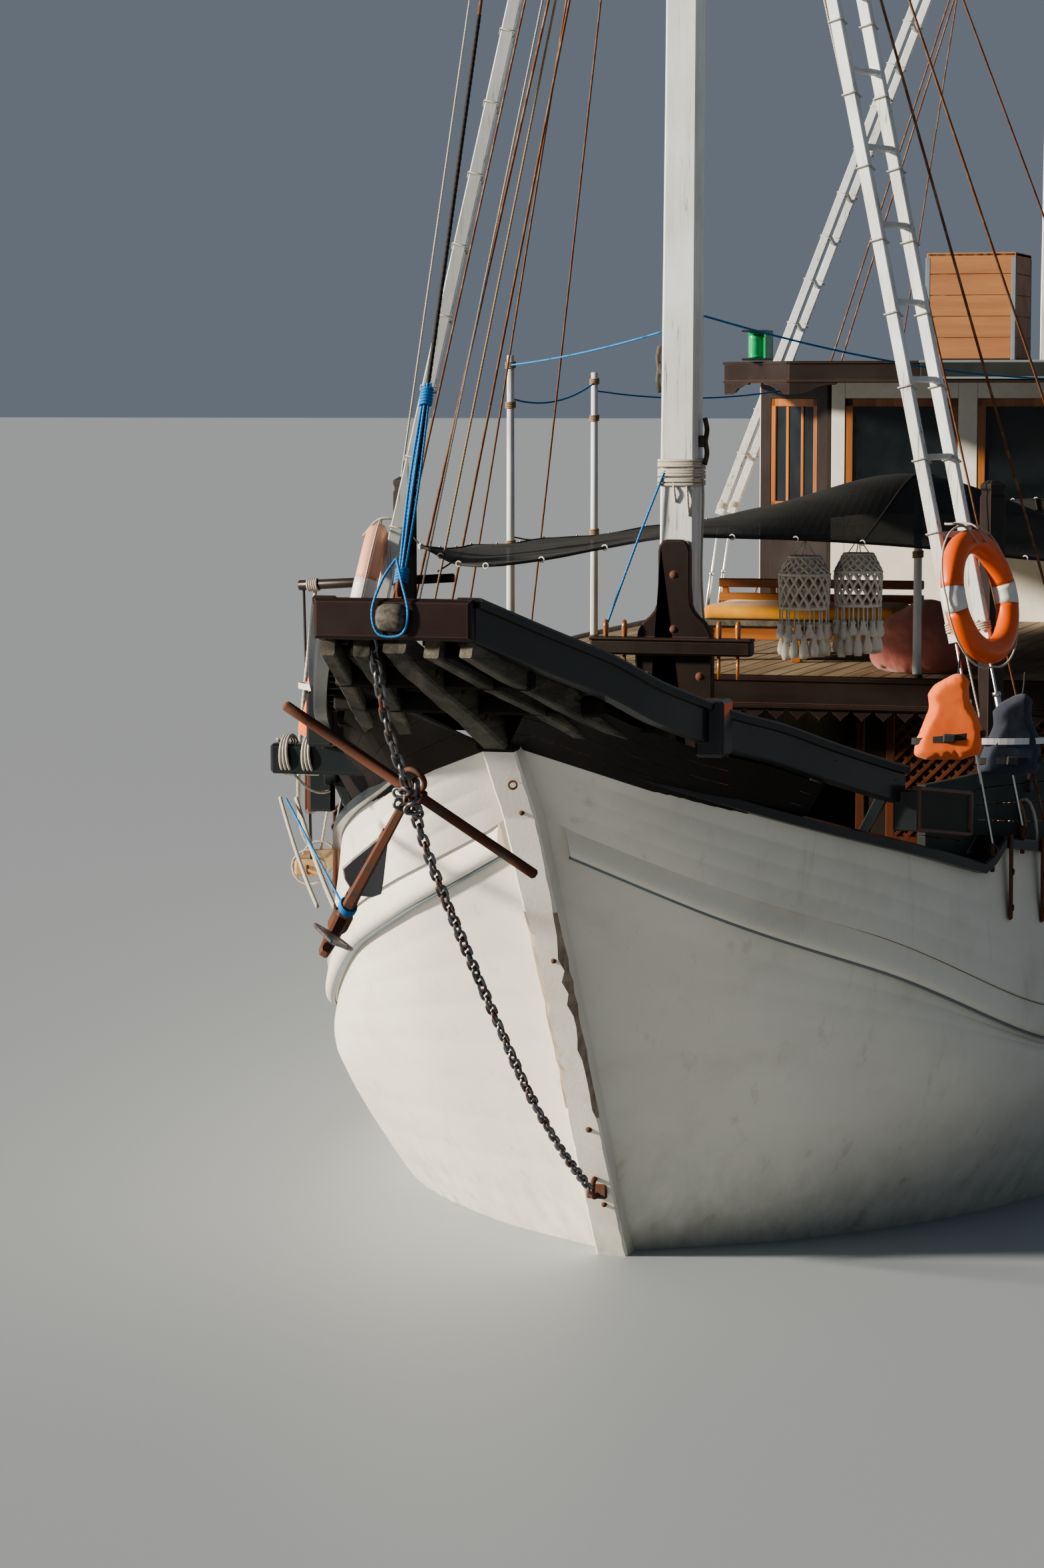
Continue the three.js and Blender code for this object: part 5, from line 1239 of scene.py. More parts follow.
def makeTimbers():
    timbers, boards = Shape(), Shape()
    for row, sides in zip(timberRows, ((1,), (-1, 1), (-1, 1))):
        for side in sides:
            timber(timbers, row, side)
    # the bowsprit's end, rounded, through the fascia
    rings = []
    for half, x in ((0.045, 10.44), (0.064, 10.46), (0.066, 10.70), (0.060, 10.730), (0.040, 10.745)):
        corners = [[math.copysign(abs(v) ** 0.6, v) for v in p.xy] for p in circleOf(16, 1)]
        rings.append([Vector((x, a * half, 3.325 + b * (half - 0.008))) for a, b in corners])
    timbers.loft(rings, 2, True)
    timbers.block((9.22, -0.09, 2.66), (9.32, 0.09, 2.78), 3, 0.012)
    for x, y, z in ((9.62, 0.06, 2.84), (9.95, 0.058, 2.965), (10.28, 0.055, 3.07)):
        for side in (-1, 1):
            timbers.turned(((0, 0), (0.016, 0), (0.016, 0.006), (0.008, 0.010), (0, 0.010)), (x, side * y, z),
                           (0, side, 0), 1, 10)
    makePiece("bowTimbers", timbers, "greyTimber rustIron endGrain darkInside", ["bow_timbers"])
    # dark boards close the bow between the cap and the platform; they are painted shade, a dark sheet standing in for
    # the shade in the hollow under the platform
    out = Vector((0.25, 1, -0.2)).normalized() * 0.009
    for side in (-1, 1):
        for row in range(4):
            rings = []
            for t in (k / 14 for k in range(15)):
                edge, head = sheerAt(8.05 + 1.20 * t), railAt(8.05 + 1.95 * t)
                low = Vector((edge.x, max(0.03, edge.y - 0.035), edge.z - 0.02))
                high = Vector((head.x, max(0.05, head.y - 0.075 - 0.10 * t), head.z - 0.095))
                a, b = low.lerp(high, row / 4 + (0.004 if row else 0)), low.lerp(high, (row + 1) / 4 - 0.004)
                rings.append([onSide(p, side) for p in (a - out, a + out, b + out, b - out)])
            boards.loft(rings)
    makePiece("bowBoards", boards, "darkInside")


railSection = (
    (-0.060, -0.092), (-0.005, -0.092), (0, -0.085), (0, 0.045), (0.022, 0.05), (0.026, 0.078), (0.018, 0.089),
    (-0.075, 0.089), (-0.083, 0.078), (-0.08, 0.05), (-0.065, 0.045), (-0.065, -0.085),
)


def makeBowRails():
    for side, name in bothSides:
        rail = Shape()
        rail.loft([[onSide(point + Vector((0, out, up)), side) for out, up in railSection]
                   for point in resampled(railPath, 0.09)])
        for x, y, z in ((8.7, 1.033, 2.695), (8.05, 1.263, 2.525), (7.54, 1.441, 2.397)):
            foot, rings = sheerAt(x) + Vector((0, -0.062, 0.056)), []
            for t in (k / 6 for k in range(7)):
                centre = foot.lerp((x, y - 0.034, z + 0.02), t)
                half = Vector((0.042 - 0.012 * math.sin(t * math.pi), 0, 0))
                rings.append([onSide(p, side) for p in boxRing(centre, half, Vector((0, 0.030, 0)), 0.8, 0.8)])
            rail.loft(rings)
        # the name board, left blank, in its frame
        a, b = Vector((7.5, side * 1.511, 2.27)), Vector((7.08, side * 1.681, 2.21))
        rail.bar(a, b, 0.036, 0.19, 1, 0.006)
        out = Vector((a.y - b.y, b.x - a.x, 0)).normalized() * -side * 0.006
        for up in (Vector((0, 0, -0.098)), Vector((0, 0, 0.098))):
            rail.bar(a + out + up, b + out + up, 0.05, 0.022, 2, 0.006)
        for end in (a, b):
            rail.bar(end + out - Vector((0, 0, 0.108)), end + out + Vector((0, 0, 0.108)), 0.05, 0.022, 2, 0.006)
        rail.block((7.46, side * 1.41, 2.165), (7.52, side * 1.53, 2.36), 0, 0.008)
        at = railAt(8.98)
        rail.block((8.9, side * (at.y - 0.10), at.z - 0.13), (9.08, side * (at.y + 0.03), at.z + 0.12), 0, 0.014)
        if side < 0:
            rail.block((8.45, -1.33, sheerAt(8.6).z + 0.055), (8.59, -0.3, 2.60), 0, 0.014)
        makePiece("bowRail" + name.capitalize(), rail, "darkGloss blankBoard latticeWood",
                  ["bow_rail_" + name])
    lash = Shape()
    for y in (-1.27, -1.16):
        for k in range(3):
            lash.ring((8.52, y + k * 0.016, 2.545), (0, 1, 0.05 * k), 0.092, 0.0075, 0, 20, 6)
    lash.rope(sagging((8.58, -1.24, 2.50), (8.35, -1.12, 2.36), 0.05, 8), 0.008)
    lash.rope(sagging((8.56, -1.30, 2.62), (8.2, -1.22, 2.56), 0.06, 8), 0.008)
    makePiece("catheadLashings", lash, "whiteRope")


bulwarkTop = [(x, 0, z) for x, z in ((6.95, 2.33), (6.622, 2.338), (6.449, 2.344), (6.2, 2.35), (5.6, 2.34),
                                     (4.8, 2.32), (4.0, 2.3))]


def makeBulwarks():
    bars = Shape()
    for side, name in bothSides:
        wall = Shape()
        for k in range(4):
            rings = []
            for point in resampled(bulwarkTop, 0.2):
                edge = sheerAt(point.x)
                low, y0, y1 = edge.z + 0.056, edge.y - 0.147, edge.y - 0.109
                tall = (point.z - low) / 4
                z0, z1 = low + tall * k + (0.002 if k else 0), low + tall * (k + 1) - 0.002
                rings.append([onSide((point.x, y, z), side) for y, z in (
                    (y0, z0), (y1, z0), (y1, z1 - 0.004), (y1 - 0.004, z1), (y0 + 0.004, z1), (y0, z1 - 0.004))])
            wall.loft(rings)
        for x in (6.8, 6.2, 5.35, 4.85, 4.2):
            edge = sheerAt(x)
            wall.block((x - 0.03, side * (edge.y - 0.19), edge.z + 0.056),
                       (x + 0.03, side * (edge.y - 0.147), 2.31), 1)
        wall.turned(((0, 1.401), (0.062, 1.401), (0.066, 1.41), (0.066, 3.70), (0.058, 3.715), (0.058, 3.73),
                     (0.066, 3.745),
                     (0.066, 3.765), (0.03, 3.785), (0, 3.785)), (5.88, side * 1.58, 0), (0, 0, 1), 1, 4, False)
        wall.block((5.85, side * 1.58, 2.2), (5.91, side * 1.80, 2.26), 1, 0.010)
        for y in (1.66, 1.715, 1.77):
            wall.turned(((0, 0), (0.009, 0), (0.009, 0.16), (0.017, 0.17), (0.019, 0.22), (0.013, 0.28), (0, 0.285)),
                        (5.88, side * y, 2.07), (0, 0, 1), 2, 10)
        makePiece("bulwark" + name.capitalize(), wall, "bulwarkGreen darkUpright varnished",
                  ["bulwark_" + name])
        for x in (6.42, 6.06, 5.5, 5.0):
            edge = onSide(sheerAt(x), side)
            bars.bar(edge + Vector((0, side * 0.050, -0.36)), edge + Vector((0, side * 0.048, 0.07)), 0.014,
                     0.05, 0, 0.004)
            for z in (-0.3, -0.12):
                bars.turned(((0, 0), (0.016, 0), (0.016, 0.008), (0, 0.012)),
                            edge + Vector((0, side * 0.056, z)), (0, side, 0), 0, 8)
    makePiece("chainPlates", bars, "rustIron")


makePlatform()
makeTimbers()
makeBowRails()
makeBulwarks()
print("bow ready")


# Masts, ladders and rigging.
hounds = 9.7
foremast = {"x": 6.1, "foot": 1.4003, "top": 13.9, "lean": -0.2, "footSize": 0.184, "topSize": 0.124,
            "band": (hounds - 3.6) / (13.9 - 3.6)}
aftmast = {"x": -5.75, "foot": 2.6003, "top": 12.9, "lean": -0.2, "footSize": 0.16, "topSize": 0.105,
           "band": (hounds - 4.8) / (12.9 - 4.8)}


# where a mast's middle is at a height, and half its width there
def mastAt(spec, z):
    x, foot, tip, band = spec["x"], spec["footSize"] / 2, spec["topSize"] / 2, spec["band"]
    low, high, share0, share1 = spec["foot"] + 2.2, hounds, 0, band
    if z > hounds:
        low, high, share0, share1 = hounds, spec["top"], band, 1
    t = share0 + share(z, low, high) * (share1 - share0)
    return x + spec["lean"] * t, foot + (tip - foot) * t


def makeMast(spec, name, node):
    shape, rings, top = Shape(), [], spec["top"]
    heights = [spec["foot"] + 0.25 * k for k in range(int((top - spec["foot"]) / 0.25) + 1)]
    for z in heights + [top]:
        x, half = mastAt(spec, z)
        if z < top:
            half += 0.0015 * noise.noise(Vector((z * 1.7, spec["x"], 0)))
        rings.append(boxRing(Vector((x, 0, z)), Vector((half, 0, 0)), Vector((0, half, 0)), 0.86, 0.86))
    shape.loft(rings)
    for z in (hounds + 0.08, hounds - 0.16, top - 0.16):
        x, half = mastAt(spec, z)
        half += 0.006
        shape.block((x - half, -half, z - 0.03), (x + half, half, z + 0.03), 1, 0.003)
    for z in (hounds - 0.3, hounds + 0.2):
        x, half = mastAt(spec, z)
        for side in (-1, 1):
            shape.turned(((0, 0), (0.02, 0), (0.02, 0.008), (0.012, 0.014), (0, 0.016)), (x, side * half, z),
                         (0, side, 0), 1, 8)
    shape.turned(((0, 0), (0.045, 0), (0.055, 0.015), (0.05, 0.03), (0.02, 0.045), (0, 0.05)),
                 (spec["x"] + spec["lean"], 0, top - 0.05), (0, 0, 1))
    makePiece(name, shape, "mastPaint rustIron", [node])


def makeForemastGear():
    board, gear, cleats = Shape(), Shape(), Shape()
    outline = [(-0.205, 1.401), (0.205, 1.401), (0.205, 2.90), (0.202, 2.96), (0.19, 3.01), (0.165, 3.055),
               (0.13, 3.085),
               (0.105, 3.115), (0.09, 3.15), (0.084, 3.19), (0.084, 3.42), (0.078, 3.45), (0.062, 3.472),
               (0.04, 3.48)]
    outline += [(-y, z) for y, z in reversed(outline)]
    board.plate(outline, (6.2223, 0, 0), (0, 1, 0), (0, 0, 1), 0.06, 0, 0.010)
    board.block((6.235, -0.425, 2.89), (6.335, 0.425, 2.97), 0, 0.012)
    board.block((6.240, -0.43, 2.965), (6.345, 0.43, 2.98))
    for y, z in ((0, 3.30), (0, 3.02), (-0.14, 2.78), (0.14, 2.78), (0, 2.2)):
        board.turned(((0, 0), (0.022, 0), (0.022, 0.008), (0.011, 0.016), (0, 0.018)), (6.245, y, z), (1, 0, 0),
                     1, 10)
    for y in (-0.35, 0.35, -0.25, 0.25):
        board.turned(((0, 0), (0.010, 0), (0.013, 0.01), (0.016, 0.06), (0.010, 0.09), (0, 0.095)), (6.29, y, 2.975),
                     (0, 0, 1), 2, 10)
        board.turned(((0, 0), (0.009, 0), (0.009, 0.12), (0, 0.12)), (6.29, y, 2.77), (0, 0, 1), 2, 8)
    makePiece("tabernacleBoard", board, "darkUpright rustIron varnished", ["tabernacle"])
    x, half = mastAt(foremast, 3.82)
    reach = half + 0.009
    turnOf = [(-1, -0.8), (-0.8, -1), (0, -1), (0.8, -1), (1, -0.8), (1, 0)]
    for k in range(9):
        sway = 0.004 * math.sin(k * 2.3)
        gear.tube([(x + a * reach, b * reach, 3.76 + k * 0.0155 + sway * a) for a, b in
                   turnOf + [(-a, -b) for a, b in turnOf]], 0.0082, 0, 6, True)
    for a, b, drop in ((0.09, 0.05, 0.18), (0.092, -0.02, 0.11)):
        gear.rope([(x + a, b, 3.78), (x + a + 0.02, b + 0.01, 3.78 - drop * 0.5),
                   (x + a + 0.008, b + 0.015, 3.78 - drop)], 0.0075)
    gear.rope([(x - 0.02, 0.098, 3.86), (x, 0.115, 3.7), (x + 0.01, 0.11, 3.3), (x + 0.03, 0.135, 2.98)], 0.007)
    gear.rope([(x + 0.1, -0.06, 3.84), (x + 0.16, -0.2, 3.45), (x + 0.19, -0.35, 3.03)], 0.007, 1)
    makePiece("foremastLashing", gear, "whiteRope blueRope")
    for z, side in ((3.98, 1), (4.35, -1), (2.35, 1)):
        x, half = mastAt(foremast, z)
        y = side * (half + 0.03)
        cleats.block((x - 0.02, side * half, z - 0.03), (x + 0.02, y, z + 0.03), 0, 0.005)
        cleats.tube(resampled([(x, y + side * out, z + up) for out, up in (
            (0, -0.12), (0.012, -0.06), (0.004, 0), (0.012, 0.06), (0, 0.12))], 0.02), 0.013)
    makePiece("mastCleats", cleats, "greyTimber")


# a ladder in place of ratlines: two stiles, rungs lashed on, and a turnbuckle under each stile
ladders = {
    "step": 0.37,
    "half": 0.16,
    "fore": {"foot": (6.4, 1.57, 3.0), "head": (mastAt(foremast, hounds)[0], 0.112, hounds), "turn": -0.297,
             "tie": 6.42},
    "aft": {"foot": (-3.9, 2.25, 3.3), "head": (mastAt(aftmast, hounds)[0], 0.15, 9.9), "turn": 0.05, "tie": -3.88},
}


def ladderFrame(spec):
    start, end = Vector(spec["foot"]), Vector(spec["head"])
    way = Vector((math.cos(spec["turn"]), math.sin(spec["turn"]), 0))
    along = (end - start).normalized()
    return start, end, way, along, along.cross(way).normalized()


def makeLadder(spec, name, side, node):
    start, end, way, along, normal = ladderFrame(spec)
    step, stiles, lash, gear, unit = ladders["step"], Shape(), Shape(), Shape(), Shape()
    apart = [way * offset for offset in (-ladders["half"], ladders["half"])]
    for offset in apart:
        rings = []
        for k in range(20):
            ring = boxRing(Vector(), Vector((1, 0, 0)), Vector((0, 1, 0)), 0.85, 0.75)
            seed = k * 0.9, offset.dot(way) * 30
            rings.append([onSide(start.lerp(end, k / 19) + offset + normal * (p.y * 0.0325) + way * (
                p.x * 0.02 + 0.0012 * noise.noise(Vector((*seed, p.x)))), side) for p in ring])
        stiles.loft(rings)
    makePiece(name + "Stiles", stiles, "mastPaint", [node])
    count = int((end - start).length / step)
    first = end - along * 0.04
    last = end - along * (0.04 + (count - 1) * step)
    unit.block((-0.017, -0.165, -0.014), (0.017, 0.165, 0.014), 0, 0.004)
    settle(repeated(name + "Rungs", unit, [onSide(last, side), onSide(first, side)], "rungPaint", Spacing=step,
                    Upright=onSide(normal, side), Sway=0.02, Seed=11))
    for k in range(count):
        for offset in apart:
            middle = first - along * (k * step) + offset
            lash.tube([onSide(middle + way * (a * 0.026) + normal * (b * 0.038) + along * (0.012 * a), side)
                       for a, b in ((-1, -1), (1, -1), (1, 1), (-1, 1))], 0.0045, 0, 5, True)
    makePiece(name + "Lashings", lash, "whiteRope")
    for offset, x in zip(apart, (spec["tie"] - ladders["half"], spec["tie"] + ladders["half"])):
        top, edge = start + offset + along * 0.02, sheerAt(x)
        eye = edge + Vector((0, 0.036, 0.09))
        down = eye - top
        length = down.length

        def tie(low, high, radius, sides):
            gear.rod(*(onSide(top + down * t, side) for t in (low, high)), radius, 0, sides)

        tie(0, 1, 0.008, 8)
        tie(0.30, 0.52, 0.017, 10)
        for at in (0.30, 0.52):
            tie(at - 0.012 / length, at + 0.012 / length, 0.023, 6)
        gear.block((x - 0.014, side * (edge.y + 0.022), edge.z - 0.02),
                   (x + 0.014, side * (edge.y + 0.042), edge.z + 0.12), 1, 0.003)
        gear.ring(onSide(eye, side), (1, 0, 0), 0.022, 0.007, 1, 16, 6)
        gear.winding(onSide(top + along * 0.05, side), onSide(along, side), 0.036, 0.006, 4, 2)
    makePiece(name + "Ties", gear, "steel rustIron whiteRope")


def makeForestay():
    fore = Shape()
    top = Vector((foremast["x"] + foremast["lean"] + 0.075, 0, foremast["top"] - 0.12))
    foot = Vector((10.595, 0, 3.44))
    way = (top - foot).normalized()
    fore.rope([foot, foot + way * 2.6], 0.011, 1)
    fore.rod(foot + way * 2.6, top, 0.008, 0, 8)
    fore.block((10.578, -0.015, 3.27), (10.612, 0.015, 3.47), 0, 0.004)
    fore.ring(foot, (0, 1, 0), 0.03, 0.010, 0, 18, 8)
    for k in range(5):
        apart = Vector((0.008 * math.cos(k * 1.26), 0.012 * math.sin(k * 1.26), 0))
        fore.rope([foot + way * 0.06 + apart, foot + way * 0.45 + apart * 1.8, foot + way * 0.90 + apart], 0.0065, 2)
    # the same blue line goes round the bowsprit's end
    half = [(10.64, 0, 3.56), (10.70, 0.042, 3.47), (10.722, 0.076, 3.35), (10.722, 0.048, 3.260)]
    fore.rope(half + [(x, -y, z) for x, y, z in reversed(half)], 0.0065, 2)
    fore.winding(foot + way * 0.84, way, 0.022, 0.0065, 6, 2, 0.013)
    fore.winding(foot + way * 0.05, way, 0.024, 0.0065, 5, 2, 0.013)
    makePiece("forestayRope", fore, "rustyWire blackRope blueRope", ["forestay"])


def makeShrouds():
    for side, name in bothSides:
        pair = Shape()
        head = Vector((mastAt(foremast, hounds)[0] - 0.09, side * 0.045, hounds - 0.35))
        pair.block(head - Vector((0.013, 0.013, 0.125)), head + Vector((0.013, 0.013, 0.025)), 1, 0.004)
        for x, drop in ((5.0, 0.0), (3.6, 0.1)):
            edge = sheerAt(x)
            foot, end = onSide(edge + Vector((0, 0.022, 0.09)), side), head - Vector((0, 0, drop))
            way = (end - foot).normalized()
            for low, high, radius, sides in ((0, 0.62, 0.010, 8), (0.18, 0.42, 0.018, 10)):
                pair.rod(foot + way * low, foot + way * high, radius, 2, sides)
            pair.rod(foot + way * 0.6, end, 0.0075, 0, 8)
            pair.ring(foot, (1, 0, 0), 0.024, 0.008, 1, 16, 6)
            pair.block((x - 0.014, side * (edge.y + 0.010), edge.z + 0.03),
                       (x + 0.014, side * (edge.y + 0.034), edge.z + 0.12), 1, 0.003)
            pair.winding(foot + way * 0.75, way, 0.0105, 0.004, 26, 3, 0.0082)
        makePiece("foreShroud" + name.capitalize(), pair, "rustyWire rustIron steel tanRope",
                  ["fore_shroud_" + name])


# the fixed lines beyond the main stays: mast stay, stays to the sides, halyards, clothes lines
def makeLines():
    lines, ropes = Shape(), Shape()
    lines.rod((5.843, 0, 13.75), (-5.893, 0, 12.75), 0.007, 0, 8)
    foreX, aftX = mastAt(foremast, hounds)[0], mastAt(aftmast, hounds)[0]
    for side in (1, -1):
        stays = [(x, 0.03, (foreX + 0.02, 0.07, hounds - 0.05), 0.006)
                 for x in ((5.95, 2.9, 1.0), (5.95, 1.0))[side > 0]]
        stays += [(x, 0.03, (aftX, 0.09, 9.85), 0.007) for x in (-4.9, -4.4)]
        stays.append((-8.2, 0.02, (-6.0, 0.05, 12.7), 0.006))
        for x, out, end, radius in stays:
            lines.rod(onSide(sheerAt(x) + Vector((0, out, 0.06)), side), onSide(end, side), radius, 0, 8)
    makePiece("standingLines", lines, "rustyWire")
    for start, end, drop, steps, radius, finish in (
        ((6.02, 0.09, 8.9), (5.88, 1.60, 2.26), 0.0, 4, 0.007, 0),
        ((6.02, -0.09, 9.1), (5.88, -1.60, 2.26), 0.0, 4, 0.007, 1),
        ((6.0, -0.09, 9.4), (5.88, -1.69, 2.26), 0.0, 4, 0.006, 0),
        ((5.88, -1.60, 3.78), (5.93, -0.06, 13.6), 0.0, 4, 0.006, 0),
        ((3.0, -1.88, 4.4), (6.02, -0.100, 4.55), 0.02, 8, 0.006, 2),
        ((3.0, -1.88, 4.2), (0.9, -1.95, 4.3), 0.07, 8, 0.006, 2),
        ((0.9, -1.95, 4.25), (-2.0, -1.05, 4.32), 0.08, 8, 0.006, 2),
        ((6.02, 0.100, 4.62), (-2.0, 1.0, 4.34), 0.10, 12, 0.006, 2),
    ):
        ropes.rope(sagging(start, end, drop, steps), radius, finish)
    makePiece("runningRopes", ropes, "whiteRope tanRope blueRope")


# rope coils hung on the belaying pins, three on each side
def makeCoils():
    coils = Shape()
    for side in (1, -1):
        for k, y in enumerate((1.66, 1.715, 1.77)):
            for turn in range(3):
                centre = Vector((5.95 + turn * 0.012, side * y, 2.02 - k * 0.01))
                coils.tube([centre + Vector((0.012 * math.sin(3 * a), side * 0.07 * math.cos(a), 0.17 * math.sin(a)))
                            for a in anglesOf(18)], 0.0075, k % 2, 6, True)
    makePiece("ropeCoils", coils, "whiteRope tanRope")


makeMast(foremast, "foremastSpar", "foremast")
makeMast(aftmast, "aftMastSpar", "aft_mast")
makeForemastGear()
for side, name in bothSides:
    for end in ("fore", "aft"):
        makeLadder(ladders[end], end + "Ladder" + name.capitalize(), side, end + "_ladder_" + name)
makeForestay()
makeShrouds()
makeLines()
makeCoils()
print("rig ready")


# Anchor, chain and life rings.
anchor = {
    "ring": Vector((10.25, -0.05, 2.62)),
    "crown": Vector((9.60, -0.62, 1.93)),
    "stock": Vector((-0.352, 0.742, -0.57)),
    "stockHalf": 0.64,
}


def makeAnchor():
    shape = Shape()
    ring, crown, half = anchor["ring"], anchor["crown"], anchor["stockHalf"]
    shank = (crown - ring).normalized()
    stock = anchor["stock"].normalized()
    across = stock.cross(shank).normalized()
    # the shank thickens towards the crown
    shape.loft([boxRing(ring.lerp(crown, t), stock * (0.018 + 0.012 * t), across * (0.017 + 0.010 * t), 0.5, 0.6)
                for t in (k / 8 for k in range(9))])
    # the stock goes through the shank and has a collar on each side of it
    shape.turned(((0, -half), (0.014, -half), (0.022, 0.008 - half), (0.022, 0.12 - half), (0.024, -0.06),
                  (0.034, -0.05),
                  (0.034, -0.03), (0.024, -0.02), (0.024, 0.03), (0.034, 0.04), (0.034, 0.06), (0.022, 0.07),
                  (0.022, half - 0.12), (0.022, half - 0.008), (0.014, half), (0, half)), ring + shank * 0.07, stock)
    # swept arms to the two bills, with the spade flukes on them
    fluke = [(-0.030, 0.014), (0.0, 0.075), (0.035, 0.104), (0.09, 0.085), (0.17, 0.052), (0.24, 0.024),
             (0.285, 0.004)]
    fluke += [(u, -v) for u, v in reversed(fluke)]
    for side in (-1, 1):
        path = [crown + across * (side * 0.35 * math.sin(t * 1.3) / math.sin(1.3)) - shank * (0.02 + 0.24 * t * t)
                for t in (k / 8 for k in range(9))]
        rings = []
        for k, centre in enumerate(path):
            along = (path[min(8, k + 1)] - path[max(0, k - 1)]).normalized()
            size = 0.034 - 0.014 * k / 8
            rings.append(boxRing(centre, stock * size, along.cross(stock).normalized() * size, 0.5, 0.6))
        shape.loft(rings)
        along = (path[8] - path[3]).normalized()
        lift = along.cross(stock).normalized()
        lift *= -1 if lift.dot(shank) > 0 else 1
        shape.plate(fluke, path[3] + lift * 0.030, along, stock, 0.020, 1, 0.006)
    shape.turned(((0, -0.05), (0.040, -0.05), (0.048, -0.03), (0.048, 0.03), (0.040, 0.05), (0, 0.05)), crown,
                 across, 0, 14)
    shape.ring(ring + Vector((0.03, 0, 0.01)), across + stock * 0.2, 0.052, 0.012)
    # blue lashing at the crown, a thin blue line up to the cathead, white rope beside it
    for k in range(3):
        shape.tube([crown - shank * (0.10 + k * 0.013) + stock * (0.038 * math.cos(a))
                    + across * (0.034 * math.sin(a))
                    for a in anglesOf(14)], 0.0065, 2, 6, True)
    shape.rope([crown - shank * 0.12 - stock * 0.04, (8.56, -1.26, 2.34)], 0.006, 2)
    for y, radius in ((-1.22, 0.012), (-1.30, 0.010)):
        shape.rope(sagging((8.53, y, 2.34), crown + Vector((0.02, y + 1.20, 0.06)), 0.03, 6), radius, 3)
    makePiece("anchorIron", shape, "rustIron chainIron blueRope whiteRope", ["anchor"])


def makeChain():
    path = resampled([
        (10.615, -0.115, 3.2146), (10.46, -0.10, 2.86), (10.35, -0.06, 2.62), (10.19, -0.05, 2.40),
        (9.98, -0.04, 2.16),
        (9.59, -0.03, 1.79), (9.19, -0.01, 1.40), (8.78, 0, 1.04), (8.27, 0, 0.69), (7.79, 0, 0.41),
    ], 0.05)
    link, bundle, outline = Shape(), Shape(), []
    for x, z in (p.xy for p in circleOf(20, 0.0185)):
        outline.append(Vector((x, 0, z + (math.copysign(0.0165, z) if abs(z) > 1e-6 else 0))))
    link.tube(outline, 0.0075, 0, 7, True)
    settle(repeated("anchorChainLinks", link, path, "chainIron", Spacing=0.0535, Upright=(0, 1, 0), Roll=math.pi / 2,
                    Sway=0.30, Seed=5), ["anchor_chain"])
    for k in range(9):
        middle = Vector((10.34 + 0.035 * math.sin(k * 2.1), -0.055 + 0.04 * math.cos(k * 1.7), 2.60 - 0.012 * k))
        turn = Euler((k * 1.1, k * 0.7, k * 1.9)).to_matrix()
        bundle.tube([middle + turn @ p for p in outline], 0.0075, 0, 7, True)
    makePiece("anchorShackle", bundle, "chainIron")


# life rings tied to the ladders, with four bands and a grab rope
ring = {"height": 3.2, "out": 0.0955, "major": 0.278, "minor": 0.062, "steps": 64, "sides": 18}


def makeLifeRing(side, name, band):
    start, end, way, along, normal = ladderFrame(ladders["fore"])
    out = normal if normal.y > 0 else -normal
    centre = start.lerp(end, (ring["height"] - start.z) / (end.z - start.z)) + out * ring["out"]
    major, minor, steps = ring["major"], ring["minor"], ring["steps"]
    sideways = out.cross(along).normalized()
    shape = Shape()

    def spoke(step):
        angle = 2 * math.pi * step / steps
        return sideways * math.cos(angle) + along * math.sin(angle)

    for finish, spans in ((0, ((2, 30), (34, 62))), (1, ((30, 34), (62, 66)))):
        section = circleOf(ring["sides"], minor + 0.0022 * finish)
        for first, last in spans:
            shape.loft([[onSide(centre + spoke(step) * (major + p.x) + out * (p.y * 0.92), side) for p in section]
                        for step in range(first, last + 1)], finish, True)
    shape.rope([onSide(centre + spoke(16 * k + 16 + 2 * j) * (
        major + minor + 0.014 + 0.030 * math.sin(math.pi * j / 8)), side) for k in range(4) for j in range(8)],
               0.006, 2, True)
    for apart in (-0.05, 0.05):
        high = centre + along * (major - 0.02) + sideways * apart
        shape.rope([onSide(high + along * up + out * away, side)
                    for up, away in ((0, 0.07), (0.10, 0.01), (0.13, -0.09))],
                   0.007, 2)
    makePiece("lifeRing" + name.capitalize(), shape, band + " ringBand whiteRope", ["life_ring_" + name])


makeAnchor()
makeChain()
makeLifeRing(1, "port", "ringOrange")
makeLifeRing(-1, "starboard", "ringPeach")
print("ground tackle ready")


# Deck houses: the saloon under the upper deck and the wheelhouse on it.
house = {"wall": 0.06, "base": 1.3003, "top": 2.5197, "front": 3.5, "back": -6.9, "half": 1.9}
wheelhouse = {
    "plan": [(-2.1, -1.0), (-2.1, 1.0), (-2.75, 1.65), (-5.45, 1.65), (-5.45, -1.65), (-2.75, -1.65)],
    "base": 2.6003,
    "top": 4.3297,
    "wall": 0.05,
}


# a wall with openings between two plan points; the holes are (start, end, low, high) along it
def wallRun(shape, start, end, low, high, thick, holes, finish=0, inward=1):
    start, end = Vector((*start, 0)), Vector((*end, 0))
    along = (end - start).normalized()
    place = framedAt(start, along, Vector((-along.y, along.x, 0)) * inward, Vector((0, 0, 1)))
    marks = [0.0, *(mark for hole in holes for mark in hole[:2]), (end - start).length]
    rows = [(a, b, low, high) for a, b in zip(marks[::2], marks[1::2])]
    rows += [row for a, b, c, d in holes for row in ((a, b, low, c), (a, b, d, high))]
    shape.blocks([(a, b, 0, thick, c, d) for a, b, c, d in rows if min(b - a, d - c) > 1e-3], finish, 0.002, place)
    return place


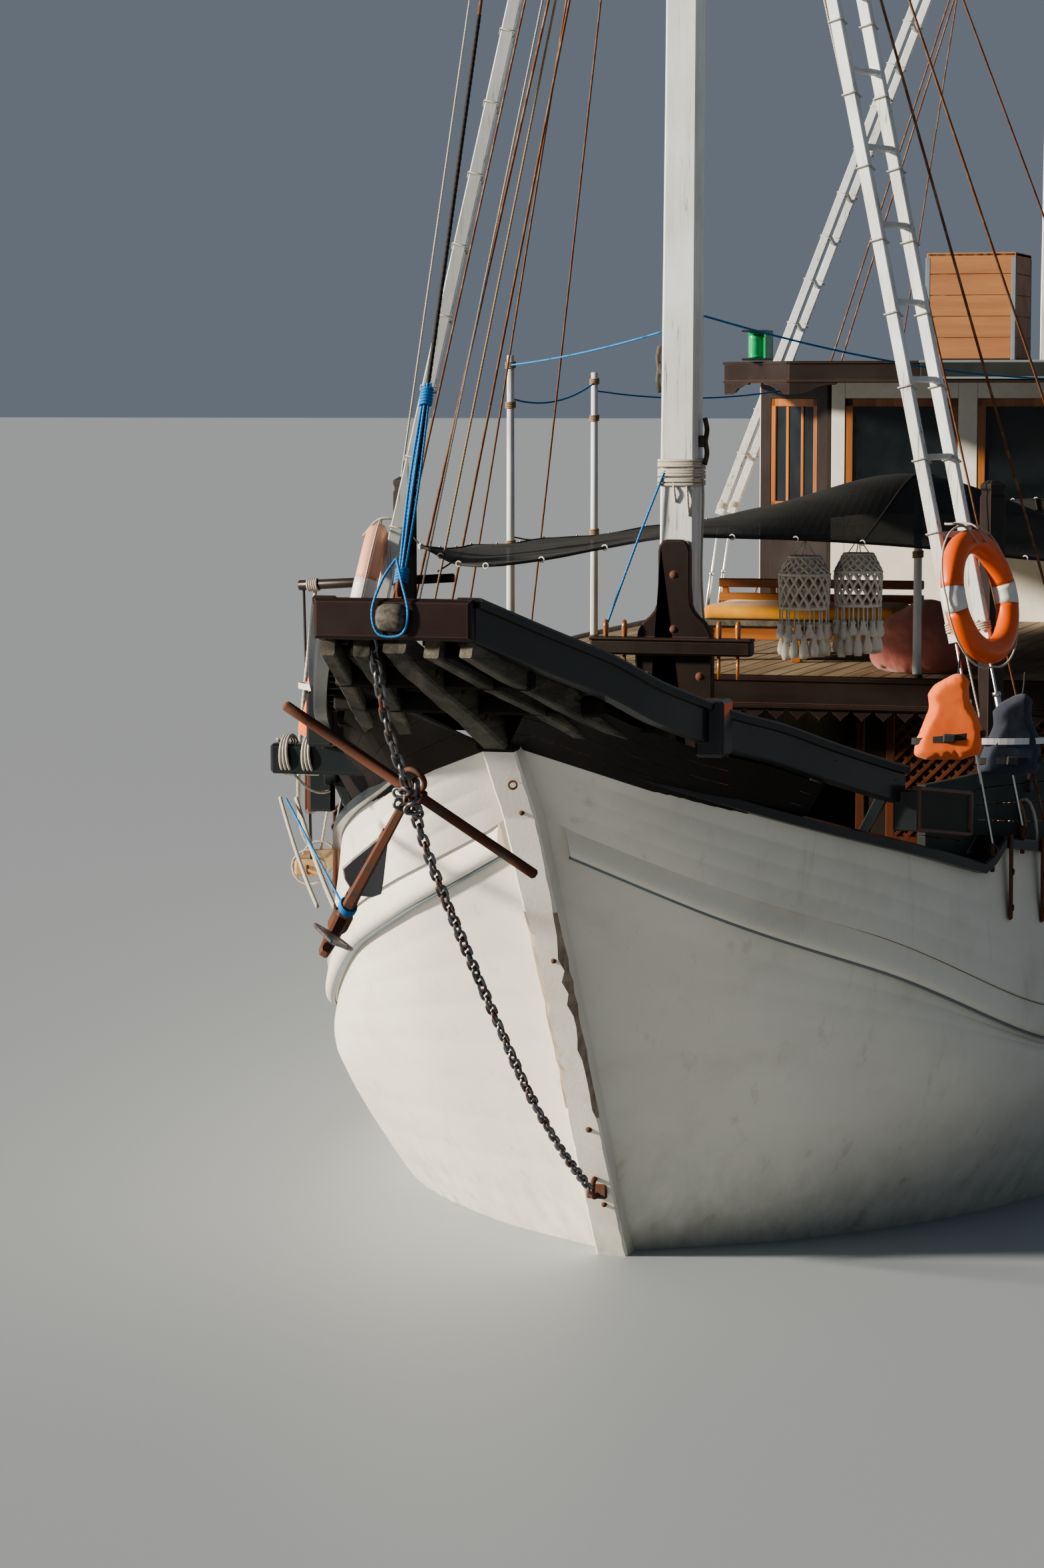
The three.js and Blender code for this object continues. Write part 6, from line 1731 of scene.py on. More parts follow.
# a frame round a hole, standing a little proud of the wall, with glass and upright bars in it
def framed(shape, glass, place, hole, thick, bars, bar, proud):
    a, b, c, d = hole
    back = thick * 0.9
    shape.blocks([(a, a + bar, -proud, back, c, d), (b - bar, b, -proud, back, c, d),
                  (a, b, -proud - 0.002, back, d - bar, d), (a, b, -proud - 0.02, back, c, c + bar)], 1, 0.005, place)
    for x in (a + (b - a) * share for share in bars):
        shape.block((x - 0.018, -0.004, c + bar), (x + 0.018, thick * 0.8, d - bar), 1, 0.004, place)
    inset, pane = bar * 0.5, thick * 0.45
    glass.block((a + inset, pane, c + inset), (b - inset, pane + 0.008, d - inset), 0, 0.001, place)


# the two jambs and the head round a doorway
def casing(shape, place, hole, wide, proud, thick, finish):
    a, b, c, d = hole
    shape.blocks([(a - wide, a, -proud, thick, c, d + wide), (b, b + wide, -proud, thick, c, d + wide),
                  (a, b, -proud, thick, d, d + wide)], finish, 0.004, place)


# boards laid on a wall: thin battens cover the joints
def battens(shape, place, length, low, high, holes, spacing, finish=0):
    count = int(length / spacing)
    for x in (length * k / count for k in range(1, count)):
        spans = [(low, high)]
        for a, b, c, d in holes:
            if a - 0.03 < x < b + 0.03:
                spans = [(low, c - 0.02), (d + 0.02, high)]
        shape.blocks([(x - 0.014, x + 0.014, -0.007, 0.001, bottom, top)
                      for bottom, top in spans if top - bottom > 0.08],
                     finish, 0.002, place)


# crossed bars in a frame, in the plane of a wall
def lattice(shape, place, first, last, low, high):
    left, right = first + 0.05, last - 0.05
    shape.blocks([(first, left, -0.022, 0, low, high), (right, last, -0.022, 0, low, high),
                  (left, right, -0.022, 0, high - 0.05, high), (left, right, -0.022, 0, low, low + 0.05)], 3,
                 0.004, place)
    for k in range(-8, 23):
        x = left + (right - left) * k / 14
        for lean in (-1, 1):
            ends = sorted(((left - x) * lean, (right - x) * lean))
            s0, s1 = max(0, ends[0]), min(high - low - 0.10, ends[1])
            if s1 - s0 > 0.03:
                out = -0.009 - 0.005 * lean
                shape.bar(*(place @ Vector((x + lean * s, out, low + 0.05 + s)) for s in (s0, s1)), 0.010, 0.022,
                          3, 0.002)


def makeSaloon():
    walls, glass = Shape(), Shape()
    base, top, half, wall, back, front = (house[key] for key in ("base", "top", "half", "wall", "back", "front"))
    holes = [(centre - 0.48 - back, centre + 0.48 - back, 1.76, 2.23)
             for centre in (-6.1, -4.5, -2.9, -1.3, 0.3, 1.9)]
    for side in (1, -1):
        place = wallRun(walls, (back, side * half), (front, side * half), base, top, wall, holes, 0, -side)
        for hole in holes:
            framed(walls, glass, place, hole, wall, (0.5,), 0.05, 0.012)
        battens(walls, place, front - back, base + 0.05, top - 0.06, holes, 0.36)
    for x, side, finish, hole in ((front, 1, 2, (1.46, 2.22, base, 2.4)), (back, -1, 0, (2.44, 3.14, base, 2.4))):
        place = wallRun(walls, (x, side * (wall - half)), (x, side * (half - wall)), base, top, wall, [hole], finish)
        casing(walls, place, hole, 0.05, 0.016, wall + 0.004, 3)
        if side > 0:
            lattice(walls, place, 0.14, 1.28, 1.62, 2.42)
            lattice(walls, place, 2.40, 3.54, 1.62, 2.42)
    makePiece("saloonWalls", walls, "houseWhite varnished darkUpright latticeWood", ["saloon"])
    makePiece("saloonPanes", glass, "darkGlass")


def makeWheelhouse():
    plan, low, high, wall = (wheelhouse[key] for key in ("plan", "base", "top", "wall"))
    walls, glass = Shape(), Shape()
    facet = ((Vector(plan[2]) - Vector(plan[1])).length - 0.64) / 2
    doorway, facetHole = (2.64, 4.25), (facet, facet + 0.64, 3.38, 4.20)
    runs = (
        [(0.10, 0.93, 3.38, 4.20), (1.07, 1.90, 3.38, 4.20)],
        [facetHole],
        [(0.30, 1.00, *doorway), (1.25, 2.35, 3.38, 4.15)],
        [(0.75, 2.55, 3.38, 4.20)],
        [(0.35, 1.45, 3.38, 4.15), (1.70, 2.40, *doorway)],
        [facetHole],
    )
    for index, holes in enumerate(runs):
        start, end = plan[(index + 1) % 6], plan[index]
        length = (Vector(end) - Vector(start)).length
        isFacet = holes[0] == facetHole
        coat = 3 if isFacet else 0
        place = wallRun(walls, start, end, low, high, wall, holes, coat)
        spans, doors = [(0.0, length)], [hole for hole in holes if hole[2:] == doorway]
        for hole in doors:
            casing(walls, place, hole, 0.045, 0.012, wall, 1)
            spans = [(0.0, hole[0] - 0.045), (hole[1] + 0.045, length)]
        for hole in holes:
            if hole not in doors:
                bars = (0.34, 0.66) if isFacet else (0.5,) if hole[1] - hole[0] > 0.9 else ()
                framed(walls, glass, place, hole, wall, bars, 0.06, 0.014)
        # a moulding under the windows and a kick board at the deck
        for first, last in spans:
            walls.block((first, -0.016, 3.30), (last, 0.0, 3.345), 2, 0.006, place)
            walls.block((first, -0.010, low), (last, 0.0, low + 0.10), 2, 0.005, place)
        battens(walls, place, length, low + 0.10, 3.30, doors, 0.30, coat)
    # columns at the corners
    for x, y in plan:
        side = math.copysign(1, y)
        fore = x > -3
        turn = Matrix.Rotation(math.radians(22.5) * side * fore, 4, "Z")
        walls.block((-0.045, -0.045, low), (0.045, 0.045, high), 0, 0.010,
                    Matrix.Translation((x - 0.028 if fore else x + 0.028, y - 0.028 * side, 0)) @ turn)
    makePiece("wheelhouseWalls", walls, "houseWhite varnished greyBoard darkUpright", ["wheelhouse"])
    makePiece("wheelhousePanes", glass, "darkGlass", ["wheelhouse_glass"])


def makeRoof():
    plan = [Vector(p) for p in ((-1.3, -1.15), (-1.3, 1.15), (-1.95, 1.78), (-5.6, 1.78), (-5.6, -1.78),
                                (-1.95, -1.78))]
    roof = Shape()
    inner = insetOutline(plan, 0.03)
    centre = sum(plan, Vector((0, 0))) / 6
    crown = [centre + (p - centre) * 0.55 for p in inner]
    layers = (inner, 4.3300), (inner, 4.43), (inner, 4.447), (crown, 4.4693)
    roof.loft([[Vector((*p, z)) for p in points] for points, z in layers])
    drop = [(0.002, 0), (0.36, 0), (0.34, -0.018), (0.27, -0.024), (0.20, -0.042), (0.15, -0.072), (0.10, -0.085),
            (0.002, -0.088)]
    for a, b in zip(plan, plan[1:] + plan[:1]):
        along = (b - a).normalized()
        out = Vector((along.y, -along.x))
        for back, z, wide, tall, edge in ((0.012, 4.385, 0.024, 0.15, 0.006), (0.005, 4.452, 0.034, 0.022, 0.006),
                                          (0.006, 4.318, 0.030, 0.018, 0.005)):
            roof.bar((*(a - out * back), z), (*(b - out * back), z), wide, tall, 1, edge)
        # the fascia's curved drop at each corner
        for at, way in ((a - out * 0.012, along), (b - out * 0.012, -along)):
            roof.plate(drop, (*at, 4.315), (*way, 0), (0, 0, 1), 0.022, 1)
    makePiece("wheelhouseRoof", roof, "greyBoard darkAcross", ["wheelhouse_roof"])
    board = Shape()
    board.block((-1.300, -0.20, 4.345), (-1.284, 1.06, 4.455), 0, 0.004)
    board.blocks([(-1.292, -1.278, -0.21, 1.07, z, z + high) for z, high in ((4.448, 0.018), (4.334, 0.016))], 1,
                 0.004)
    makePiece("roofBoard", board, "blankBoard greyBoard")


def makeRoofBox():
    box, slats = Shape(), Shape()
    x0, x1, y0, y1, z0, z1 = -2.5, -1.85, -0.27, 0.37, 4.4703, 5.2303
    under = z1 - 0.03
    for low in (z0 + 0.01 + k * 0.150 for k in range(5)):
        high = min(low + 0.148, z1)
        box.blocks([(x1 - 0.020, x1, y0, y1, low, high), (x0, x0 + 0.020, y0, y1, low, high),
                    (x0 + 0.02, x1 - 0.02, y1 - 0.020, y1, low, high)], 0, 0.004)
    box.block((x0 + 0.02, y0 + 0.05, z0), (x1 - 0.02, y1 - 0.02, z0 + 0.03), 0, 0.003)
    box.block((x0, y0, under), (x1, y1, z1), 0, 0.008)
    box.blocks([(x - 0.022, x + 0.014, y - 0.022, y + 0.014, z0, under)
                for y in (y0 + 0.012, y1 - 0.012) for x in (x0 + 0.012, x1 - 0.012)], 1, 0.005)
    box.blocks([(x0 + 0.03, x0 + 0.09, y0, y0 + 0.03, z0, under), (x1 - 0.09, x1 - 0.03, y0, y0 + 0.03, z0, under),
                (x0 + 0.09, x1 - 0.09, y0, y0 + 0.03, z1 - 0.10, under),
                (x0 + 0.09, x1 - 0.09, y0, y0 + 0.03, z0, z0 + 0.07)], 1, 0.004)
    makePiece("roofBoxCase", box, "boxWood greyBoard", ["roof_box"])
    for k in range(13):
        place = Matrix.Translation((x0 + 0.325, y0 + 0.018, z0 + 0.10 + k * 0.043))
        slats.block((-0.235, -0.016, -0.004), (0.235, 0.016, 0.004), 0, 0.002,
                    place @ Matrix.Rotation(math.radians(-35), 4, "X"))
    makePiece("roofBoxLouvres", slats, "greyBoard")


def makeNavLights():
    ribs = [pair for k in range(9) for pair in ((0.050, 0.02 + k * 0.0125), (0.055, 0.026 + k * 0.0125))]
    profile = [(0, 0), (0.052, 0), (0.055, 0.01), (0.050, 0.02), *ribs, (0.050, 0.14), (0.054, 0.150), (0.040, 0.165),
               (0, 0.17)]
    for (side, name), lens, slot in zip(bothSides, ("redLens", "greenLens"), ("light_red", "light_green")):
        shape = Shape()
        inner, outer = side * 1.36, side * 1.54
        shape.blocks([(-1.72, -1.50, inner, outer, 4.4703, 4.485), (-1.72, -1.50, inner, outer, 4.672, 4.6853)],
                     1, 0.003)
        shape.blocks([(-1.72, -1.50, inner, inner + side * 0.014, 4.485, 4.672),
                      (-1.72, -1.706, inner, outer, 4.485, 4.672)], 0, 0.003)
        shape.turned(profile, (-1.60, side * 1.46, 4.488), (0, 0, 1), 2, 20)
        makePiece("navLight" + name.capitalize(), shape, lens + " blackEnamel " + lens, ["nav_light_" + name])


# a leaf with rails, stiles, a pane and sunk panels, hung on two barrels
def makeDoor(side, name):
    shape, glass = Shape(), Shape()
    y0, y1 = sorted((side * 1.600, side * 1.650))
    x0, x1, z0, z1 = -5.144, -4.456, 2.646, 4.244
    shape.blocks([(a, b, y0, y1, c, d) for a, b, c, d in (
        (x0, x0 + 0.10, z0, z1), (x1 - 0.10, x1, z0, z1), (x0 + 0.10, x1 - 0.10, z1 - 0.10, z1),
        (x0 + 0.10, x1 - 0.10, z0, z0 + 0.16), (x0 + 0.10, x1 - 0.10, 3.39, 3.47))], 0, 0.004)
    shape.block((x0 + 0.09, y0 + 0.014, z0 + 0.15), (x1 - 0.09, y1 - 0.014, 3.40), 0, 0.002)
    for low in (z0 + 0.19, z0 + 0.48):
        shape.block((x0 + 0.13, y0 + 0.006, low), (x1 - 0.13, y1 - 0.006, low + 0.25), 0, 0.010)
    middle = (y0 + y1) / 2
    glass.block((x0 + 0.09, middle - 0.004, 3.46), (x1 - 0.09, middle + 0.004, z1 - 0.09), 0, 0.001)
    for z in (2.95, 3.90):
        shape.rod((-4.441, side * 1.6623, z - 0.05), (-4.441, side * 1.6623, z + 0.05), 0.012, 1, 12)
        shape.blocks([(-4.520, -4.441, side * 1.650, side * 1.656, z - 0.045, z + 0.045)], 1, 0.001)
    for y, way in ((side * 1.650, side), (side * 1.600, -side)):
        shape.turned(((0, 0), (0.024, 0), (0.024, 0.004), (0.008, 0.008), (0.008, 0.026), (0.0, 0.028)),
                     (-5.09, y, 3.43), (0, way, 0), 1, 14)
        shape.rod((-5.09, y + way * 0.024, 3.43), (-4.99, y + way * 0.024, 3.43), 0.0075, 1, 8)
    makePiece("wheelhouse_door_" + name + "Leaf", shape, "varnished bronze", ["wheelhouse_door_" + name],
              "door_" + name)
    makePiece("wheelhouse_door_" + name + "Pane", glass, "darkGlass", body="door_" + name)


def makeConsole():
    shape, wheel, hub = Shape(), Shape(), Vector((-2.9, 0, 3.18))
    shape.block((-2.75, -0.6, 2.6003), (-2.18, 0.6, 3.20), 0, 0.008)
    shape.block((-2.75, -0.6, 3.19), (-2.165, 0.6, 3.225), 1)
    outline = [(2.70, 3.225), (2.18, 3.225), (2.18, 3.3195), (2.45, 3.3195), (2.66, 3.24)]
    shape.plate(outline, (0, 0, 0), (-1, 0, 0), (0, 0, 1), 1.16, 0, 0.006)
    shape.blocks([(-2.758, -2.748, -0.535 + k * 0.28, -0.305 + k * 0.28, 2.70, 3.12) for k in range(4)], 1)
    for y in (-0.36, 0.0, 0.36):
        shape.turned(((0, 0), (0.062, 0), (0.062, 0.010), (0.052, 0.014), (0.048, 0.008), (0, 0.008)),
                     (-2.56, y, 3.276), (-0.36, 0, 0.93), 2, 20)
    makePiece("consoleBody", shape, "varnishedAcross varnishedAcross bronze", ["helm_console"])
    wheel.turned(((0, 0), (0.030, 0), (0.045, 0.02), (0.030, 0.05), (0.030, 0.10), (0.045, 0.13), (0.030, 0.1497),
                  (0, 0.1497)), hub, (1, 0, 0), 1, 20)
    wheel.turned(((0.275, -0.012), (0.283, -0.020), (0.317, -0.020), (0.325, -0.012), (0.325, 0.012), (0.317, 0.020),
                  (0.283, 0.020), (0.275, 0.012), (0.275, -0.012)), hub, (1, 0, 0), 0, 48)
    for way in (Vector((0, p.x, p.y)) for p in circleOf(8, 1)):
        wheel.turned(((0, 0), (0.014, 0.02), (0.010, 0.06), (0.015, 0.12), (0.010, 0.17), (0.012, 0.235),
                      (0.008, 0.29),
                      (0.010, 0.30), (0.016, 0.335), (0.012, 0.355), (0, 0.362)), hub + way * 0.035, way, 0, 10)
    makePiece("shipWheel", wheel, "varnished bronze", ["ship_wheel"], "wheel")


# the posts and bars of the after rail, across the stern and along both sides
def makeRails():
    rail = Shape()
    half = [(-6.3, 1.98), (-7.4, 1.86), (-8.42, 1.73), (-8.42, 0.6)]
    line = half + [(x, -y) for x, y in reversed(half)]
    for x, y in line:
        rail.rod((x, y, 2.6003), (x, y, 3.48), 0.026, 0, 12)
        rail.turned(((0, 0), (0.05, 0), (0.05, 0.012), (0.03, 0.024), (0, 0.024)), (x, y, 2.6003), (0, 0, 1), 0, 14)
    for a, b in zip(line, line[1:]):
        rail.bar((*a, 3.08), (*b, 3.08), 0.030, 0.040, 0, 0.006)
        rail.bar((*a, 3.49), (*b, 3.49), 0.080, 0.040, 1, 0.010)
    makePiece("deckRail", rail, "varnished darkGloss", ["deck_rail"])


makeSaloon()
makeWheelhouse()
makeRoof()
makeRoofBox()
makeNavLights()
for side, name in bothSides:
    makeDoor(side, name)
makeConsole()
makeRails()
print("houses ready")


# Soft goods: pads are blown up by a cloth run from a slightly small closed form.
def stuffed(name, shape, coat, voxel, cap, pressure, node, creases, fixedBelow=-10.0):
    piece = linked(name, meshOf(name, shape, coat))
    remesh = piece.modifiers.new("remesh", "REMESH")
    remesh.mode = "VOXEL"
    remesh.voxel_size = voxel
    baked(piece)
    before = [v.co.copy() for v in piece.data.vertices]
    settings = piece.modifiers.new("cloth", "CLOTH").settings
    settings.use_pressure = True
    settings.uniform_pressure_force = pressure
    settings.effector_weights.gravity = 0
    settings.quality = 5
    for step in range(1, 21):
        scene.frame_set(step)
    baked(piece)
    scene.frame_set(1)
    for vertex, start in zip(piece.data.vertices, before):
        moved = vertex.co - start
        if moved.length > cap:
            moved *= cap / moved.length
        fold = creases * noise.noise(start * 7.0) + creases * 0.5 * noise.noise(start * Vector((6, 22, 30)))
        if start.z < fixedBelow:
            moved.z, fold = 0, 0
        vertex.co = start + moved + vertex.normal * fold
    smooth = piece.modifiers.new("finer", "SUBSURF")
    smooth.levels = smooth.render_levels = 1
    smoothed(baked(piece)).data.materials.clear()
    piece.data.materials.append(finishes[coat])
    settle(piece, [node])


# a band round a pad: a flat strap that follows a closed path
def strapRound(shape, path, across, finish):
    rings = []
    for before, point, after in zip(path[-1:] + path[:-1], path, path[1:] + path[:1]):
        lift = across.cross((after - before).normalized()).normalized()
        rings.append([point + across * (a * 0.016) + lift * b
                      for a, b in ((-1, -0.001), (1, -0.001), (1, 0.003), (-1, 0.003))])
    shape.loft(rings, finish, joined=True)


jacketOutline = [
    (-0.170, 0.02), (-0.10, 0.0), (0.08, 0.012), (0.172, 0.05), (0.178, 0.16), (0.150, 0.25), (0.108, 0.32),
    (0.098, 0.38),
    (0.092, 0.43), (0.045, 0.462), (-0.005, 0.452), (-0.09, 0.40), (-0.125, 0.35), (-0.118, 0.27),
    (-0.150, 0.17), (-0.172, 0.10),
]


# the straps' rows are (height, slope, finish)
def makeJacket(name, centre, heading, lean, size, coat, straps):
    centre, base, gear = Vector(centre), Shape(), Shape()
    turn = (Matrix.Rotation(heading, 3, "Z") @ Matrix.Rotation(lean, 3, "X")).transposed()
    across, up = turn[1], turn[2]
    out = across.cross(up).normalized()
    base.plate([(u * size, v * size) for u, v in jacketOutline], centre, across, up, 0.070, 0, 0.026)
    stuffed("jacket" + name.capitalize(), base, coat, 0.013, 0.014, 3.5, "life_jacket_" + name,
            0.0022)
    for level, slope, finish in straps:
        path = []
        for angle in anglesOf(28):
            u = 0.176 * size * math.cos(angle)
            path.append(centre + across * u + up * (level * size + slope * u) + out * (0.052 * math.sin(angle)))
        strapRound(gear, path, up, finish)
    buckle = centre + out * 0.056 + up * (straps[0][0] * size)
    gear.block((-0.008, -0.03, -0.022), (0.010, 0.03, 0.022), 0, 0.006, framedAt(buckle, out, across, up))
    top = centre + up * (0.44 * size) + across * 0.03
    gear.rope([top - up * 0.02, top + up * 0.05 + out * 0.01, top + up * 0.11], 0.006)
    makePiece("jacket" + name.capitalize() + "Straps", gear, "strapBlack glowTape")


# The awning: one net pulled over its poles, the edges drawn in between the lashings.
awning = {"parts": 9, "sag": 0.030, "ripple": 0.006, "drawn": 0.33, "rows": [
    [(6.0, -1.45, 3.42), (6.6, -0.9, 3.35), (5.975, -0.11, 3.48), (4.9, 0.7, 3.42), (3.95, 1.88, 3.28)],
    [(4.6, -1.62, 3.37), (4.6, -0.8, 3.45), (4.5, 0, 3.59), (3.85, 0.8, 3.772), (3.0, 1.9, 3.31)],
    [(2.9, -1.7, 3.35), (2.8, -0.85, 3.42), (2.6, 0, 3.52), (2.4, 0.9, 3.56), (1.8, 1.9, 3.31)],
    [(0.5, -1.7, 3.34), (0.5, -0.85, 3.42), (0.5, 0, 3.47), (0.5, 0.9, 3.46), (0.3, 1.85, 3.30)],
    [(-2.05, -1.0, 3.48), (-2.05, -0.5, 3.48), (-2.05, 0, 3.48), (-2.05, 0.5, 3.48), (-2.05, 1.0, 3.48)],
]}


def awningGrid():
    parts = awning["parts"]
    rows = [resampled(row, parts=parts) for row in awning["rows"]]
    grid = [resampled(column, parts=parts) for column in zip(*rows)]
    for c, column in enumerate(grid):
        for r, point in enumerate(column):
            between = sum(abs(k / parts - round(k / parts)) for k in (c, r))
            point.z -= awning["sag"] * between + awning["ripple"] * noise.noise(Vector((c * 0.35, r * 0.35, 1)))
    pull = [math.sin(math.pi * (k % parts) / parts) * awning["drawn"] for k in range(len(grid))]
    for r, share in enumerate(pull):
        for c, inner in ((0, 1), (-1, -2)):
            grid[c][r] += (grid[inner][r] - grid[c][r]) * share
    for column, share in zip(grid, pull):
        column[0] += (column[1] - column[0]) * share
    return grid


def makeAwning():
    grid, parts, net, hem, ties = awningGrid(), awning["parts"], Shape(), Shape(), Shape()
    last = len(grid) - 1
    spots = [(c, r) for c in range(last + 1) for r in range(last + 1)]
    edge = [(c, 0) for c in range(last)] + [(last, r) for r in range(last)]
    edge += [(c, last) for c in range(last, 0, -1)] + [(0, r) for r in range(last, 0, -1)]
    net.add([grid[c][r] + Vector((0, 0, lift)) for lift in (0.0015, -0.0015) for c, r in spots], [
        [layer * len(spots) + c * (last + 1) + r for c, r, layer in corners]
        for corners in [
            *([(c, r, layer), (c + 1, r, layer), (c + 1, r + 1, layer), (c, r + 1, layer)]
              for c, r in spots if max(c, r) < last for layer in (0, 1)),
            *([(*one, 0), (*one, 1), (*two, 1), (*two, 0)] for one, two in zip(edge, edge[1:] + edge[:1])),
        ]], 0, True)
    sheet = makePiece("awningNet", net, "blackNet", ["awning"])
    hem.tube([grid[c][r] for c, r in edge], 0.0085, 0, 6, True)
    hem.tube([point + Vector((0, 0, 0.006)) for point in grid[3 * parts]], 0.006, 0, 5)
    for k in range(0, last + 1, 3):
        for end in (0, last):
            hem.ring(grid[k][end], (1, 0, 0), 0.014, 0.004, 1, 10, 5)
            hem.ring(grid[end][k], (0, 1, 0), 0.014, 0.004, 1, 10, 5)
    hem = makePiece("awningHem", hem, "blackRope creamCord")
    for c, r, to in (
        (0, 0, (5.88, -1.585, 3.55)), (0, parts, (5.2, -1.62, 3.25)), (last, 0, (4.9, 2.10, 3.05)),
        (last, 2 * parts, (1.75, 1.99, 3.10)), (0, 2 * parts, (3.0, -1.86, 3.36)),
    ):
        corner, to = grid[c][r], Vector(to)
        ties.rope([corner, corner.lerp(to, 0.5) - Vector((0, 0, 0.01)), to], 0.005)
    makePiece("awningTies", ties, "blackRope")
    wide, long = (max(sum((b - a).length for a, b in zip(line, line[1:])) for line in lines)
                  for lines in (zip(*grid), grid))


def makePoles():
    for name, x, y, top in (("fore", 3.0, -1.88, 4.46), ("aft", 0.9, -1.95, 4.37), ("centre", 3.85, 0.80, 3.752)):
        low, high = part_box("awning_pole_" + name)
        pole, top = Shape(), min(top, high[2])
        pole.rod((x, y, low[2]), (x, y, top), 0.026, 0, 16, 0.022)
        pole.turned(((0, 0), (0.034, 0), (0.034, 0.03), (0.027, 0.04), (0, 0.04)), (x, y, low[2]), (0, 0, 1), 1)
        for z in (top - 0.06, top - 0.30, 3.32):
            pole.winding((x, y, z), (0, 0, 1), 0.029, 0.005, 4, 2)
        makePiece("awningPole" + name.capitalize(), pole, "mastPaint rustIron tanRope",
                  ["awning_pole_" + name])


# knotted lamp shades: three hoops, a net of cords in diamonds, and two tiers of tassels
shade = {
    "cords": 16,
    "cord": 0.0072,
    "levels": ((0.02, 0.62), (0.115, 0.99), (0.30, 0.94)),
    "tassels": 14,
    "tassel": ((0, 0.4), (0.12, 0.8), (0.3, 0.55), (0.55, 0.95), (0.8, 1.1), (1, 0.8)),
    "tiers": ((0, 1, 0.19, 0.022), (0.004, 0.92, 0.29, 0.026)),
    "seed": 7,
}


def makeShade(name, x, y, top, low, radius):
    shape, chance, count = Shape(), random.Random(shade["seed"]), shade["cords"]
    levels = [(top - down, radius * wide) for down, wide in shade["levels"]]

    def spot(angle, reach, z):
        return Vector((x + reach * math.cos(angle), y + reach * math.sin(angle), z))

    for z, r in levels:
        shape.ring((x, y, z), (0, 0, 1), r, 0.0085, 0, 32)
    for (z0, r0), (z1, r1) in zip(levels, levels[1:]):
        for start in anglesOf(count):
            for turn in (-1, 1):
                shape.tube([spot(start + turn * t * 2.2 * 2 * math.pi / count,
                                 r0 + (r1 - r0) * t + 0.003 * math.sin(3 * math.pi * t) * turn, z0 + (z1 - z0) * t)
                            for t in (j / 6 for j in range(7))], shade["cord"], 0, 6)
    inner = [(r * 0.93, z) for z, r in levels[:2]]
    shape.turned(inner + [(r - 0.004, z) for r, z in reversed(inner)], (x, y, 0), (0, 0, 1), 0, 24)
    foot, wide = levels[2]
    for tier, (down, reach, length, size) in enumerate(shade["tiers"]):
        z, head = foot - down, foot - down - 0.08 - 0.05 * tier
        for k in range(shade["tassels"]):
            swing = chance.uniform(-0.012, 0.012)
            end = max(low + 0.01, z - length * chance.uniform(0.82, 1.0))
            start = spot(2 * math.pi * (k + 0.5 * tier) / shade["tassels"], wide * reach + 0.002, z)
            shape.tube([start, start + Vector((swing * 0.3, 0, head - 0.01 - z))], 0.0045, 0, 5)
            shape.tube([(start.x + swing * t, start.y + swing * 0.4 * t, head + (end - head) * t)
                        for t, _ in shade["tassel"]],
                       lambda share: size * shade["tassel"][round(share * 5)][1], 0, 7)
    for angle in anglesOf(4):
        shape.tube([spot(angle + 0.4, radius * 0.48, top - 0.02), (x, y, top + 0.07)], 0.003, 0, 5)
    makePiece("shade" + name.capitalize(), shape, "creamCord", ["lamp_shade_" + name])


def makeSeats():
    seat, pad, bag, top = Shape(), Shape(), Shape(), 2.85
    under = top - 0.035
    seat.blocks([(x, x + 0.161, -0.85, 0.45, under, top) for x in (1.9 + k * 0.165 for k in range(4))], 0, 0.004)
    seat.blocks([(x - 0.03, x + 0.03, y - 0.03, y + 0.03, 2.6003, under) for y in (-0.80, -0.2, 0.40)
                 for x in (1.93, 2.53)]
                + [(x, x + 0.03, -0.82, 0.42, top - 0.12, under) for x in (2.50, 1.93)]
                + [(1.845, 1.885, y - 0.02, y + 0.02, top - 0.03, 3.06)
                   for y in (-0.81 + k * 0.305 for k in range(5))], 1, 0.004)
    seat.blocks([(1.84, 1.90, -0.85, 0.45, z, z + 0.055) for z in (2.93, 3.02)], 1)
    makePiece("benchFrame", seat, "greyTimber varnishedAcross", ["bench"])
    pad.block((1.935, -0.82, 2.8503), (2.535, 0.42, 2.935), 0, 0.024)
    stuffed("benchCushion", pad, "yellowCloth", 0.020, 0.016, 4.0, "bench_cushion", 0.003, 2.858)
    bag.turned(((0, 0.0), (0.25, 0.0), (0.31, 0.03), (0.335, 0.10), (0.325, 0.18), (0.27, 0.27), (0.19, 0.34),
                (0.10, 0.39),
                (0.04, 0.415), (0, 0.42)), (3.05, 0.70, 2.6003), (0, 0, 1), 0, 28)
    stuffed("beanbagSoft", bag, "pinkCloth", 0.020, 0.014, 2.5, "beanbag", 0.014, 2.608)


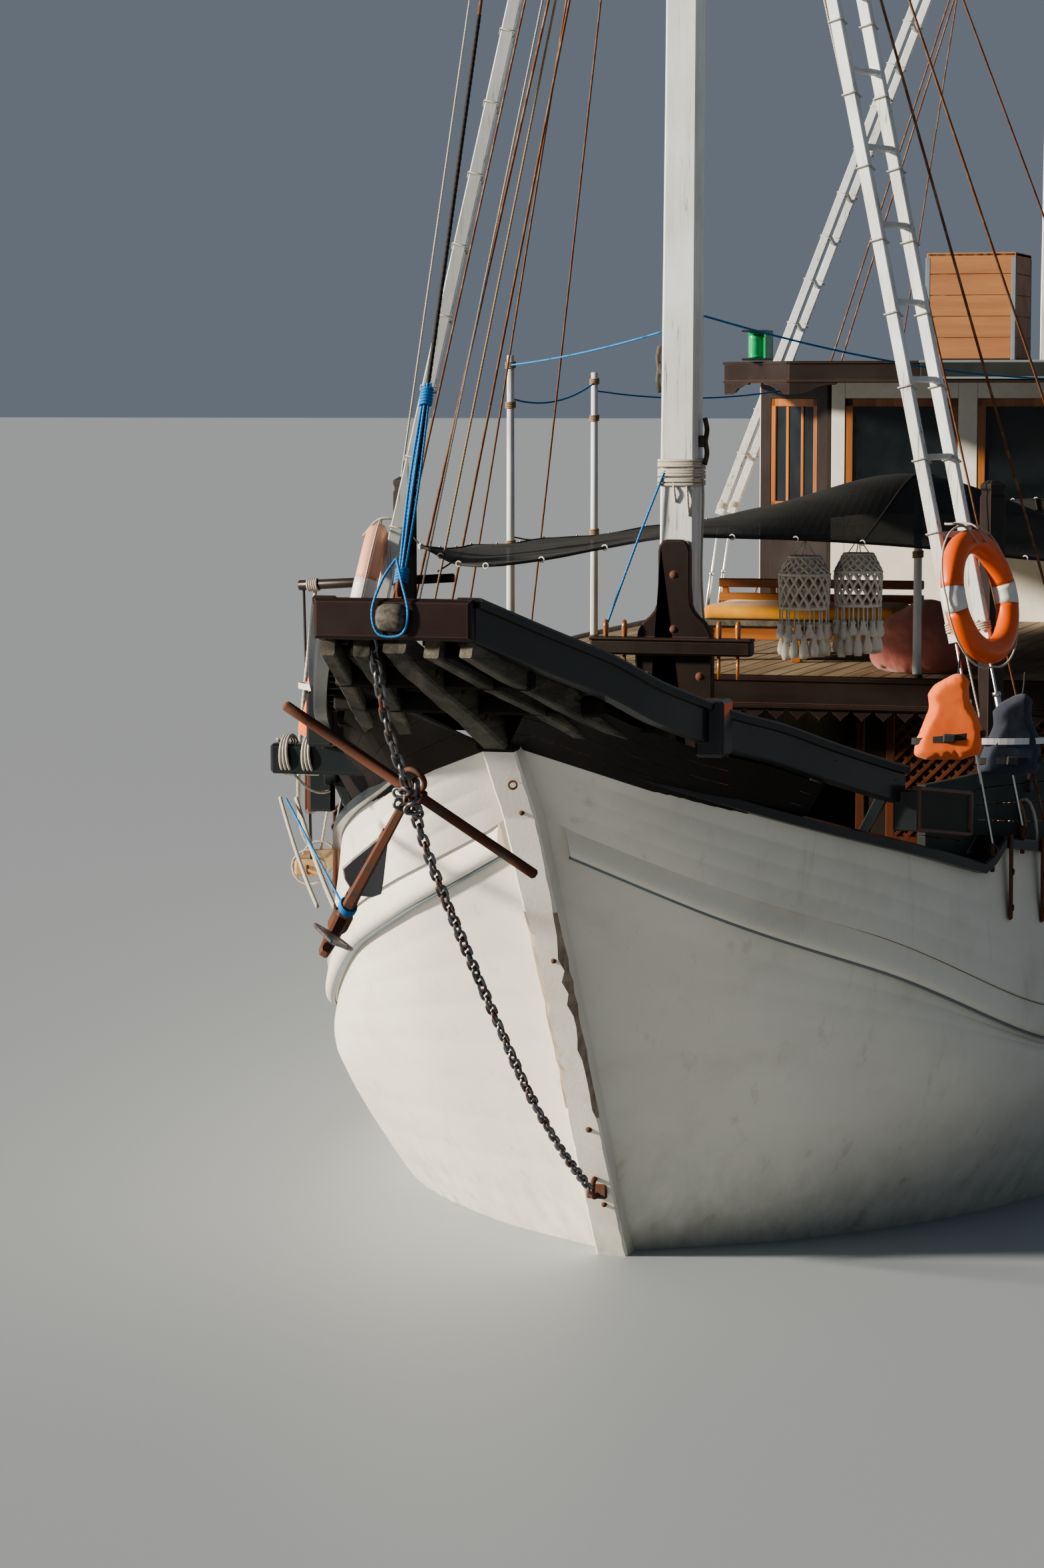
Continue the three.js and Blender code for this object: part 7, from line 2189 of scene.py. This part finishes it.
# boarding gear: a plank that hangs from a pole lashed across the rail, and a rope beside it
def makeBoardingStep():
    gear, rope = Shape(), Shape()
    start, end = Vector((5.805, -2.21, 3.194)), Vector((5.805, -1.33, 3.246))
    gear.rod(start, end, 0.028, 0, 14, 0.024)
    gear.winding((5.805, -2.13, 3.198), end - start, 0.031, 0.006, 5, 1)
    gear.winding((5.805, -1.60, 3.228), end - start, 0.031, 0.006, 7, 1)
    gear.tube([(5.805, -2.185, 3.19), (5.42, -2.29, 1.62)], 0.008, 2)
    head, foot = Vector((5.46, -2.295, 1.608)), Vector((4.96, -2.402, 1.608))
    gear.bar(head, foot, 0.160, 0.095, 3, 0.014)
    gear.ring((5.466, -2.294, 1.60), (0, 1, 0.2), 0.022, 0.006, 4, 16, 6)
    gear.rod((5.43, -2.30, 1.61), (5.475, -2.292, 1.61), 0.006, 4, 8)
    for share in (0.1, 0.9):
        gear.winding(head.lerp(foot, share), foot - head, 0.098, 0.007, 1.2, 1)
    gear.rope([(4.99, -2.39, 1.66), (5.02, -2.335, 1.9), (5.05, -2.27, 2.06)], 0.009, 1)
    makePiece("boardingGear", gear, "darkAcross whiteRope blackRope paleWood rustIron",
              ["boarding_step"])
    line = resampled([(5.79, -2.12, 3.195), (5.72, -2.20, 2.75), (5.62, -2.285, 2.25), (5.50, -2.325, 1.86),
                      (5.40, -2.27, 1.665)], 0.03)
    rope.rope(line, 0.0125)
    slack = makePiece("boardingRope", rope, "whiteRope")
    length = sum((b - a).length for a, b in zip(line, line[1:]))
    tuple(line[0])
    [tuple(p) for p in line]
    print("boarding rope", round(length, 3))


makeJacket("port", (6.80, 1.53, 2.42), 0.25, -0.05, 1.0, "jacketOrange", ((0.13, 0.16, 0),))
makeJacket("starboard", (6.85, -1.70, 2.44), -0.35, -0.05, 0.95, "jacketOrange", ((0.12, -0.10, 0), (0.30, 0.0, 1)))
makeJacket("aft", (6.28, 1.74, 2.30), 0.45, -0.10, 0.98, "jacketDark", ((0.10, 0.10, 0), (0.20, 0.10, 1)))
makeAwning()
makePoles()
makeShade("starboard", 4.72, 0.34, 3.355, 2.76, 0.14)
makeShade("port", 4.62, 0.62, 3.37, 2.72, 0.13)
makeSeats()
makeBoardingStep()
print("soft goods ready")
